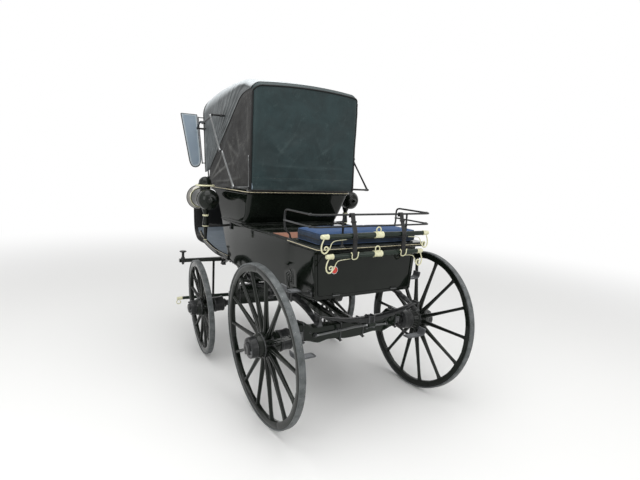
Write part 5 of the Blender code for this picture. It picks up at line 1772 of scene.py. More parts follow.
@dataclass
class Hood:
    """The folding hood: leather, piping, stitching, bows and irons."""

    lift: float = 0.016
    leg_steps: int = 40
    corner_steps: int = 16
    crown_steps: int = 20

    def line(self, angle: float, lift: float, sag: float = 0.0) -> list[tuple[float, float]]:
        """Half of the leather's line at one angle, foot to crown: (x, reach).

        Args:
            angle: lean of the line's plane, in degrees from upright.
            lift: how far the leather stands off the bow.
            sag: how far the crown hangs below that.

        Returns:
            Pairs of (x, reach from the pin), foot to crown.
        """
        reach = bow_size(angle, "reach") + lift - sag
        half = bow_size(angle, "half") + lift - sag * 0.3
        corner = bow_size(angle, "corner")
        crown = bow_size(angle, "crown")
        shoulder = reach - crown
        low_x = 0.5905 + lift
        points = []
        for k in range(self.leg_steps):
            share = 0.10 + 0.90 * k / self.leg_steps
            points.append((low_x + (half - low_x) * share, (shoulder - corner) * share))
        for k in range(self.corner_steps + 1):
            t = math.pi / 2 * k / self.corner_steps
            points.append((half - corner + corner * math.cos(t),
                           shoulder - corner + corner * math.sin(t)))
        flat = half - corner
        for k in range(1, self.crown_steps + 1):
            share = 1 - k / self.crown_steps
            points.append((flat * share, reach - crown * share * share))
        return points

    def across(self, angle: float, lift: float, sag: float = 0.0) -> list[tuple[float, float]]:
        """The whole line, from the left foot over the crown to the right foot."""
        half = self.line(angle, lift, sag)
        return half + [(-x, r) for x, r in reversed(half[:-1])]

    @staticmethod
    def set_back(angle: float, x: float, reach: float) -> float:
        """The angle of a leather line's point: on the sides the rear ridge leans further forward.

        Args:
            angle: lean of the line's plane, in degrees.
            x: how far out the point lies.
            reach: how far it lies from the pin.

        Returns:
            The lean of that point, in degrees.
        """
        near = min(max((62.0 - angle) / 15.0, 0.0), 1.0)
        low = min(max((1.062 - reach) / 0.20, 0.0), 1.0) if abs(x) > 0.36 else 0.0
        return angle + 5.8 * near * math.sin(low * math.pi / 2)

    def placed(self, angle: float, x: float, reach: float) -> Vector:
        """A leather line's point in space."""
        return about_pin(reach, self.set_back(angle, x, reach), x)

    def top_skin(self) -> Skin:
        """The leather over the bows, sagging between them and ridged over each.

        Returns:
            The sheet from the rear bow to the front bow.
        """
        marks = [b.angle for b in BOWS]
        near = [mark + gap for mark in marks[1:] for gap in (-0.7, -0.35, 0, 0.35, 0.7)]
        angles = sorted({45.1, 110.5, *np.linspace(45.5, 110.2, 68), *near})
        rows = []
        for angle in angles:
            k = int(np.searchsorted(marks, angle)) if angle < 108 else 4
            low = marks[max(k - 1, 0)]
            high = marks[min(k, 3)]
            share = (angle - low) / (high - low) if high > low else 0.0
            sag = 0.0085 * math.sin(math.pi * min(max(share, 0), 1)) ** 0.8
            ahead = 0.006 * max(angle - 108.0, 0.0) / 2.5
            rows.append([self.placed(angle, x, r) - Vector((0, ahead, 0)) for x,
                         r in self.across(angle, self.lift, sag)])
        points = np.array([[tuple(p) for p in row] for row in rows])
        v = np.repeat(np.radians(np.array(angles))[:, None] * 0.9, points.shape[1], axis=1)
        step = np.linalg.norm(np.diff(points, axis=1), axis=2)
        u = np.concatenate([np.zeros((len(angles), 1)), np.cumsum(step, axis=1)], axis=1)
        u -= u[:, -1:] / 2
        skin = Skin(points, u, v)
        near = np.min(np.abs(np.array(angles)[:, None] - np.array(marks)[None, :]), axis=1)
        free = np.clip((near - 0.8) / 4.0, 0, 1)[:, None]
        legs = np.clip((np.abs(u) - 0.55) / 0.25, 0, 1)
        height = 0.0022 * ripple(u, v, 5, 3.0) * free * (0.45 + legs * 0.55)
        height += 0.0018 * ripple(u * 0.35, v * 3.2, 11, 5.0) * free * legs
        welts = np.array([51.5, 56.5, 62.0, 67.0, 73.5, 81.0, 108.0])
        near = np.min(np.abs(np.array(angles)[:, None] - welts[None, :]), axis=1)
        ridge = np.exp(-(near / 0.55) ** 2)[:, None] * (0.75 + 0.25 * ripple(u, v, 31, 3.0))
        height = height + 0.0042 * ridge
        skin.raise_by(height)
        self.top_fold = np.clip(ridge * (0.35 + 0.25 * ripple(u, v, 3, 6.0))
                                + np.maximum(ripple(u, v * 2, 8, 7.0) - 1.1, 0) * legs * 0.6, 0, 1)
        return skin

    def back_skin(self) -> Skin:
        """The back curtain and its quarters, from the belt rail up to the rear bow.

        Returns:
            The sheet from the left corner to the right one.
        """
        edge_angle, ridge_angle = 44.6, 42.7
        belt_back, belt_half = -0.772, 0.4855
        ridge = self.across(ridge_angle, self.lift)
        flat = bow_size(ridge_angle, "half") - bow_size(ridge_angle, "corner")
        levels = [*np.linspace(0, 0.12, 9), *np.linspace(0.14, 1.0, 52)]
        rows = []
        for level in levels:
            row = []
            for x, r in ridge:
                top = self.placed(ridge_angle, x, r)
                side = 1 if x >= 0 else -1
                foot_y = min(max(top.y, HOOD_PIN.y + 0.042), belt_back + self.lift)
                share = (foot_y - HOOD_PIN.y) / (belt_back - HOOD_PIN.y)
                foot_x = side * (0.5905 + self.lift
                                 + (belt_half - 0.5905) * share) if abs(x) > flat else x
                row.append(Vector((foot_x, foot_y, BELT_Z + 0.0162)).lerp(top, float(level)))
            rows.append(row)
        for angle in np.linspace(ridge_angle, edge_angle, 6)[1:]:
            rows.append([self.placed(float(angle), x, r) for x,
                         r in self.across(float(angle), self.lift)])
        points = np.array([[tuple(p) for p in row] for row in rows])
        step = np.hypot(np.diff(points[0, :, 0]), np.diff(points[0, :, 1]))
        s = np.concatenate([[0], np.cumsum(step)])
        u = np.repeat((s[-1] / 2 - s)[None, :], len(rows), axis=0)
        v = points[:, :, 2]
        skin = Skin(points, u, v)
        count = len(levels)
        hold = np.ones(len(rows))
        hold[:4] = (0, 0.3, 0.7, 1.0)
        hold[count - 5:] = [0.8, 0.6, 0.4, 0.2, 0.0] + [0.0] * 5
        hold = hold[:, None]
        corner = 1 - np.exp(-((np.abs(u) - 0.492) / 0.035) ** 2)
        soft = (0.0042 * ripple(u, v, 21, 2.2)
                + 0.0016 * ripple(u, v, 4, 7.0)) * hold * (0.25 + 0.75 * corner)
        lines = [Crease((-0.47, 1.790), (0.47, 1.800), 0.010, 0.0030, -0.012),
                 Crease((0.10, 2.08), (0.30, 1.84), 0.014, 0.0030, 0.01),
                 Crease((0.36, 2.00), (0.12, 1.83), 0.010, 0.0024, 0.012),
                 Crease((-0.28, 2.02), (-0.06, 1.86), 0.011, 0.0022, -0.01),
                 Crease((-0.05, 2.10), (-0.20, 1.84), 0.012, 0.0020, 0.008),
                 Crease((0.02, 1.95), (0.20, 1.74), 0.009, 0.0020, 0.01),
                 Crease((0.44, 2.27), (0.435, 1.80), 0.016, 0.0030),
                 Crease((-0.44, 2.25), (-0.43, 1.78), 0.016, 0.0028),
                 Crease((-0.40, 1.93), (-0.18, 1.80), 0.009, 0.0018, 0.01)]
        for side in (1, -1):
            for start, end, wide, deep, bow in (
                    ((1.22, 1.640), (0.98, 1.93), 0.012, 0.0052, 0.014),
                                                ((1.21, 1.630), (0.84, 1.80), 0.011, 0.0048, -0.012),
                    ((1.18, 1.618), (0.66, 1.68), 0.010, 0.0040, 0.010),
                                                ((0.96, 2.02), (0.72, 1.84), 0.013, 0.0042, 0.016),
                    ((0.90, 1.93), (0.80, 1.74), 0.012, 0.0036, -0.010),
                                                ((0.78, 2.10), (0.70, 1.86), 0.014, 0.0036, 0.010),
                    ((0.70, 1.98), (0.56, 1.78), 0.012, 0.0034, -0.012),
                                                ((0.62, 2.24), (0.56, 1.90), 0.016, 0.0036, 0.006),
                    ((1.12, 1.79), (1.00, 1.68), 0.009, 0.0030, 0.006),
                                                ((0.64, 1.76), (0.52, 1.70), 0.008, 0.0026, 0.004)):
                lines.append(Crease((side * start[0], start[1]), (side * end[0], end[1]), wide,
                                    deep, bow * side))
        folds = sum((line.over(u, v) for line in lines), np.zeros_like(u)) * hold
        hem = 0.0016 * (v < 1.684) * (np.abs(u) < 0.487)
        skin.raise_by(soft + folds + hem - 0.0012 * np.exp(-((v - 1.684) / 0.004) ** 2)
                      * (np.abs(u) < 0.487))
        self.back_fold = np.clip(folds / 0.0046 * 0.75
                                 + np.maximum(ripple(u, v, 9, 8.0) - 1.0, 0) * 0.35, 0, 1)
        column = np.arange(points.shape[1])
        self.back_side = (column < self.leg_steps) | (column >= points.shape[1] - 1 - self.leg_steps)
        return skin

    @staticmethod
    def store_fold(made: bpy.types.Object, fold: np.ndarray) -> None:
        """Keep each outer point's fold in the mesh for the leather's shader.

        Args:
            made: the leather's object.
            fold: how deep each outer point is folded.
        """
        values = np.zeros(len(made.data.vertices), np.float32)
        flat = fold.ravel()
        values[:flat.size] = flat
        made.data.attributes.new("fold", "FLOAT", "POINT").data.foreach_set("value", values)

    def leather(self, name: str, skin: Skin, finishes: Sequence[Finish], node: str,
                fold: np.ndarray) -> bpy.types.Object:
        """Make one leather piece: outer finishes by face mark, and the lining last.

        Args:
            name: the piece's name.
            skin: the sheet.
            finishes: the outer finish, and for a curtain the quarters' finish.
            node: the CAD node it stands for.
            fold: how creased each outer point is.

        Returns:
            The object.
        """
        solid = skin.solid()
        solid.faces.ensure_lookup_table()
        piece = Piece(name, "main_hoop" if node == "hood_top" else "carriage")
        piece.finishes = [*finishes, LINING]
        rows, columns = skin.points.shape[:2]
        per_skin = (rows - 1) * (columns - 1)
        for index, face in enumerate(solid.faces):
            if index < per_skin:
                side = len(finishes) > 1 and self.back_side[index % (columns - 1)]
                face.material_index = 1 if side else 0
            elif index < 2 * per_skin:
                face.material_index = len(finishes)
            else:
                face.material_index = 0
        mesh = bpy.data.meshes.new("sheet")
        solid.to_mesh(mesh)
        solid.free()
        piece.solid.from_mesh(mesh)
        bpy.data.meshes.remove(mesh)
        made = piece.done(node, angle=60.0)
        self.store_fold(made, fold)
        return made

    def build(self) -> None:
        """Make leather, trimmings, bows, irons and wings."""
        self.build_leather()
        for bow in BOWS:
            self.build_bow(bow)
        for side, label in ((1, "left"), (-1, "right")):
            self.build_irons(side, label)
            Wing(side, label).build()

    def build_leather(self) -> None:
        """The two sheets, sewn and piped."""
        top, back = self.top_skin(), self.back_skin()
        over = self.leather("hood_roof_leather", top, [ROOF], "hood_top", self.top_fold)
        behind = self.leather("hood_curtain_leather", back, [CURTAIN, QUARTER], "hood_back",
                              self.back_fold)
        edging = Piece("hood_roof_binding", "main_hoop")
        for row, radius in ((0, 0.0048), (-1, 0.0062)):
            line = top.points[row]
            edging.add(tube([tuple(p) for p in line], radius, 8), BINDING)
        facing = top.normals()
        for row in (2, -3):
            path = top.points[row] + facing[row] * 0.0006
            edging.add(Workshop.row(Bead.STITCH, path, facing[row], (0.0024, 0.0007, 0.0006), THREAD,
                                    0.0075), THREAD, tidy=False)
        for bow in BOWS[1:3]:
            row = int(np.argmin(np.abs(np.degrees(top.v[:, 0] / 0.9) - bow.angle - 0.75)))
            path = top.points[row] + facing[row] * 0.0005
            edging.add(Workshop.row(Bead.STITCH, path, facing[row], (0.0024, 0.0007, 0.0006), THREAD,
                                    0.0075), THREAD, tidy=False)
        binding = edging.done()
        piping = self.curtain_piping(back)
        self.crumple([over, binding], (0, -0.891, 0.454), HOOD_PIN + Vector((0, AXLE_Y, 0)), 0.25)
        self.crumple([behind, piping], (0, -0.30, 0.95), (0, AXLE_Y - 0.79, 1.600), 0.15)
        for made, skin, extra in ((over, top, binding), (behind, back, piping)):
            area = skin.area()
            long = 2.6 if made is over else 2.5
            round(area / long * 1.12, 3)
            LOG.info("%s: %.2f square metres", made.name, area)

    @staticmethod
    def along(skin: Skin, row: int, column: int, way: float) -> np.ndarray:
        """The place on a row of the sheet a little way past one of its points.

        Args:
            skin: the sheet.
            row: row of the sheet.
            column: the point on that row.
            way: how far past the point, in metres.

        Returns:
            The place in space.
        """
        points = skin.points[row] + skin.normals()[row] * 0.0015
        run = np.concatenate([[0], np.cumsum(np.linalg.norm(np.diff(points, axis=0), axis=1))])
        return np.array([np.interp(run[column] + way, run, points[:, axis]) for axis in range(3)])

    def curtain_piping(self, back: Skin) -> bpy.types.Object:
        """Piping up both corners and over the rear bow, the hem's stitching and the foot's binding.

        Args:
            back: the curtain's sheet.

        Returns:
            The piping's object.
        """
        piece = Piece("hood_curtain_piping", "carriage")
        normals = back.normals()
        ridge_row = back.points.shape[0] - 6
        left = self.leg_steps
        right = back.points.shape[1] - 1 - left
        up = [self.along(back, j, left, 0.004) for j in range(0, ridge_row)]
        over = [back.points[ridge_row, i] + normals[ridge_row, i] * 0.0015
                for i in range(left + 1, right)]
        down = [self.along(back, j, right, -0.026) for j in range(ridge_row - 1, -1, -1)]
        path = [tuple(p) for p in [*up, *over, *down]]
        sizes = [1.0] * len(up) + [0.62] * len(over) + [1.0] * len(down)
        piece.add(tube(path, 0.0108, 12, sizes), PIPING)
        for column in (left - 1, right + 1):
            rows = [j for j in range(ridge_row) if 1.605 < back.points[j, column, 2] < 1.865]
            upright = [tuple(back.points[j, column] + normals[j, column] * 0.0055) for j in rows]
            # Uprights in the pale iron: a painted highlight.
            piece.add(tube(upright, 0.0034, 10), GLINT_IRON)
        for column, way in ((left, 1), (right, -1)):
            for step in (2,):
                beside = [back.points[j, column + way * step] + normals[j, column + way * step] * 0.0004
                          for j in range(1, ridge_row)]
                facing = [normals[j, column + way * step] for j in range(1, ridge_row)]
                piece.add(Workshop.row(Bead.STITCH, beside, facing, (0.0022, 0.0007, 0.0006), THREAD,
                                       0.0070), THREAD, tidy=False)
        foot = [tuple(back.points[0, i] + normals[0, i] * 0.001) for i in range(back.points.shape[1])]
        piece.add(tube(foot, 0.0052, 8), BINDING)
        for height in (1.690, 1.680):
            row = int(np.argmin(np.abs(back.points[:, left + self.corner_steps + 4, 2] - height)))
            span = range(left + 1, right)
            beside = [back.points[row, i] + normals[row, i] * 0.0006 for i in span]
            facing = [normals[row, i] for i in span]
            piece.add(Workshop.row(Bead.STITCH, beside, facing, (0.0024, 0.0008, 0.0006), THREAD,
                                   0.0080), THREAD, tidy=False)
        return piece.done()

    @staticmethod
    def crumple(made: Sequence[bpy.types.Object], axis: Spot, anchor: Spot, keep: float) -> None:
        """Give each piece its own copy of its mesh."""
        for item in made:
            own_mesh(item)

    def build_bow(self, bow: Bow) -> None:
        """One hoop: an ash bow covered in black, with iron eyes on the pin, and its studs.

        Args:
            bow: the bow to make.
        """
        piece = Piece(f"{bow.name}_bow_hoop", f"{bow.name}_hoop")
        shoulder = bow.reach - bow.crown
        half = [(bow.foot, 0.0), (bow.foot, 0.070),
                (bow.foot + (bow.half - bow.foot) * 0.5, (shoulder - bow.corner) * 0.55)]
        half += [(bow.half - bow.corner + bow.corner * math.cos(t),
                  shoulder - bow.corner + bow.corner * math.sin(t))
                 for t in (math.pi / 2 * k / 10 for k in range(11))]
        half += [((bow.half - bow.corner) * s, bow.reach - bow.crown * s * s)
                 for s in (0.75, 0.5, 0.25, 0.0)]
        plane = half + [(-x, r) for x, r in reversed(half[:-1])]
        path = [tuple(about_pin(r, bow.angle, x)) for x, r in plane]
        angle = math.radians(bow.angle)
        piece.add(swept(path, rounded(0.020, 0.008, 0.0035, 3), (0, -math.sin(angle), math.cos(angle))),
                  COACH)
        for side in (1, -1):
            foot = side * bow.foot
            eye = soft_profile([(-0.0045, 0.0093), (-0.0045, 0.017), (0.0045, 0.017), (0.0045, 0.0093)],
                               0.0008)
            piece.add(turned(eye, "x", (foot, *HOOD_PIN.yz), 28, True), IRON)
        if bow.name in STUDS:
            for side in (1, -1):
                self.add_stud(piece, bow, side)
        if bow.name == "front":
            for side in (1, -1):
                self.add_hinges(piece, bow, side)
        piece.done(f"{bow.name}_bow")

    @staticmethod
    def leg_x(bow: Bow, reach: float) -> float:
        """Where a bow's leg stands, side to side, at a distance from the pin."""
        return bow.foot + (bow.half - bow.foot) * min(reach / (bow.reach - bow.crown - bow.corner), 1.0)

    def add_stud(self, piece: Piece, bow: Bow, side: int) -> None:
        """The stud through the leather that takes the irons, with its washer.

        Args:
            piece: the hoop that takes the stud.
            bow: its bow.
            side: 1 for left, -1 for right.
        """
        reach = STUDS[bow.name]
        at = about_pin(reach, bow.angle)
        root = self.leg_x(bow, reach) - 0.002
        shoulder = (LAYERS["rear_link"]
                    - 0.0082) if bow.name == "main" else (LAYERS["front_link"] - 0.0087)
        end = 0.6740 if bow.name == "main" else shoulder
        profile = [(root, 0.0), (root, 0.0080), (0.578, 0.0080), (0.578, 0.0150), (0.581, 0.0165),
                   (0.586, 0.0150),
                   (0.592, 0.0090), (shoulder, 0.0080), (shoulder, 0.0048), (end, 0.0048), (end, 0.0)]
        profile = [(side * a, r) for a, r in profile]
        piece.add(turned(profile, "x", (0, at.y, at.z), 20), IRON)

    def add_hinges(self, piece: Piece, bow: Bow, side: int) -> None:
        """The irons that hold the ends of a wing's hinge.

        Args:
            piece: the hoop that takes the irons.
            bow: its bow.
            side: 1 for left, -1 for right.
        """
        angle = math.radians(bow.angle)
        out = Vector((0, math.cos(angle), math.sin(angle)))
        ahead = Vector((0, -math.sin(angle), math.cos(angle)))
        for reach, way in ((Wing.low + Wing.barrel[0], -1), (Wing.low + Wing.barrel[1], 1)):
            level = HOOD_PIN + out * (reach + way * 0.006)
            leg = Vector((side * self.leg_x(bow, reach), 0, 0)) + level
            pin = Vector((side * Wing.x, 0, 0)) + ahead * Wing.ahead
            piece.add(bar([leg, leg + ahead * Wing.ahead * 0.5, leg + ahead * Wing.ahead, pin + level],
                          out, 0.009, 0.0032, 0.001), IRON)
            pin += HOOD_PIN + out * (reach + way * 0.0003)
            piece.add(tube([pin, pin + out * (way * 0.012)], 0.0060, 14), IRON)

    def build_irons(self, side: int, label: str) -> None:
        """On one side the two-part prop to the main stud and the two-part stay to the front stud.

        Args:
            side: 1 for left, -1 for right.
            label: the side's name in the nodes.
        """
        main, front = BOWS[1], BOWS[3]
        stud = about_pin(STUDS["main"], main.angle)
        tip = about_pin(STUDS["front"], front.angle)
        stud, tip = (stud.y, stud.z), (tip.y, tip.z)
        rear, fore, upper = LAYERS["rear_link"], LAYERS["front_link"], LAYERS["upper_prop"]
        # Left side rods take the pale iron as a painted highlight; the right side's stay plain black.
        rod = GLINT_IRON if side > 0 else IRON
        bend = (stud[0] - 0.120, stud[1] - 0.036)
        bow_up = (STAY_KNUCKLE[0] - 0.110, STAY_KNUCKLE[1] + 0.012)
        rods = ((f"lower_prop_{label}", f"prop_lower_{label}", [PROP_FOOT, PROP_KNUCKLE],
                 rear, rod, upper),
                (f"upper_prop_{label}", f"prop_upper_{label}", [PROP_KNUCKLE, stud], upper, rod, None),
                (f"rear_stay_{label}", f"stay_rear_{label}", [stud, bend, STAY_KNUCKLE],
                 rear, IRON, fore),
                (f"front_stay_{label}", f"stay_front_{label}", [STAY_KNUCKLE, bow_up, tip],
                 fore, IRON, None))
        for body, node, line, layer, finish, peg in rods:
            piece = Piece(f"{node}_iron", body)
            points = [(side * layer, y, z) for y, z in line]
            path = curve(points, 10)
            count = len(path) - 1
            sizes = [1.0 - 0.18 * math.sin(math.pi * k / count) for k in range(count + 1)]
            thick = 1.35 if "stay" in body else 1.15
            oval = [(0.0076 * math.cos(t), 0.0096 * thick * math.sin(t))
                    for t in (math.tau * k / 16 for k in range(16))]
            piece.add(swept(path, oval, (1, 0, 0), sizes), finish)
            for spot in (points[0], points[-1]):
                inner = 0.0050 if spot == points[0] else 0.0
                if inner:
                    ring = soft_profile([(-0.0068, inner), (-0.0068, 0.0108), (0.0068, 0.0108),
                                         (0.0068, inner)], 0.001)
                    piece.add(turned(ring, "x", spot, 24, True), IRON)
                else:
                    boss = [(-0.0068, 0.0), (-0.0068, 0.0085), (-0.003, 0.0112), (0.003, 0.0112),
                            (0.0068, 0.0085), (0.0068, 0.0)]
                    piece.add(turned(soft_profile(boss, 0.001), "x", spot, 24), IRON)
            if peg is not None:
                way = 1 if peg > layer else -1
                far = side * (peg + way * 0.0095)
                low, high = sorted((side * layer, far))
                pin = drum(low, high, 0.0046)
                piece.add(turned(pin, "x", (0, *line[-1]), 14), IRON)
                piece.add(turned(soft_profile(drum(far - 0.0022, far + 0.0022, 0.0092),
                                              0.0008), "x", (0, *line[-1]), 6), IRON)
            piece.done(node)


@dataclass
class Wing:
    """A hinged side wing: lined leather on a wire, sewn round, in its own frame at the hinge's foot."""

    side: int
    label: str
    x: float = 0.616
    ahead: float = 0.046
    low: float = 0.105
    length: float = 0.535
    barrel: tuple[float, float] = (0.060, 0.500)

    def outline(self, inset: float) -> list[tuple[float, float]]:
        """The panel's edge, drawn in by an inset: (out from the hinge, up).

        Args:
            inset: how far the edge is drawn in, in metres.

        Returns:
            Corners of the panel.
        """
        corners = [(0.0085, 0.075, 0.02), (0.028, 0.024, 0.02), (0.066, 0.006, 0.03),
                   (0.104, 0.016, 0.03), (0.122, 0.056, 0.03),
                   (0.146, 0.300, 0.2), (0.168, self.length, 0.004), (0.0085, self.length, 0.004)]
        spots = [Vector((a, b)) for a, b, _ in corners]
        inner = []
        for k, here in enumerate(spots):
            one = (here - spots[k - 1]).normalized()
            two = (spots[(k + 1) % len(spots)] - here).normalized()
            half = (Vector((-one.y, one.x)) + Vector((-two.y, two.x))).normalized()
            inner.append(here + half * (inset / max(half.dot(Vector((-one.y, one.x))), 0.35)))
        points = []
        for k, (here, (_a, _b, soft)) in enumerate(zip(inner, corners)):
            before, after = inner[k - 1] - here, inner[(k + 1) % len(inner)] - here
            cut = min(soft, before.length * 0.45, after.length * 0.45)
            start, end = here + before.normalized() * cut, here + after.normalized() * cut
            points += [start.lerp(here, t).lerp(here.lerp(end, t), t)
                       for t in (0.0, 0.25, 0.5, 0.75, 1.0)]
        return [tuple(p) for p in points]

    def build(self) -> None:
        """Make the panel, its rolled edge, border stitching and hinge barrel."""
        angle = math.radians(BOWS[3].angle)
        foot = HOOD_PIN + Vector((self.side * self.x,
                                  self.low * math.cos(angle) - self.ahead * math.sin(angle),
                                  self.low * math.sin(angle) + self.ahead * math.cos(angle)))
        place = CHASSIS @ Matrix.Translation(foot) @ Matrix.Rotation(angle - math.pi / 2, 4, "X")
        piece = Piece(f"hood_wing_{self.label}_panel", f"wing_{self.label}", place)
        s = self.side
        for y, finish, inset in ((0.0028, LINING, 0.0045), (-0.0028, BINDING, 0.0045)):
            rings = []
            for shrink, rise in ((inset, 0.0), (inset, 0.0008), (0.016, 0.0013), (0.022, 0.0010),
                                 (0.034, 0.0019)):
                level = y + math.copysign(rise, y)
                rings.append([(s * a, level, b) for a, b in self.outline(shrink)])
            base = [(s * a, 0.0, b) for a, b in self.outline(inset)]
            piece.add(loft([base, *rings]), finish)
            way = math.copysign(1.0, y)
            border = [(0.0065, 0.0), (0.0065, 0.0016), (0.0120, 0.0026), (0.0185, 0.0022),
                      (0.0205, 0.0006), (0.0205, 0.0)]
            rings = [[(s * a, y + way * rise, b) for a, b in self.outline(shrink)] for shrink,
                     rise in border]
            piece.add(loft(rings, loop=True), WELT if way > 0 else BINDING)
        edge = [(s * a, 0.0, b) for a, b in self.outline(0.004)]
        piece.add(tube(edge, 0.0050, 10, loop=True), BINDING)
        for y in (0.0056, -0.0056):
            line = [(s * a, y, b) for a, b in self.outline(0.0150)]
            piece.add(Workshop.row(Bead.STITCH, [*line, line[0]], (0, math.copysign(1, y), 0),
                                   (0.0022, 0.0008, 0.0007), PALE_THREAD,
                                   0.0065), PALE_THREAD, tidy=False)
        hinge = [(0, 0, self.barrel[0]), (0, 0, self.barrel[1])]
        piece.add(tube(hinge, 0.0058, 14), IRON)
        piece.done(f"hood_wing_{self.label}")


# Beds, perch and fore-carriage

TRANSOM = (0.655, 0.735)
SPLINTER_Y = -0.620
SPLINTER_Z = 0.762


def chamfered(wide: float, deep: float, cut: float) -> list[tuple[float, float]]:
    """A timber's section, its corners taken off, with a small round at each edge of the cut.

    Args:
        wide: width of the timber.
        deep: its depth.
        cut: width of the cut.

    Returns:
        The section's corners.
    """
    w, d = wide / 2, deep / 2
    return [(w, -d + cut), (w, d - cut), (w - cut, d), (-w + cut, d), (-w, d - cut), (-w, -d + cut),
            (-w + cut, -d), (w - cut, -d)]


@dataclass
class RearGear:
    """The rear axle bed with its clips and lower steps, the stay under the springs, and the perch."""

    bar_z: float
    half_deep: float = 0.045

    def build(self) -> None:
        """Make the three pieces."""
        self.build_bed()
        self.build_stay()
        self.build_perch()

    def build_bed(self) -> None:
        """The scalloped bed: bolts, clips round the axle, and the irons of the lower steps."""
        piece = Piece("rear_axle_bed_timber", "carriage")
        lower = curve([(0.400, 0.563, 0), (0.370, 0.5555, 0), (0.340, 0.545, 0), (0.300, 0.535, 0),
                       (0.260, 0.540, 0), (0.220, 0.548, 0),
                       (0.170, 0.546, 0), (0.120, 0.540, 0), (0.060, 0.532, 0)], 3)
        upper = curve([(0.330, 0.655, 0), (0.352, 0.658, 0), (0.372, 0.669, 0), (0.390, 0.684, 0),
                       (0.404, 0.690, 0)], 3)
        half = [(0.0, 0.655), *[(p.x, p.y) for p in upper], (0.480, 0.690), (0.480, 0.566),
                *[(p.x, p.y) for p in lower], (0.0, 0.531)]
        bed = Bed(piece, self.half_deep, self.bar_z)
        bed.wood(half)
        places = [(0.130, 0.600), (0.370, 0.622)]
        bed.studs(places, self.half_deep, 0.0095)
        bed.studs(places, -self.half_deep, 0.0095)
        for x in (0.105, 0.430):
            for side in (1, -1):
                for part in u_clip(side * x, 0.0, 0.530 if x < 0.2 else 0.561,
                                   0.6555 if x < 0.2 else 0.6905, 0.0465, "y", 0.0050):
                    piece.add(part, IRON)
        for side in (1, -1):
            iron = curve(at_sides([(0.455, 0.036, 0.600), (0.460, 0.062, 0.565), (0.475, 0.100, 0.532),
                                   (0.490, 0.145, 0.516),
                                   (0.500, 0.190, 0.513)], side), 5)
            piece.add(tube(iron, 0.0098, 12), IRON)
            palm = at_sides([(0.452, self.half_deep + 0.003, 0.640),
                             (0.453, self.half_deep + 0.003, 0.585)], side)
            piece.add(bar(palm, (1, 0, 0), 0.034, 0.006, 0.002), IRON)
            piece.add(Workshop.row(Bead.STUD,
                                   at_sides([(0.4525, self.half_deep + 0.006, 0.632),
                                             (0.4525, self.half_deep + 0.006, 0.596)],
                                                       side), (0, 1, 0), (0.0070, 0.0070, 0.0045),
                                   IRON), IRON, tidy=False)
            tread(piece, side, (0.530, 0.190, 0.520), 0.112)
        piece.done("rear_axle_bed")

    def build_stay(self) -> None:
        """The flat iron-shod bearer under both cross springs, and the round stays down to the bed."""
        piece = Piece("rear_spring_stay_iron", "carriage")
        z, low = 0.7042, 0.6678
        path = curve([(0, -0.505, z), (0, -0.410, z), (0, -0.28, z - 0.012), (0, -0.14, low + 0.006),
                      (0, -0.060, low), (0, 0.060, low),
                      (0, 0.110, low + 0.006), (0, 0.170, z - 0.008), (0, 0.205, z), (0, 0.285, z)], 4)
        piece.add(swept(path, rounded(0.059, 0.0245, 0.0065, 3), (1, 0, 0)), GEAR_BLACK_GRASS_REFLECTION)
        plate = [p + Vector((0, 0, -0.0128)) for p in path if p.y > -0.40]
        piece.add(bar(plate, (1, 0, 0), 0.044, 0.0045, 0.0015), IRON)
        for side in (1, -1):
            stay = curve(at_sides([(0.026, 0.268, 0.706), (0.080, 0.180, 0.668), (0.120, 0.098, 0.626),
                                   (0.142, 0.057, 0.608),
                                   (0.200, 0.055, 0.604), (0.330, 0.055, 0.598)], side), 6)
            # Stays in the pale iron: a painted highlight along the rods.
            piece.add(tube(stay, 0.0088, 12), GLINT_IRON)
            for spot in ((0.330, 0.0520, 0.598), (0.140, 0.0505, 0.608)):
                x = side * spot[0]
                eye = [(-0.0050, 0.0), (-0.0050, 0.0165), (0.0, 0.0180), (0.0060, 0.0160),
                       (0.0075, 0.0110), (0.0130, 0.0100), (0.0145, 0.0)]
                piece.add(turned(eye, "y", (x, spot[1], spot[2]), 18), IRON)
        for y in (-0.480, 0.262):
            for part in u_clip(0.0, y, z - 0.0165, z + 0.0145, 0.0315, "x", 0.0042):
                piece.add(part, IRON)
        piece.done("rear_spring_stay")

    def build_perch(self) -> None:
        """The chamfered centre pole with its iron plate and bands."""
        piece = Piece("perch_timber", "carriage")
        stations = [(-0.0455, 0.600, 0.070), (-0.30, 0.602, 0.066), (-0.65, 0.640, 0.064),
                    (-0.955, 0.695, 0.074)]
        ys = np.linspace(stations[0][0], stations[-1][0], 22)
        spots = curve([(y, z, deep) for y, z, deep in stations], 8)
        rings = []
        for y in ys:
            order = sorted(spots, key=lambda p: p.x)
            z = float(np.interp(y, [p.x for p in order], [p.y for p in order]))
            deep = float(np.interp(y, [p.x for p in order], [p.z for p in order]))
            gap = min(abs(y - ys[0]), abs(y - ys[-1]))
            cut = 0.003 + 0.007 * min(1.0, max(0.0, gap - 0.05) / 0.05)
            rings.append([(a, y, z + b) for a, b in chamfered(0.064, deep, cut)])
        piece.add(loft(rings), GEAR_BLACK_GRASS_REFLECTION)
        for y in (-0.085, -0.905):
            z = float(np.interp(-y, [0.0455, 0.30, 0.65, 0.955], [0.600, 0.602, 0.640, 0.695]))
            band = [(a, y, z + b) for a, b in rounded(0.070, 0.078, 0.006, 3)]
            piece.add(swept(band, rounded(0.030, 0.003, 0.001, 2), (0, 1, 0), loop=True), IRON)
        piece.done("perch")


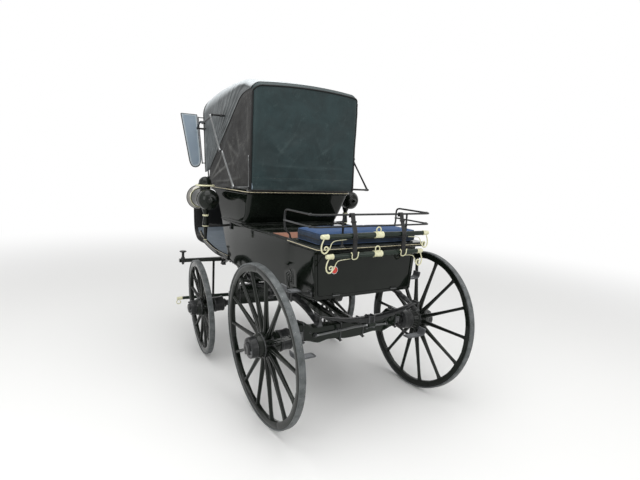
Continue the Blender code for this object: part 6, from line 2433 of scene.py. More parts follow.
@dataclass
class TopCarriage:
    """The fixed transom: spring bearer, pads, upper wheel plate and king pin."""

    y: float = -WHEELBASE

    def build(self) -> None:
        """Make the piece."""
        low, high = TRANSOM
        y = self.y
        piece = Piece("top_carriage_timber", "carriage")
        half = [(0.0, low), (0.180, low), (0.255, low + 0.004), (0.345, low + 0.022),
                (0.345, high - 0.014), (0.300, high), (0.0, high)]
        outline = [*half, *[(-x, z) for x, z in reversed(half) if x > 1e-6]]
        piece.add(drawn(outline, "y", y - 0.045, y + 0.045, 0.008), GEAR_BLACK_GRASS_REFLECTION)
        bearer = [(0, y - 0.385, (low + high) / 2), (0, y + 0.385, (low + high) / 2)]
        piece.add(swept(bearer, chamfered(0.070, high - low - 0.008, 0.010), (1, 0, 0)), GEAR_BLACK_GRASS_REFLECTION)
        for s in (1, -1):
            piece.add(block((-0.040, y + s * 0.340 - 0.035, high - 0.020),
                            (0.040, y + s * 0.340 + 0.035, 0.737), 0.004), IRON)
            for part in u_clip(0.0, y + s * 0.340, low - 0.001, high + 0.001, 0.0385, "x", 0.0045):
                piece.add(part, IRON)
        plate = [(low - 0.014, 0.168), (low - 0.014, 0.212), (low + 0.002, 0.212), (low + 0.002, 0.168)]
        piece.add(turned([plate[0], (low - 0.014, 0.209), (low - 0.011, 0.212), (low - 0.001, 0.212),
                          (low + 0.002, 0.209), plate[3]], "z",
                         (0, y, 0), 72, True), IRON)
        pin = [(0.448, 0.0), (0.448, 0.010), (0.452, 0.013), (high, 0.013), (high, 0.024),
               (high + 0.012, 0.024), (high + 0.018, 0.013),
               (high + 0.018, 0.0)]
        piece.add(turned(pin, "z", (0, y, 0), 24), IRON)
        piece.done("top_carriage")


@dataclass
class ForeCarriage:
    """What turns under the boot: bed with its ring, futchells, splinter bar with roller bolts."""

    bar_z: float

    def build(self) -> None:
        """Make the three pieces."""
        self.build_bed()
        self.build_futchells()
        self.build_splinter()

    def build_bed(self) -> None:
        """The front axle bed, the turntable ring and its bolts."""
        piece = Piece("front_axle_bed_timber", "fore_carriage", KING_PIN)
        upper = curve([(0.285, 0.6277, 0), (0.315, 0.622, 0), (0.345, 0.600, 0), (0.370, 0.580, 0),
                       (0.398, 0.564, 0), (0.425, 0.560, 0)], 3)
        half = [(0.0, 0.6277), *[(p.x, p.y) for p in upper], (0.425, self.bar_z - 0.012),
                (0.300, self.bar_z - 0.015),
                (0.200, self.bar_z - 0.004), (0.0, self.bar_z - 0.002)]
        bed = Bed(piece, 0.046, self.bar_z)
        bed.wood(half, 0.006)
        bed.studs([(0.110, 0.560), (0.260, 0.575)], 0.046, 0.0085)
        bed.studs([(0.110, 0.560), (0.260, 0.575)], -0.046, 0.0085)
        ring = [(0.6247, 0.166), (0.6247, 0.214), (0.6270, 0.216), (0.6385, 0.216), (0.6405, 0.214),
                (0.6405, 0.166), (0.6385, 0.164),
                (0.6270, 0.164)]
        piece.add(turned(ring, "z", (0, 0, 0), 72, True), IRON)
        for side in (1, -1):
            for x in (0.335, 0.400):
                high = 0.600 if x < 0.35 else 0.564
                for part in u_clip(side * x, 0.0, self.bar_z - 0.024, high + 0.006,
                                   0.0475, "y", 0.0045):
                    piece.add(part, IRON)
        piece.done("front_axle_bed")

    def build_futchells(self) -> None:
        """Two curved futchells, chamfered, and the plate between them."""
        seat = 0.7217
        piece = Piece("futchells_timber", "fore_carriage", KING_PIN)
        for side in (1, -1):
            path = curve(at_sides([(0.145, -0.047, 0.578), (0.146, -0.120, 0.579),
                                   (0.152, -0.230, 0.592), (0.160, -0.340, 0.610),
                                   (0.166, -0.420, 0.638), (0.176, -0.490, 0.684),
                                   (0.185, -0.550, seat - 0.004), (0.190, -0.582, seat),
                                   (0.198, -0.655, seat)], side), 4)
            piece.add(swept(path, chamfered(0.0395, 0.0395, 0.006), (1, 0, 0)), GEAR_BLACK_GRASS_REFLECTION)
            strap = [p + Vector((0, 0, 0.0208)) for p in path if p.y < -0.16]
            piece.add(bar(strap, (1, 0, 0), 0.026, 0.0030, 0.001), IRON)
            bolts = [tuple(path[k] + Vector((0, 0, 0.0225))) for k in range(10, len(path) - 2, 7)]
            piece.add(Workshop.row(Bead.STUD, bolts, (0, 0, 1), (0.0065, 0.0065, 0.0035), IRON),
                      IRON, tidy=False)
        piece.add(block((-0.163, -0.365, 0.602), (0.163, -0.315, 0.626), 0.004), GEAR_BLACK_GRASS_REFLECTION)
        piece.done("futchells")

    def build_splinter(self) -> None:
        """The splinter bar, tapered to its ends, with iron caps and four roller bolts."""
        piece = Piece("splinter_bar_timber", "fore_carriage", KING_PIN)
        rings = []
        for x in np.linspace(-0.790, 0.790, 41):
            share = min(max((abs(x) - 0.35) / 0.44, 0.0), 1.0)
            wide, deep = 0.056 - 0.018 * share, 0.042 - 0.006 * share
            gap = 0.790 - abs(x)
            cut = 0.003 + 0.005 * min(1.0, max(0.0, gap - 0.06) / 0.05)
            rings.append([(x, SPLINTER_Y + a, SPLINTER_Z + b) for a, b in chamfered(wide, deep, cut)])
        piece.add(loft(rings), GEAR_BLACK_GRASS_REFLECTION)
        for x in (-0.752, -0.245, 0.245, 0.752):
            wide, deep = (0.060, 0.045) if abs(x) < 0.5 else (0.0420, 0.0395)
            loop = [(x, SPLINTER_Y + a, SPLINTER_Z + b) for a, b in rounded(wide, deep, 0.005, 3)]
            piece.add(swept(loop, rounded(0.040, 0.0026, 0.0009, 2), (1, 0, 0), loop=True), IRON)
            bolt = [(0.720, 0.0), (0.720, 0.0105), (0.7225, 0.0120), (0.7400, 0.0120), (0.7400, 0.0095),
                    (0.7850, 0.0095), (0.7850, 0.0200),
                    (0.7880, 0.0215), (0.7940, 0.0180), (0.8000, 0.0135), (0.8370, 0.0130),
                    (0.8450, 0.0180), (0.8500, 0.0290),
                    (0.8530, 0.0350), (0.8560, 0.0360), (0.8600, 0.0350), (0.8640, 0.0290),
                    (0.8660, 0.0150), (0.8660, 0.0)]
            piece.add(turned(bolt, "z", (x, SPLINTER_Y, 0), 30), IRON)
        piece.done("splinter_bar")


@dataclass
class LowBar:
    """The bar that hangs in two straps under the splinter bar, with cream caps and hooks."""

    half: float = 0.812
    drop: float = 0.385

    def build(self) -> None:
        """Make the piece."""
        piece = Piece("low_bar_hung", "hanging_bar",
                      KING_PIN @ Matrix.Translation((0, SPLINTER_Y, 0.742)))
        wood = [(-self.half + 0.002, 0.0), (-self.half + 0.002, 0.0125), (-self.half + 0.03, 0.0160),
                (-0.40, 0.0188), (0.0, 0.0192),
                (0.40, 0.0188), (self.half - 0.03, 0.0160), (self.half - 0.002, 0.0125),
                (self.half - 0.002, 0.0)]
        piece.add(turned(wood, "x", (0, 0, -self.drop), 24), SPARE_BAR_GRASS_REFLECTION)
        for side in (1, -1):
            cap = [(0.0, 0.0), (0.0, 0.0120), (0.0025, 0.0145), (0.0480, 0.0170), (0.0500, 0.0180),
                   (0.0550, 0.0180), (0.0560, 0.0)]
            piece.add(turned([(side * (self.half - a), r) for a, r in cap], "x",
                             (0, 0, -self.drop), 24), CREAM)
            path = [Vector((side * (self.half - 0.020), 0, -self.drop - 0.012))]
            centre = Vector((side * (self.half - 0.020), 0, -self.drop - 0.040))
            for k in range(25):
                share = k / 24
                angle = math.pi / 2 - math.tau * 0.95 * share
                reach = 0.0255 * (1 - 0.35 * share)
                path.append(centre
                            + Vector((side * math.cos(angle) * reach, 0.002 * share,
                                      math.sin(angle) * reach)))
            last = len(path) - 1
            piece.add(tube(path, 0.0040, 10,
                           [0.8 + 0.4 * math.sin(math.pi * k / last) for k in range(last + 1)]), CREAM)
            strap = [(side * 0.430, 0, -0.0005), (side * 0.430, 0, -0.06),
                     (side * 0.430, 0, -self.drop + 0.030)]
            piece.add(bar(strap, (1, 0, 0), 0.0240, 0.0055, 0.0018), HARNESS)
            loop = [(side * 0.430, a, -self.drop + b) for a, b in rounded(0.050, 0.050, 0.024, 6)]
            piece.add(swept(loop, rounded(0.0240, 0.0050, 0.0015, 2), (1, 0, 0), loop=True), HARNESS)
            for dx in (-0.0085, 0.0085):
                line = [(side * 0.430 + dx, 0.0030, -0.020),
                        (side * 0.430 + dx, 0.0030, -self.drop + 0.050)]
                piece.add(Workshop.row(Bead.STITCH, line, (0, 1, 0), (0.0018, 0.0006, 0.0005), THREAD,
                                       0.0060), THREAD, tidy=False)
        piece.done("low_bar")


# Body

BOOT_BACK_Y = 0.178
BOOT_DECK = 1.275
SEAT_DECK = 1.250
REAR_SEAT_FRONT_Y = -0.156


def boot_half(y: float, z: float) -> float:
    """Half the boot's width: wide under the front seat, drawn in behind and below.

    Args:
        y: place along the boot.
        z: height.

    Returns:
        Half the width there, in metres.
    """
    share = min(max((y + 0.90) / (BOOT_BACK_Y + 0.90), 0.0), 1.0)
    share = share * share * (3 - 2 * share)
    lower = min(max((BOOT_DECK - z) / 0.37, 0.0), 1.0)
    return 0.500 - 0.045 * share - 0.032 * lower * (0.35 + 0.65 * share)


def moulding(path: Sequence[Spot], radius: float, across: Spot | None = None) -> bmesh.types.BMesh:
    """A half-round bead along a path.

    Args:
        path: line of the bead.
        radius: radius of the bead.
        across: direction across it.

    Returns:
        The closed bead.
    """
    outline = [(radius * math.cos(t), radius * 0.8 * math.sin(t))
               for t in (math.tau * k / 10 for k in range(10))]
    return swept(path, outline, across)


@dataclass
class Boot:
    """The long body under both seats, with its beads and the leather deck behind the driving seat."""

    ledge: float = REAR_SEAT_FRONT_Y - 0.001
    front_low: float = -1.250
    front_high: float = -1.420
    pad_front: float = -0.440

    def low_z(self, y: float) -> float:
        """Height of the belly."""
        return float(np.interp(y, [-1.25, -0.90, -0.55, -0.24, 0.02, 0.08, BOOT_BACK_Y],
                               [0.905, 0.876, 0.872, 0.885, 0.885, 0.888, 0.905]))

    def build(self) -> None:
        """Make the shell, its mouldings, deck and reflector."""
        piece = Piece("boot_shell", "carriage")
        piece.add(softened(self.shell(), 0.004, 3, 40.0), COACH)
        for side in (1, -1):
            self.add_beads(piece, side)
        self.add_back(piece)
        self.add_deck(piece)
        piece.done("boot")
        self.build_reflector()

    def shell(self) -> bmesh.types.BMesh:
        """The panelled body, lofted along its length.

        Returns:
            The closed body.
        """
        ys = [BOOT_BACK_Y, 0.13, 0.08, 0.02, -0.06, self.ledge]
        stations = [(y, y, self.low_z(y), SEAT_DECK) for y in ys]
        stations += [(y, y, self.low_z(y), BOOT_DECK)
                     for y in (self.ledge - 0.0002, -0.24, -0.40, -0.55, -0.72, -0.90, -1.08)]
        stations.append((self.front_low, self.front_high, self.low_z(-1.25), BOOT_DECK))
        rings = []
        steps = 8
        for y_low, y_high, low, high in stations:
            left = []
            for k in range(steps + 1):
                share = k / steps
                y, z = y_low + (y_high - y_low) * share, low + (high - low) * share
                left.append((boot_half(y, z) + 0.0040 * math.sin(math.pi * share), y, z))
            rings.append(left + [(-x, y, z) for x, y, z in reversed(left)])
        return loft(rings)

    def add_beads(self, piece: Piece, side: int) -> None:
        """Beads along the side: the deck edge, the belly edge, the back corner.

        Args:
            piece: the boot.
            side: 1 for left, -1 for right.
        """
        top = [(boot_half(y, 1.265) + 0.0035, y, 1.266) for y in np.linspace(-1.38, self.ledge, 14)]
        low = [(boot_half(y, 0.90) + 0.003, y, self.low_z(y) + 0.010)
               for y in np.linspace(BOOT_BACK_Y - 0.01, -1.22, 24)]
        corner = [(boot_half(BOOT_BACK_Y, z) + 0.0015, BOOT_BACK_Y - 0.0035, z)
                  for z in np.linspace(0.915, 1.245, 9)]
        seat = [(boot_half(y, 1.243) + 0.003, y, 1.243)
                for y in np.linspace(self.ledge + 0.01, BOOT_BACK_Y - 0.004, 6)]
        for path, size, finish in ((top, 0.0055, COACH), (low, 0.0050, COACH), (corner, 0.0058, COACH),
                                   (seat, 0.0045, COACH)):
            piece.add(moulding(at_sides(path, side), size), finish)

    def add_back(self, piece: Piece) -> None:
        """The back panel: a framed door with hinges and a catch.

        Args:
            piece: the boot.
        """
        y = BOOT_BACK_Y + 0.002
        low, high, half = 0.926, 1.232, 0.405
        frame_path = [(half, y, low), (half + 0.022, y, high), (-half - 0.022, y, high),
                      (-half, y, low)]
        loop = []
        for k, here in enumerate(frame_path):
            here = Vector(here)
            before, after = Vector(frame_path[k - 1]) - here, Vector(frame_path[(k + 1) % 4]) - here
            a, b = here + before.normalized() * 0.018, here + after.normalized() * 0.018
            loop += [a.lerp(here, t).lerp(here.lerp(b, t), t) for t in (0.0, 0.33, 0.67, 1.0)]
        piece.add(swept(loop, rounded(0.009, 0.0042, 0.0016, 2), (0, 1, 0), loop=True), COACH)
        for x in (-0.26, 0.26):
            for z, sign in ((low + 0.004, 1), (low - 0.006, -1)):
                piece.add(block((x - 0.028, y - 0.003, min(z, z + sign * 0.012)),
                                (x + 0.028, y + 0.0022, max(z, z + sign * 0.012))),
                          COACH)
            piece.add(tube([(x - 0.029, y + 0.0030, low - 0.001), (x + 0.029, y + 0.0030, low - 0.001)],
                           0.0042, 10), IRON)
        catch = [(0.0, 0.0), (0.0, 0.013), (0.004, 0.014), (0.007, 0.010), (0.0075, 0.0)]
        piece.add(turned(catch, "y", (0, y - 0.001, high - 0.030), 20), IRON)

    def add_deck(self, piece: Piece) -> None:
        """The terracotta leather on the deck between the seats, with a rolled edge, and beads across
        the deck.

        Args:
            piece: the boot.
        """
        half = 0.455
        grid = bmesh.new()
        xs, ys = np.linspace(-half, half, 40), np.linspace(self.pad_front, self.ledge - 0.004, 24)
        rng = np.random.default_rng(12)
        waves = [(rng.uniform(2, 9), rng.uniform(2, 9), rng.uniform(0, 6)) for _ in range(6)]
        rows = []
        for y in ys:
            row = []
            for x in xs:
                lift = sum(math.sin(a * x + b * y * 2 + c) for a, b, c in waves) * 0.0005
                row.append((x, y, BOOT_DECK + 0.0052 + lift))
            rows.append(row)
        top = [[grid.verts.new(p) for p in row] for row in rows]
        foot = [[grid.verts.new((p[0], p[1], BOOT_DECK - 0.0010)) for p in row] for row in rows]
        count_y, count_x = len(ys), len(xs)
        for j in range(count_y - 1):
            for i in range(count_x - 1):
                grid.faces.new((top[j][i], top[j][i + 1], top[j + 1][i + 1], top[j + 1][i]))
                grid.faces.new((foot[j][i], foot[j + 1][i], foot[j + 1][i + 1], foot[j][i + 1]))
        edge = [(0, i) for i in range(count_x - 1)] + [(j, count_x - 1) for j in range(count_y - 1)]
        edge += [(count_y - 1, i)
                 for i in range(count_x - 1, 0, -1)] + [(j, 0) for j in range(count_y - 1, 0, -1)]
        for k, (j, i) in enumerate(edge):
            jn, i_n = edge[(k + 1) % len(edge)]
            grid.faces.new((foot[j][i], foot[jn][i_n], top[jn][i_n], top[j][i]))
        piece.add(grid, TAN)
        for y, size in ((self.pad_front - 0.012, 0.0085), (-0.66, 0.0060), (-0.915, 0.0070)):
            bead = [(boot_half(y, BOOT_DECK), y, BOOT_DECK + 0.001),
                    (-boot_half(y, BOOT_DECK), y, BOOT_DECK + 0.001)]
            piece.add(moulding(bead, size, (0, 1, 0)), COACH)
        for side in (1, -1):
            run = np.linspace(-0.93, self.ledge - 0.006, 10)
            edge = [(boot_half(y, BOOT_DECK) - 0.012, y, BOOT_DECK + 0.001) for y in run]
            piece.add(moulding(at_sides(edge, side), 0.0075), COACH)

    def build_reflector(self) -> None:
        """A red reflector in a bright rim, on the back panel."""
        piece = Piece("back_reflector", "carriage")
        at = (0.288, BOOT_BACK_Y, 1.108)
        rim = [(0.000, 0.0), (0.000, 0.0275), (0.006, 0.0285), (0.0105, 0.0270), (0.0110, 0.0240),
               (0.0080, 0.0235), (0.0080, 0.0)]
        piece.add(turned(soft_profile(rim, 0.0008), "y", at, 48), BRIGHT)
        face = [(0.0075, 0.0), (0.0075, 0.0232), (0.0095, 0.0230), (0.0108, 0.0190), (0.0118, 0.0)]
        piece.add(turned(face, "y", at, 40), RED)
        piece.done()


@dataclass
class DrivingSeat:
    """The flared seat body with its belt rail, cream line, pins and outriggers for the hood."""

    rows: int = 15
    wall: float = 0.022

    @staticmethod
    def level(share: float) -> tuple[float, float, float, float, float]:
        """Height and plan sizes at a share of the wall's height.

        Args:
            share: 0 at the wall's foot, 1 at the belt.

        Returns:
            Height, back, half width behind, half width ahead and front.
        """
        z = BOOT_DECK + 0.0003 + (BELT_Z - BOOT_DECK) * share
        tip = max(share - 0.75, 0.0) / 0.25
        return (z, -0.955 + 0.160 * share ** 0.8, 0.470 + 0.035 * share, 0.500 + 0.085 * share ** 0.8,
                -1.400 + 0.045 * share - 0.255 * tip * tip)

    @staticmethod
    def plan(back: float, half_back: float, half_front: float, front: float,
             corner: float) -> list[tuple[float, float]]:
        """Plan path from the left arm round the back to the right arm.

        Args:
            back: how far back the wall goes.
            half_back: half its width behind.
            half_front: half its width ahead.
            front: where the arms end.
            corner: radius of the corners.

        Returns:
            Points of (x, y).
        """
        left = [(half_front * (1 - s) + half_back * s, front * (1 - s) + back * s)
                for s in (0.0, 0.08, 0.2, 0.4, 0.6, 0.75)]
        left = [(x, y) for x, y in left if y < back - corner * 1.3]
        left += [(half_back - corner + corner * math.cos(t), back - corner + corner * math.sin(t))
                 for t in (math.pi / 2 * k / 8 for k in range(9))]
        left += [((half_back - corner) * s, back) for s in (0.66, 0.33)]
        return left + [(-x, y) for x, y in reversed(left)]

    @staticmethod
    def walled(path: Sequence[tuple[float, float]], thickness: float) -> list[tuple[float, float]]:
        """The path and its inner side, as one loop.

        Args:
            path: the outer side.
            thickness: thickness of the wall.

        Returns:
            The closed loop.
        """
        spots = [Vector(p) for p in path]
        inner = []
        for i, spot in enumerate(spots):
            ahead = spots[min(i + 1, len(spots) - 1)] - spots[max(i - 1, 0)]
            inner.append(spot + Vector((-ahead.y, ahead.x)).normalized() * thickness)
        return [*[tuple(p) for p in spots], *[tuple(p) for p in reversed(inner)]]

    def band(self, low: float, high: float, share: float, out: float,
             thickness: float) -> bmesh.types.BMesh:
        """A rail round the seat: its section is softened.

        Args:
            low: height of its foot.
            high: height of its top.
            share: the wall's level that it follows.
            out: how far it stands out from the wall.
            thickness: its thickness.

        Returns:
            The closed rail.
        """
        _z, back, hb, hf, front = self.level(share)
        rings = []
        for z, inset in ((low, 0.003), (low + 0.003, 0.0), (high - 0.003, 0.0), (high, 0.003)):
            path = self.plan(back + out - inset, hb + out - inset, hf + out - inset,
                             front - out * 0.6 + inset, 0.060)
            rings.append([(x, y, z) for x, y in self.walled(path, thickness - 2 * inset)])
        return loft(rings)

    def build(self) -> None:
        """Make the wall, rails, lines, irons and the inside squab."""
        piece = Piece("seat_body_panels", "carriage")
        rings = []
        for k in range(self.rows + 1):
            z, back, hb, hf, front = self.level(k / self.rows)
            rings.append([(x, y, z) for x,
                          y in self.walled(self.plan(back, hb, hf, front, 0.055), self.wall)])
        piece.add(loft(rings), COACH)
        z = self.level(1.0)[0]
        piece.add(self.band(z - 0.016, z + 0.014, 1.0, 0.010, 0.040), COACH)
        base = self.level(0.0)[0]
        piece.add(self.band(base, base + 0.018, 0.0, 0.012, 0.030), COACH)
        for height, share, out, size, finish in ((z - 0.0045, 1.0, 0.0115, 0.0034, LINE),
                                                 (z - 0.024, 0.93, 0.0035, 0.0045, COACH),
                                                 (base + 0.026, 0.05, 0.002, 0.0040, COACH)):
            _z, back, hb, hf, front = self.level(share)
            path = self.plan(back + out, hb + out, hf + out, front, 0.062)
            piece.add(moulding([(x, y, height) for x, y in path], size), finish)
        for side in (1, -1):
            self.add_irons(piece, side)
        piece.done("seat_body")
        self.build_squab()

    def add_irons(self, piece: Piece, side: int) -> None:
        """Pin and plate for the bows, and the outrigger that carries the prop's foot.

        Args:
            piece: the seat's body.
            side: 1 for left, -1 for right.
        """
        z = self.level(1.0)[0]
        pin_y, pin_z = HOOD_PIN.y, HOOD_PIN.z
        outline = [(pin_y - 0.020, z - 0.010), (pin_y + 0.020, z - 0.010), (pin_y + 0.019, pin_z)]
        over = np.linspace(0.2, math.pi - 0.2, 8)
        outline += [(pin_y + 0.017 * math.cos(t), pin_z + 0.016 * math.sin(t)) for t in over]
        outline.append((pin_y - 0.019, pin_z))
        low, high = sorted((side * 0.5885, side * 0.5955))
        piece.add(drawn(outline, "x", low, high, 0.0012), IRON)
        piece.add(turned(soft_profile(drum(side * 0.540, side * 0.593, 0.0080),
                                      0.0008), "x", (0, pin_y, pin_z), 20), IRON)
        head = [(side * 0.5952, 0.0), (side * 0.5952, 0.0130), (side * 0.6000, 0.0120),
                (side * 0.6030, 0.006), (side * 0.6035, 0.0)]
        piece.add(turned(head, "x", (0, pin_y, pin_z), 20), IRON)
        foot_y, foot_z = PROP_FOOT
        path = [(0.506, -0.824, 1.576), (0.510, -0.812, 1.596), (0.528, -0.796, 1.6045),
                (0.590, -0.765, 1.6058),
                (0.650, foot_y, foot_z)]
        arm = curve(at_sides(path, side), 6)
        sizes = [1.20 - 0.2 * k / (len(arm) - 1) for k in range(len(arm))]
        # The left arm takes the pale iron as a painted highlight; the right one is plain black.
        piece.add(tube(arm, 0.0082, 12, sizes), GLINT_IRON if side > 0 else IRON)
        shoulder = LAYERS["rear_link"] - 0.0080
        boss = [(0.636, 0.0), (0.636, 0.0085), (0.640, 0.0108), (shoulder, 0.0108), (shoulder, 0.0048),
                (0.6735, 0.0048),
                (0.6735, 0.0)]
        piece.add(turned([(side * a, r) for a, r in boss], "x", (0, foot_y, foot_z), 20), IRON)
        nut = [(0.6737, 0.0), (0.6737, 0.0095), (0.6800, 0.0088), (0.6815, 0.0)]
        piece.add(turned([(side * a, r) for a, r in nut], "x", (0, foot_y, foot_z), 6), IRON)
        plate = [(0.455, -0.832, 1.5845), (0.490, -0.812, 1.5845), (0.512, -0.800, 1.5800)]
        piece.add(bar(at_sides(plate, side), (0, 1, 0), 0.034, 0.004, 0.001), IRON)

    def build_squab(self) -> None:
        """The padded back inside the wall, drawn in along a grid of channels."""
        piece = Piece("seat_squab", "carriage")
        rows, columns = 22, 60
        outer, inner = [], []
        for j in range(rows + 1):
            share = 0.42 + 0.52 * j / rows
            z, back, hb, hf, front = self.level(share)
            path = [Vector(p) for p in self.plan(back - 0.024, hb - 0.024, hf - 0.024,
                                                 front + 0.07, 0.050)]
            lengths = np.concatenate([[0], np.cumsum([(b - a).length for a, b in zip(path, path[1:])])])
            outer_row, inner_row = [], []
            for i in range(columns + 1):
                at = lengths[-1] * i / columns
                x = float(np.interp(at, lengths, [p.x for p in path]))
                y = float(np.interp(at, lengths, [p.y for p in path]))
                near = Vector((float(np.interp(at + 0.01, lengths, [p.x for p in path])) - x,
                               float(np.interp(at + 0.01, lengths, [p.y for p in path])) - y))
                if near.length < 1e-4:
                    near = Vector((-1.0, 0.0)) if i < columns else Vector((0.0, -1.0))
                way = Vector((-near.y, near.x)).normalized()
                pad = 0.006 + 0.020 * abs(math.sin(math.pi * i
                                                   / 5)) ** 0.6 * abs(math.sin(math.pi * j / 11)) ** 0.6
                pad *= min(1.0, i / 2, (columns - i) / 2)
                outer_row.append((x, y, z))
                inner_row.append((x + way.x * (pad + 0.002), y + way.y * (pad + 0.002), z))
            outer.append(outer_row)
            inner.append(inner_row)
        solid = bmesh.new()
        skins = [[[solid.verts.new(p) for p in row] for row in grid] for grid in (outer, inner)]
        for skin in skins:
            for j in range(rows):
                for i in range(columns):
                    solid.faces.new((skin[j][i], skin[j][i + 1], skin[j + 1][i + 1], skin[j + 1][i]))
        edge = [(0, i) for i in range(columns)] + [(j, columns) for j in range(rows)]
        edge += [(rows, i) for i in range(columns, 0, -1)] + [(j, 0) for j in range(rows, 0, -1)]
        for k, (j, i) in enumerate(edge):
            jn, i_n = edge[(k + 1) % len(edge)]
            solid.faces.new((skins[0][j][i], skins[0][jn][i_n], skins[1][jn][i_n], skins[1][j][i]))
        piece.add(solid, BOX_CLOTH)
        squab = piece.done()


@dataclass
class ToeBoard:
    """The carpeted floor that rises into the toe-board, its gloss rims, and the leather dash."""

    half: float = 0.500

    def build(self) -> None:
        """Make the floor, rims and dash."""
        under = [(-1.2506, 0.9053), (-1.56, 0.9053), (-1.80, 0.932), (-1.98, 0.972), (-2.085, 1.030)]
        over = [(-2.068, 1.052), (-1.965, 1.000), (-1.79, 0.962), (-1.565, 0.9353), (-1.2649, 0.9353)]
        lower = [(p.x, p.y) for p in curve([(y, z, 0) for y, z in under], 5)]
        upper = [(p.x, p.y) for p in curve([(y, z, 0) for y, z in over], 5)]
        piece = Piece("toe_board_floor", "carriage")
        inner = self.half - 0.012
        piece.add(drawn(lower + upper, "x", -inner, inner, 0.0), COACH)
        rug = [(y, z + 0.0035) for y, z in upper]
        piece.add(drawn([(y, z - 0.002) for y, z in upper] + rug[::-1], "x", -inner + 0.012,
                        inner - 0.012, 0.0015), CARPET)
        for side in (1, -1):
            crest = [(y, z + 0.016) for y, z in upper]
            low, high = sorted((side * (self.half - 0.020), side * self.half))
            piece.add(drawn(lower + crest, "x", low, high, 0.004), COACH)
            edge = [(side * (self.half + 0.0006), y, z - 0.004) for y, z in crest]
            piece.add(moulding(edge, 0.0012), LINE)
            rail = [(side * (self.half - 0.002), y, z + 0.004) for y, z in lower]
            piece.add(moulding(rail, 0.0055), COACH)
        piece.done("toe_board")
        self.build_dash()

    def build_dash(self) -> None:
        """The dash: patent leather over an iron frame, stitched round its edge, lined inside."""
        spots = [(-1.950, 0.958), (-2.030, 0.972), (-2.098, 0.998), (-2.148, 1.040), (-2.178, 1.095),
                 (-2.192, 1.165), (-2.202, 1.265),
                 (-2.206, 1.345), (-2.207, 1.420)]
        path = curve([(0, y, z) for y, z in spots], 5)
        count = len(path) - 1
        rings = []
        edge = []
        for i, point in enumerate(path):
            ahead = path[min(i + 1, count)] - path[max(i - 1, 0)]
            out = Vector((0, ahead.z, -ahead.y)).normalized()
            share = i / count
            reach = 0.520 - 0.10 * max(0.20 - share, 0.0) ** 1.5 * 4 - 0.35 * max(share - 0.85, 0.0)
            middle = point - out * 0.008
            section = []
            for a, b in rounded(reach * 2 - 0.006, 0.012, 0.004, 2):
                belly = 0.0025 * (1 - (a / reach) ** 2) * math.sin(math.pi * share)
                section.append(middle + Vector((a, 0, 0)) + out * (b + math.copysign(belly, b)))
            rings.append(section)
            edge.append((reach - 0.004, middle))
        piece = Piece("dash_panel", "carriage")
        piece.add(loft(rings), PATENT)
        left = [Vector((x, m.y, m.z)) for x, m in edge]
        right = [Vector((-x, m.y, m.z)) for x, m in reversed(edge)]
        top = [Vector((left[-1].x * s, left[-1].y, left[-1].z - 0.002))
               for s in (0.66, 0.33, 0.0, -0.33, -0.66)]
        piece.add(tube([*left, *top, *right], 0.0068, 10), PATENT)
        inside = []
        for x, m in edge[2:-1]:
            inside.append(Vector((x - 0.018, m.y, m.z)))
        for side in (1, -1):
            line = [(side * p.x, p.y + 0.0072, p.z) for p in inside]
            piece.add(Workshop.row(Bead.STITCH, line, (0, 1, 0), (0.0022, 0.0007, 0.0006), THREAD,
                                   0.0070), THREAD, tidy=False)
        pad = []
        for i, p in enumerate(path):
            ahead = path[min(i + 1, count)] - path[max(i - 1, 0)]
            if i > 1 and p.z < 1.085:
                pad.append(p + Vector((0, ahead.z, -ahead.y)).normalized() * 0.0015)
        piece.add(swept(pad, rounded(0.97, 0.004, 0.0018, 2), (1, 0, 0)), CARPET)
        piece.done("dash")


# Rear seat, spare bars, steps

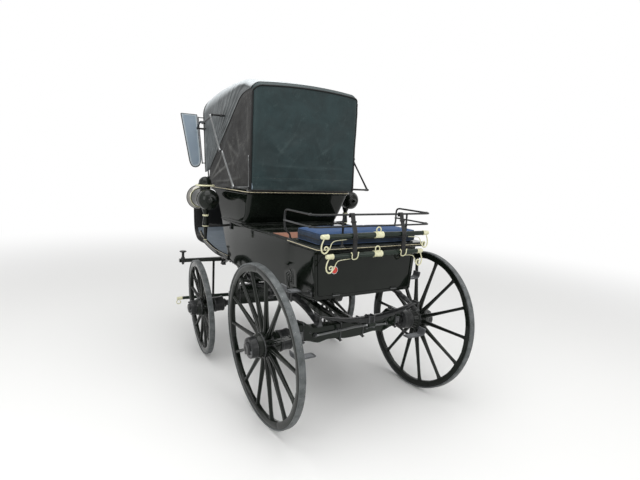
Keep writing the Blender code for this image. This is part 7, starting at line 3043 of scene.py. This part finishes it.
@dataclass
class Cushion:
    """A box cushion: crowned top, pulled-in sides, piped seams and sewn channels."""

    name: str
    node: str
    low: Spot
    high: Spot
    channels: int
    crown: float
    swell: float = 0.008

    def shape(self) -> bmesh.types.BMesh:
        """The closed form before it is filled: a fine box with pulled-in sides and a crown.

        Returns:
            The closed form, with its seams not yet sewn.
        """
        size = Vector(self.high) - Vector(self.low)
        middle = (Vector(self.high) + Vector(self.low)) / 2
        solid = bmesh.new()
        bmesh.ops.create_cube(solid, size=1.0)
        cuts = 17
        bmesh.ops.subdivide_edges(solid, edges=solid.edges, cuts=cuts, use_grid_fill=True)
        for vert in solid.verts:
            u, v, w = vert.co.x * 2, vert.co.y * 2, vert.co.z * 2
            pull = 0.010
            x = u * (size.x / 2
                     - (pull * (1 - v * v) if abs(u) > 0.99 else pull * 0.5 * (1 - v * v) * abs(u)))
            y = v * (size.y / 2 - pull * (1 - u ** 4))
            corner = (u * v) ** 6
            x *= 1 - 0.018 / (size.x / 2) * corner
            y *= 1 - 0.020 / (size.y / 2) * corner
            dome = (1 - u ** 4) * (1 - v ** 4)
            z = w * size.z / 2 - max(w, 0.0) * self.crown * 0.55 * (1 - dome) * 0.6
            bulge = math.cos(w * math.pi / 2) * 0.004
            x += math.copysign(bulge, u) if abs(u) > 0.99 else 0.0
            y += math.copysign(bulge, v) if abs(v) > 0.99 else 0.0
            vert.co = Vector((x, y, z)) * 0.985 + middle
        return solid

    def filled(self, solid: bmesh.types.BMesh) -> bmesh.types.BMesh:
        """Fill the form under pressure by cloth simulation, no point moving further than the swell.

        Args:
            solid: the form; it is used up.

        Returns:
            The filled form.
        """
        bmesh.ops.recalc_face_normals(solid, faces=solid.faces)
        mesh = bpy.data.meshes.new("fill")
        solid.to_mesh(mesh)
        solid.free()
        made = bpy.data.objects.new("fill", mesh)
        bpy.context.scene.collection.objects.link(made)
        remesh = made.modifiers.new("even", "REMESH")
        remesh.mode = "VOXEL"
        remesh.voxel_size = 0.006
        remesh.use_smooth_shade = True
        even = evaluated(made)
        made.modifiers.clear()
        made.data = even
        bpy.data.meshes.remove(mesh)
        start = np.empty(len(even.vertices) * 3)
        even.vertices.foreach_get("co", start)
        cloth = made.modifiers.new("fill", "CLOTH")
        cloth.settings.use_pressure = True
        cloth.settings.uniform_pressure_force = 4.0
        cloth.settings.effector_weights.gravity = 0.0
        cloth.settings.quality = 4
        cloth.point_cache.frame_start, cloth.point_cache.frame_end = 1, 20
        for step in range(1, 21):
            bpy.context.scene.frame_set(step)
        full = evaluated(made)
        end = np.empty(len(full.vertices) * 3)
        full.vertices.foreach_get("co", end)
        move = (end - start).reshape(-1, 3)
        far = np.linalg.norm(move, axis=1)
        move *= np.minimum(1.0, self.swell / np.maximum(far, 1e-9))[:, None]
        even.vertices.foreach_set("co", (start.reshape(-1, 3) + move).ravel())
        made.modifiers.clear()
        bpy.data.meshes.remove(full)
        bpy.context.scene.frame_set(1)
        result = bmesh.new()
        result.from_mesh(even)
        bpy.data.objects.remove(made, do_unlink=True)
        bpy.data.meshes.remove(even)
        return result

    def sew(self, solid: bmesh.types.BMesh) -> None:
        """Draw in the sewn channels and the seams round the boxing, and flatten the underside.

        Args:
            solid: the filled form, which is changed in place.
        """
        low, high = Vector(self.low), Vector(self.high)
        size = high - low
        seams = [low.x + size.x * (k + 1) / self.channels for k in range(self.channels - 1)]
        mid = low.z + size.z * 0.42
        for vert in solid.verts:
            x, y, z = vert.co
            share = min(max((z - low.z) / size.z, 0.0), 1.0)
            for seam in seams:
                dip = math.exp(-((x - seam) / 0.0075) ** 2)
                vert.co.z -= dip * 0.0060 * max(0.0, share - 0.45) / 0.55
            near = math.exp(-((z - mid) / 0.0035) ** 2)
            if near > 0.01 and (abs(x - low.x - size.x / 2) > size.x / 2 - 0.04
                                or abs(y - low.y - size.y / 2) > size.y / 2 - 0.04):
                way = Vector((x - (low.x + high.x) / 2, y - (low.y + high.y) / 2, 0))
                reach = Vector((way.x / size.x, way.y / size.y, 0))
                out = Vector((0, math.copysign(1, way.y), 0))
                if abs(reach.x) > abs(reach.y):
                    out = Vector((math.copysign(1, way.x), 0, 0))
                vert.co -= out * 0.0030 * near
            vert.co.z = max(vert.co.z, low.z + 0.0012)
            vert.co.z = min(vert.co.z, high.z + self.crown * 0.10)

    def around(self, solid: bmesh.types.BMesh, z: float, out: float) -> list[Vector]:
        """The outline of the filled form at a height, a little way out: found by slicing it.

        Args:
            solid: the filled form.
            z: height of the cut.
            out: how far out the line lies.

        Returns:
            The closed line.
        """
        middle = (Vector(self.low) + Vector(self.high)) / 2
        spots = [v.co for v in solid.verts if abs(v.co.z - z) < 0.006]
        count = 72
        reach = [Vector((0, 0, 0))] * count
        for spot in spots:
            angle = math.atan2((spot.y - middle.y) / (self.high[1] - self.low[1]),
                               (spot.x - middle.x) / (self.high[0] - self.low[0]))
            k = int((angle / math.tau % 1.0) * count) % count
            flat = Vector((spot.x - middle.x, spot.y - middle.y, 0))
            if flat.length > reach[k].length:
                reach[k] = flat
        found = [v for v in reach if v.length > 0]
        smooth = [(found[k - 1] + found[k] * 2 + found[(k + 1) % len(found)]) / 4
                  for k in range(len(found))]
        return [Vector((middle.x, middle.y, z)) + v * (1 + out / v.length) for v in smooth]

    def build(self) -> None:
        """Make the cushion and its piping."""
        solid = self.filled(self.shape())
        self.sew(solid)
        z = self.high[2] - self.crown * 0.34
        middle = self.low[2] + (self.high[2] - self.low[2]) * 0.42
        lines = [self.around(solid, z, 0.0005), self.around(solid, self.low[2] + 0.007, 0.0005)]
        seam = self.around(solid, middle, 0.0006)
        bmesh.ops.smooth_vert(solid, verts=solid.verts, factor=0.4, use_axis_x=True, use_axis_y=True,
                              use_axis_z=True)
        piece = Piece(self.name, "carriage")
        piece.add(solid, BOX_CLOTH)
        for line in lines:
            piece.add(tube(line, 0.0034, 8, loop=True), BOX_CLOTH)
        piece.add(tube(seam, 0.0040, 8, loop=True), BINDING)
        made = piece.done(self.node, angle=60)


@dataclass
class GroomSeat:
    """The seat board with its pinstripe, and the iron rail round it."""

    half: float = 0.482
    front: float = -0.156
    back: float = 0.262
    top: float = 1.2836

    def build(self) -> None:
        """Make the board and the rail."""
        piece = Piece("rear_seat_board_moulded", "carriage")
        cut = 0.020
        rings = []
        profile = [(0.016, 0.0), (0.006, 0.004), (0.002, 0.008), (0.0, 0.013), (0.0, 0.026),
                   (0.002, 0.030), (0.007, 0.0333)]
        for inset, rise in profile:
            h, f, b, c = self.half - inset, self.front, self.back - inset, cut - inset * 0.4
            back = [(h - c + c * math.cos(t), b - c + c * math.sin(t))
                    for t in (math.pi / 2 * k / 6 for k in range(7))]
            ring = [(h, f), *back, *[(-x, y) for x, y in reversed(back)], (-h, f)]
            rings.append([(x, y, 1.2503 + rise) for x, y in ring])
        piece.add(loft(rings), COACH)
        h, b = self.half + 0.0006, self.back + 0.0006
        stripe = [(h, self.front + 0.004, 1.2700), (h, b - cut, 1.2700)]
        stripe += [(h - cut + cut * math.cos(t), b - cut + cut * math.sin(t), 1.2700)
                   for t in (math.pi / 2 * k / 6 for k in range(1, 7))]
        piece.add(moulding(both(stripe), 0.0024), LINE)
        under = [(boot_half(y, 1.24) + 0.0046, y, 1.2460)
                 for y in np.linspace(self.front + 0.006, BOOT_BACK_Y - 0.006, 6)]
        for side in (1, -1):
            piece.add(moulding(at_sides(under, side), 0.0040), COACH)
        fascia = [(0.462, 0.1845, 1.2440), (-0.462, 0.1845, 1.2440)]
        piece.add(moulding(fascia, 0.0055), COACH)
        piece.done("rear_seat_board")
        self.build_rail()

    def build_rail(self) -> None:
        """The iron rail: its own feet, the middle rail and two posts, with plates and balls."""
        half, back, front, corner, z = 0.516, 0.252, -0.139, 0.045, self.top
        left = [(0.467, front, z), (0.467, front, z + 0.012), (0.474, front, z + 0.034),
                (0.504, front, z + 0.065),
                (half, front, z + 0.110), (half, front, 1.463), (half, front + 0.012, 1.490),
                (half, front + 0.040, 1.498)]
        top = [(half, back - corner * 1.6, 1.498), (half, back - corner, 1.498)]
        top += [(half - corner + corner * math.cos(t), back - corner + corner * math.sin(t), 1.498)
                for t in (math.pi / 2 * k / 8 for k in range(1, 9))]
        foot = curve(left, 5)
        piece = Piece("seat_rail_iron", "carriage")
        path = [*foot, *[Vector(p) for p in top]]
        whole = [*path, *[Vector((-p.x, p.y, p.z)) for p in reversed(path)]]
        piece.add(tube(whole, 0.0070, 14), IRON)
        middle = [(half, front, 1.418), (half, back - corner, 1.418)]
        middle += [(half - corner + corner * math.cos(t), back - corner + corner * math.sin(t), 1.418)
                   for t in (math.pi / 2 * k / 8 for k in range(1, 9))]
        piece.add(tube(both(middle), 0.0063, 12), IRON)
        for side in (1, -1):
            post = [(0.0, 0.0), (0.0, 0.0155), (0.0045, 0.0150), (0.0075, 0.0105), (0.0110, 0.0092),
                    (0.0160, 0.0070),
                    (0.125, 0.0070), (0.128, 0.0092), (0.1345, 0.0108), (0.1410, 0.0092),
                    (0.144, 0.0068), (0.2040, 0.0068),
                    (0.2075, 0.0088), (0.2140, 0.0100), (0.2200, 0.0072), (0.2200, 0.0)]
            piece.add(turned(post, "z", (side * 0.280, 0.2475, z), 18), IRON)
            for y in (front, 0.0):
                if y == front:
                    flange = [(0.0, 0.0), (0.0, 0.0160), (0.0040, 0.0155), (0.0065, 0.0100),
                              (0.0110, 0.0085), (0.0110, 0.0)]
                    piece.add(turned(flange, "z", (side * 0.467, y, z), 20), IRON)
            ball = [(-0.0095, 0.0), (-0.0085, 0.0060), (-0.0045, 0.0098), (0.0, 0.0108),
                    (0.0045, 0.0098), (0.0085, 0.0060), (0.0095, 0.0)]
            for spot in ((half, front, 1.418), (half, back - corner, 1.418),
                         (half, back - corner, 1.498)):
                piece.add(turned(ball, "z", at_sides([spot], side)[0], 14), IRON)
        piece.done("seat_rail")


@dataclass
class SpareBar:
    """A spare lead bar: a tapered ash bar with ferrules, scrolled hooks and a centre eye."""

    node: str
    z: float
    half: float
    y: float = 0.283

    def build(self) -> None:
        """Make the bar with its metal fittings."""
        piece = Piece(f"{self.node}_bar", "carriage")
        wood = [(-self.half + 0.002, 0.0), (-self.half + 0.002, 0.0125), (-self.half + 0.030, 0.0160),
                (-0.12, 0.0190), (0.0, 0.0198),
                (0.12, 0.0190), (self.half - 0.030, 0.0160), (self.half - 0.002, 0.0125),
                (self.half - 0.002, 0.0)]
        piece.add(turned([(a, r) for a, r in wood], "x", (0, self.y, self.z), 24), SPARE_BAR_GRASS_REFLECTION)
        for side in (1, -1):
            far = side * self.half
            cap = [(0.0, 0.0), (0.0, 0.0120), (0.0025, 0.0148), (0.0060, 0.0148), (0.0075, 0.0158),
                   (0.046, 0.0176), (0.0475, 0.0186),
                   (0.0525, 0.0186), (0.0540, 0.0172), (0.0540, 0.0)]
            piece.add(turned([(far - side * a, r) for a, r in cap], "x", (0, self.y, self.z), 26),
                      CREAM)
            piece.add(self.hook(side), CREAM)
            piece.add(self.tail(side), CREAM)
        band = [(-0.0360, 0.0185), (-0.0360, 0.0228), (-0.0315, 0.0236), (-0.0270, 0.0222),
                (0.0270, 0.0222), (0.0315, 0.0236),
                (0.0360, 0.0228), (0.0360, 0.0185)]
        piece.add(turned(band, "x", (0, self.y, self.z), 28, True), CREAM)
        ring = [(0.0195 + 0.0045 * math.cos(t), 0.0035 * math.sin(t))
                for t in (math.tau * k / 12 for k in range(12))]
        piece.add(turned([(b, a) for a, b in ring], "y", (0, self.y, self.z + 0.034), 30, True), CREAM)
        neck = [(0.014, 0.0), (0.014, 0.0105), (0.0200, 0.0085), (0.0240, 0.0062), (0.0240, 0.0)]
        piece.add(turned(neck, "z", (0, self.y, self.z), 16), CREAM)
        piece.done(self.node)

    def hook(self, side: int) -> bmesh.types.BMesh:
        """A scrolled trace hook under the bar's end, with the wire tail that runs back along the bar.

        Args:
            side: 1 for left, -1 for right.

        Returns:
            The closed hook.
        """
        x = side * (self.half - 0.026)
        spots = [(0.004, -0.010), (0.014, -0.030), (0.0225, -0.052), (0.0245, -0.076), (0.0180, -0.096),
                 (0.0020, -0.108), (-0.0160, -0.103),
                 (-0.0270, -0.088), (-0.0250, -0.071), (-0.0120, -0.064), (-0.0010, -0.071),
                 (-0.0020, -0.083), (-0.0100, -0.086)]
        path = curve([(x + side * a, self.y + 0.004 + 0.0015 * k / len(spots), self.z + b) for k,
                      (a, b) in enumerate(spots)], 4)
        last = len(path) - 1
        sizes = [0.75 + 0.35 * math.sin(math.pi * min(k / last * 1.05, 1.0)) for k in range(last + 1)]
        return tube(path, 0.0050, 10, sizes)

    def tail(self, side: int) -> bmesh.types.BMesh:
        """The wire that springs from the hook's mouth and runs back along under the bar.

        Args:
            side: 1 for left, -1 for right.

        Returns:
            The closed wire.
        """
        x = side * (self.half - 0.026)
        spots = [(-0.0245, -0.096), (-0.0400, -0.078), (-0.0500, -0.052), (-0.0650, -0.034),
                 (-0.0900, -0.0275), (-0.1300, -0.0245),
                 (-0.1700, -0.0225)]
        path = curve([(x + side * a, self.y + 0.004, self.z + b) for a, b in spots], 4)
        last = len(path) - 1
        return tube(path, 0.0030, 8, [1.15 - 0.4 * k / last for k in range(last + 1)])


@dataclass
class BarStrap:
    """A leather strap over the rail and under both spare bars, with its buckle and keeper."""

    side: int
    label: str
    x: float = 0.215

    def line(self, out: float) -> list[Vector]:
        """The strap's middle line, moved out from the bars by a little.

        Args:
            out: how far out of its own line.

        Returns:
            The line's points.
        """
        x = self.side * self.x
        points = [(x, 0.2417, 1.478)]
        points += [(x, 0.252 + 0.0103 * math.cos(t), 1.498 + 0.0103 * math.sin(t))
                   for t in np.linspace(math.pi, 0.15, 7)]
        points += [(x, 0.2690, 1.468), (x, 0.283, 1.430), (x, 0.3040, 1.376)]
        points += [(x, 0.3065, 1.345), (x, 0.3045, 1.300), (x, 0.3050, 1.250)]
        points += [(x, 0.283 + 0.0235 * math.cos(t), 1.226 + 0.0235 * math.sin(t))
                   for t in np.linspace(0.2, -math.pi * 0.86, 9)]
        path = curve(points, 4)
        moved = []
        for i, point in enumerate(path):
            ahead = path[min(i + 1, len(path) - 1)] - path[max(i - 1, 0)]
            way = Vector((0, -ahead.z, ahead.y)).normalized()
            moved.append(point + way * -out)
        return moved

    def build(self) -> None:
        """Make the strap, its edge stitching, keeper and cream buckle."""
        x = self.side * self.x
        piece = Piece(f"{self.label}_strap", "carriage")
        path = self.line(0.0)
        piece.add(bar(path, (1, 0, 0), 0.0360, 0.0040, 0.0014), HARNESS)
        over = [p + Vector((0, 0.0042, 0)) for p in path if 1.235 < p.z < 1.330 and p.y > 0.29]
        piece.add(bar(over, (1, 0, 0), 0.0330, 0.0034, 0.0012), HARNESS)
        for dx in (-0.0150, 0.0150):
            line = [p + Vector((dx, 0.0021, 0)) for p in path if 1.335 < p.z < 1.475 and p.y > 0.262]
            piece.add(Workshop.row(Bead.STITCH, line, (0, 1, 0), (0.0018, 0.0006, 0.0005), THREAD,
                                   0.0055), THREAD, tidy=False)
        for z, y in ((1.452, 0.2755), (1.342, 0.3075)):
            loop = rounded(0.0420, 0.0130, 0.0045, 3)
            ring = [(x + a, y + b, z) for a, b in loop]
            piece.add(swept(ring, rounded(0.0100, 0.0022, 0.0008, 2), (0, 0, 1), loop=True), HARNESS)
        frame_z, frame_y = 1.2280, 0.3120
        loop = [(x - 0.0290, frame_y, frame_z + 0.020), (x - 0.0245, frame_y + 0.004, frame_z + 0.012),
                (x - 0.0240, frame_y + 0.002, frame_z - 0.006),
                (x - 0.0170, frame_y - 0.003, frame_z - 0.0210),
                (x, frame_y - 0.006, frame_z - 0.0260), (x + 0.0170, frame_y - 0.003, frame_z - 0.0210),
                (x + 0.0240, frame_y + 0.002, frame_z - 0.006),
                (x + 0.0245, frame_y + 0.004, frame_z + 0.012),
                (x + 0.0290, frame_y, frame_z + 0.020)]
        piece.add(tube(curve(loop, 4), 0.0036, 10), CREAM)
        for dx in (-0.0290, 0.0290):
            ball = [(-0.0050, 0.0), (-0.0038, 0.0040), (0.0, 0.0054), (0.0038, 0.0040), (0.0050, 0.0)]
            piece.add(turned(ball, "z", (x + dx, frame_y, frame_z + 0.021), 12), CREAM)
        piece.done(self.label)


def tread(piece: Piece, side: int, place: Spot, inward: float = 0.060) -> None:
    """A step plate that turns up at its outer end, ribbed on top.

    Args:
        piece: the piece it belongs to.
        side: +1 left, -1 right.
        place: its middle, on the left.
        inward: how far it reaches in from there.
    """
    x, y, z = place
    path = curve(at_sides([(x - inward, y, z), (x - inward + 0.010, y, z), (x - inward + 0.030, y, z),
                           (x + 0.030, y, z),
                           (x + 0.058, y, z + 0.012), (x + 0.066, y, z + 0.050)], side), 5)
    sizes = [min(1.0, 0.55 + 0.45 * (k / 7) ** 0.5) for k in range(len(path))]
    piece.add(swept(path, rounded(0.075, 0.0078, 0.0022, 2), (0, 1, 0), sizes), STEP_IRON)
    for k in range(7):
        at = y - 0.027 + 0.009 * k
        rib = at_sides([(x - inward + 0.018, at, z + 0.0043), (x + 0.020, at, z + 0.0043)], side)
        piece.add(tube(rib, 0.0016, 6), STEP_IRON)
    boss = [(-0.0075, 0.0), (-0.0075, 0.0125), (-0.004, 0.0140), (0.0, 0.0140), (0.0, 0.0)]
    piece.add(turned(boss, "z", (side * (x - 0.020), y, z), 18), IRON)


@dataclass
class UpperStep:
    """The step on the boot's side: a palm bolted to the panel, a flat arm and the plate."""

    side: int
    label: str

    def build(self) -> None:
        """Make the step."""
        piece = Piece(f"{self.label}_iron", "carriage")
        wall = boot_half(0.110, 0.935)
        side = self.side
        low, high = sorted((side * (wall + 0.0014), side * (wall + 0.009)))
        piece.add(block((low, 0.082, 0.915), (high, 0.145, 0.955), 0.0028), IRON)
        arm = curve(at_sides([(wall + 0.004, 0.110, 0.935), (wall + 0.034, 0.095, 0.937),
                              (wall + 0.079, 0.065, 0.948)], side), 6)
        piece.add(swept(arm, rounded(0.034, 0.0115, 0.004, 3), (0, 1, 0)), IRON)
        for y in (0.092, 0.135):
            head = [(wall + 0.008, 0.0), (wall + 0.008, 0.0070), (wall + 0.0125, 0.0062),
                    (wall + 0.0135, 0.0)]
            piece.add(turned([(side * a, r) for a, r in head], "x", (0, y, 0.945), 6), IRON)
        tread(piece, side, (0.545, 0.060, 0.955))
        piece.done(self.label)


@dataclass
class Lamp:
    """A carriage lamp: round body, dish rim and pane, chimney with a cream disc, long candle tail."""

    side: int
    label: str
    x: float = 0.740
    z: float = 1.476

    def build(self) -> None:
        """Make the lamp, its bracket and the pane."""
        side, x = self.side, self.side * self.x
        piece = Piece(f"{self.label}_body", "carriage")
        drum = [(-1.388, 0.060), (-1.388, 0.078), (-1.396, 0.100), (-1.378, 0.106), (-1.358, 0.100),
                (-1.350, 0.084), (-1.210, 0.078),
                (-1.160, 0.086), (-1.115, 0.090), (-1.075, 0.079), (-1.045, 0.052), (-1.040, 0.026),
                (-1.012, 0.0)]
        smooth = [(p.x, max(p.y, 0.0)) for p in curve([(a, r, 0) for a, r in drum[5:]], 4)]
        piece.add(turned([(-1.374, 0.0), (-1.374, 0.0825), *smooth[:-1], (drum[-1][0], 0.0)], "y",
                         (x, 0, self.z), 48), COACH)
        dish = [(-1.374, 0.060), (-1.388, 0.078), (-1.396, 0.100), (-1.390, 0.1035), (-1.378, 0.1055),
                (-1.358, 0.0985), (-1.346, 0.0850),
                (-1.346, 0.060)]
        piece.add(turned(dish, "y", (x, 0, self.z), 56, True), LAMP_SILVER)
        bead = [(-1.383 + 0.0075 * math.cos(t), 0.1030 + 0.0055 * math.sin(t))
                for t in (math.tau * k / 12 for k in range(12))]
        piece.add(turned(bead, "y", (x, 0, self.z), 56, True), COACH)
        for y, radius in ((-1.338, 0.0865), (-1.150, 0.0880), (-1.085, 0.0835)):
            bead = [(y + 0.0026 * math.cos(t), radius + 0.0026 * math.sin(t))
                    for t in (math.tau * k / 8 for k in range(8))]
            piece.add(turned(bead, "y", (x, 0, self.z), 48, True), CREAM if y < -1.3 else COACH)
        finial = [(-1.034, 0.0), (-1.034, 0.014), (-1.026, 0.0175), (-1.018, 0.013), (-1.012, 0.0065),
                  (-1.0085, 0.0)]
        piece.add(turned(finial, "y", (x, 0, self.z), 24), COACH)
        chimney = [(1.530, 0.0), (1.530, 0.046), (1.556, 0.044), (1.583, 0.046), (1.583, 0.0)]
        piece.add(turned(soft_profile(chimney, 0.002), "z", (x, -1.205, 0), 36), COACH)
        piece.add(Workshop.row(Bead.NUT,
                               [(x + 0.0455 * math.cos(t), -1.205 + 0.0455 * math.sin(t), 1.566)
                                          for t in (math.tau * k / 12 for k in range(12))], (0, 0, 1),
                               (0.0042, 0.0042, 0.0035), COACH),
                  COACH, tidy=False)
        disc = [(1.583, 0.0), (1.583, 0.050), (1.5865, 0.080), (1.5900, 0.0825), (1.5945, 0.0820),
                (1.5985, 0.0780), (1.6000, 0.050),
                (1.6000, 0.0)]
        piece.add(turned(disc, "z", (x, -1.205, 0), 48), CREAM)
        dome = [(1.598, 0.0), (1.598, 0.058), (1.604, 0.060), (1.612, 0.055), (1.632, 0.052),
                (1.645, 0.044), (1.655, 0.034),
                (1.663, 0.020), (1.668, 0.0)]
        piece.add(turned(dome, "z", (x, -1.205, 0), 40), COACH)
        tail = [(1.410, 0.0), (1.410, 0.036), (1.380, 0.031), (1.352, 0.020), (1.345, 0.019),
                (1.326, 0.019), (1.262, 0.0265),
                (1.250, 0.0275), (1.238, 0.0265), (1.230, 0.018), (1.180, 0.0150), (1.125, 0.012),
                (1.116, 0.0095), (1.110, 0.0)]
        piece.add(turned(tail, "z", (x, -1.180, 0), 32), COACH)
        for low, high, radius in ((1.3275, 1.3435, 0.0280), (1.2370, 1.2490, 0.0285),
                                  (1.1180, 1.1245, 0.0140)):
            ring = [(low, 0.015), (low, radius - 0.003), ((low + high) / 2, radius),
                    (high, radius - 0.003), (high, 0.015)]
            if low < 1.12:
                ring = [(low, 0.006), *ring[1:4], (high, 0.006)]
            piece.add(turned(soft_profile(ring, 0.0015) if radius > 0.02 else ring, "z", (x, -1.180, 0),
                             30, True), CREAM)
        arm = [(0.5135, -1.190, 1.243), (0.580, -1.186, 1.240), (0.650, -1.182, 1.244),
               (self.x, -1.180, 1.250)]
        piece.add(tube(curve(at_sides(arm, side), 6), 0.0105, 12), IRON)
        low, high = sorted((side * 0.5022, side * 0.5150))
        piece.add(block((low, -1.215, 1.205), (high, -1.165, 1.268), 0.003), IRON)
        for z in (1.218, 1.256):
            head = [(0.514, 0.0), (0.514, 0.0075), (0.5185, 0.0068), (0.5195, 0.0)]
            piece.add(turned([(side * a, r) for a, r in head], "x", (0, -1.190, z), 6), IRON)
        reflector = [(-1.3745, 0.0), (-1.3745, 0.064), (-1.3765, 0.066), (-1.3785, 0.066),
                     (-1.3800, 0.0650), (-1.3765, 0.030), (-1.3760, 0.0)]
        piece.add(turned(reflector, "y", (x, 0, self.z), 40), BRIGHT)
        rim = [(-1.3965, 0.0775), (-1.4000, 0.0880), (-1.3985, 0.0985), (-1.3955, 0.1010),
               (-1.3930, 0.1000), (-1.3925, 0.0775)]
        piece.add(turned(rim, "y", (x, 0, self.z), 48, True), BRIGHT)
        piece.done(self.label)
        pane = Piece(f"lamp_pane_{self.label[5:]}", "carriage")
        glass = [(-1.3885, 0.0), (-1.3885, 0.0760), (-1.3915, 0.0765), (-1.3955, 0.0640),
                 (-1.3990, 0.0500), (-1.4025, 0.0280), (-1.4040, 0.0)]
        pane.add(turned(glass, "y", (x, 0, self.z), 40), GLASS)
        pane.done(self.label.replace("lamp_", "lamp_glass_"))


# The order of work

REAR_WHEEL = dict(end="rear", radius=0.575 * math.cos(math.pi / 36), spokes=14,
                  half_track=0.731, scale=1.0)
FRONT_WHEEL = dict(end="front", radius=0.444 * math.cos(math.pi / 32), spokes=12,
                   half_track=0.700, scale=0.94)


def hub_height(radius: float) -> float:
    """Height of a leaning wheel's centre over the floor."""
    return radius * math.cos(CAMBER) + 0.023 * math.sin(CAMBER)


REAR_HUB_Z = hub_height(REAR_WHEEL["radius"])
FRONT_HUB_Z = hub_height(FRONT_WHEEL["radius"])


def main() -> None:
    """Build the carriage, then the studio."""
    Studio().build()
    for side in (1, -1):
        Wheel(side=side, height=REAR_HUB_Z, base=CHASSIS, **REAR_WHEEL).build()
        Wheel(side=side, height=FRONT_HUB_Z, base=KING_PIN, **FRONT_WHEEL).build()
    rear = Axle("rear", "carriage", half_track=0.731, height=REAR_HUB_Z, base=CHASSIS)
    front = Axle("front", "fore_carriage", half_track=0.700, height=FRONT_HUB_Z, base=KING_PIN)
    rear.build()
    front.build()
    SpringSet("rear", x=0.440, back_y=0.250, front_y=-0.470, body_z=0.885).build()
    SpringSet("front", x=0.380, back_y=-WHEELBASE + 0.340, front_y=-WHEELBASE - 0.340,
              body_z=0.9053).build()
    RearGear(rear.bar_z).build()
    TopCarriage().build()
    ForeCarriage(front.bar_z).build()
    LowBar().build()
    Boot().build()
    DrivingSeat().build()
    ToeBoard().build()
    Cushion("driving_cushion", "front_cushion", low=(-0.432, -1.440, 1.2765),
            high=(0.432, -1.012, 1.405),
            channels=4, crown=0.040).build()
    Cushion("groom_cushion", "rear_cushion", low=(-0.446, -0.142, 1.2845), high=(0.446, 0.224, 1.372),
            channels=3, crown=0.030).build()
    GroomSeat().build()
    SpareBar("spare_bar_upper", z=1.359, half=0.470).build()
    SpareBar("spare_bar_lower", z=1.226, half=0.425).build()
    for side, label in ((1, "left"), (-1, "right")):
        BarStrap(side, f"bar_strap_{label}").build()
        UpperStep(side, f"upper_step_{label}").build()
        Lamp(side, f"lamp_{label}").build()
    Hood().build()


if __name__ == "__main__":
    logging.basicConfig(level=logging.INFO, format="%(message)s")
    main()
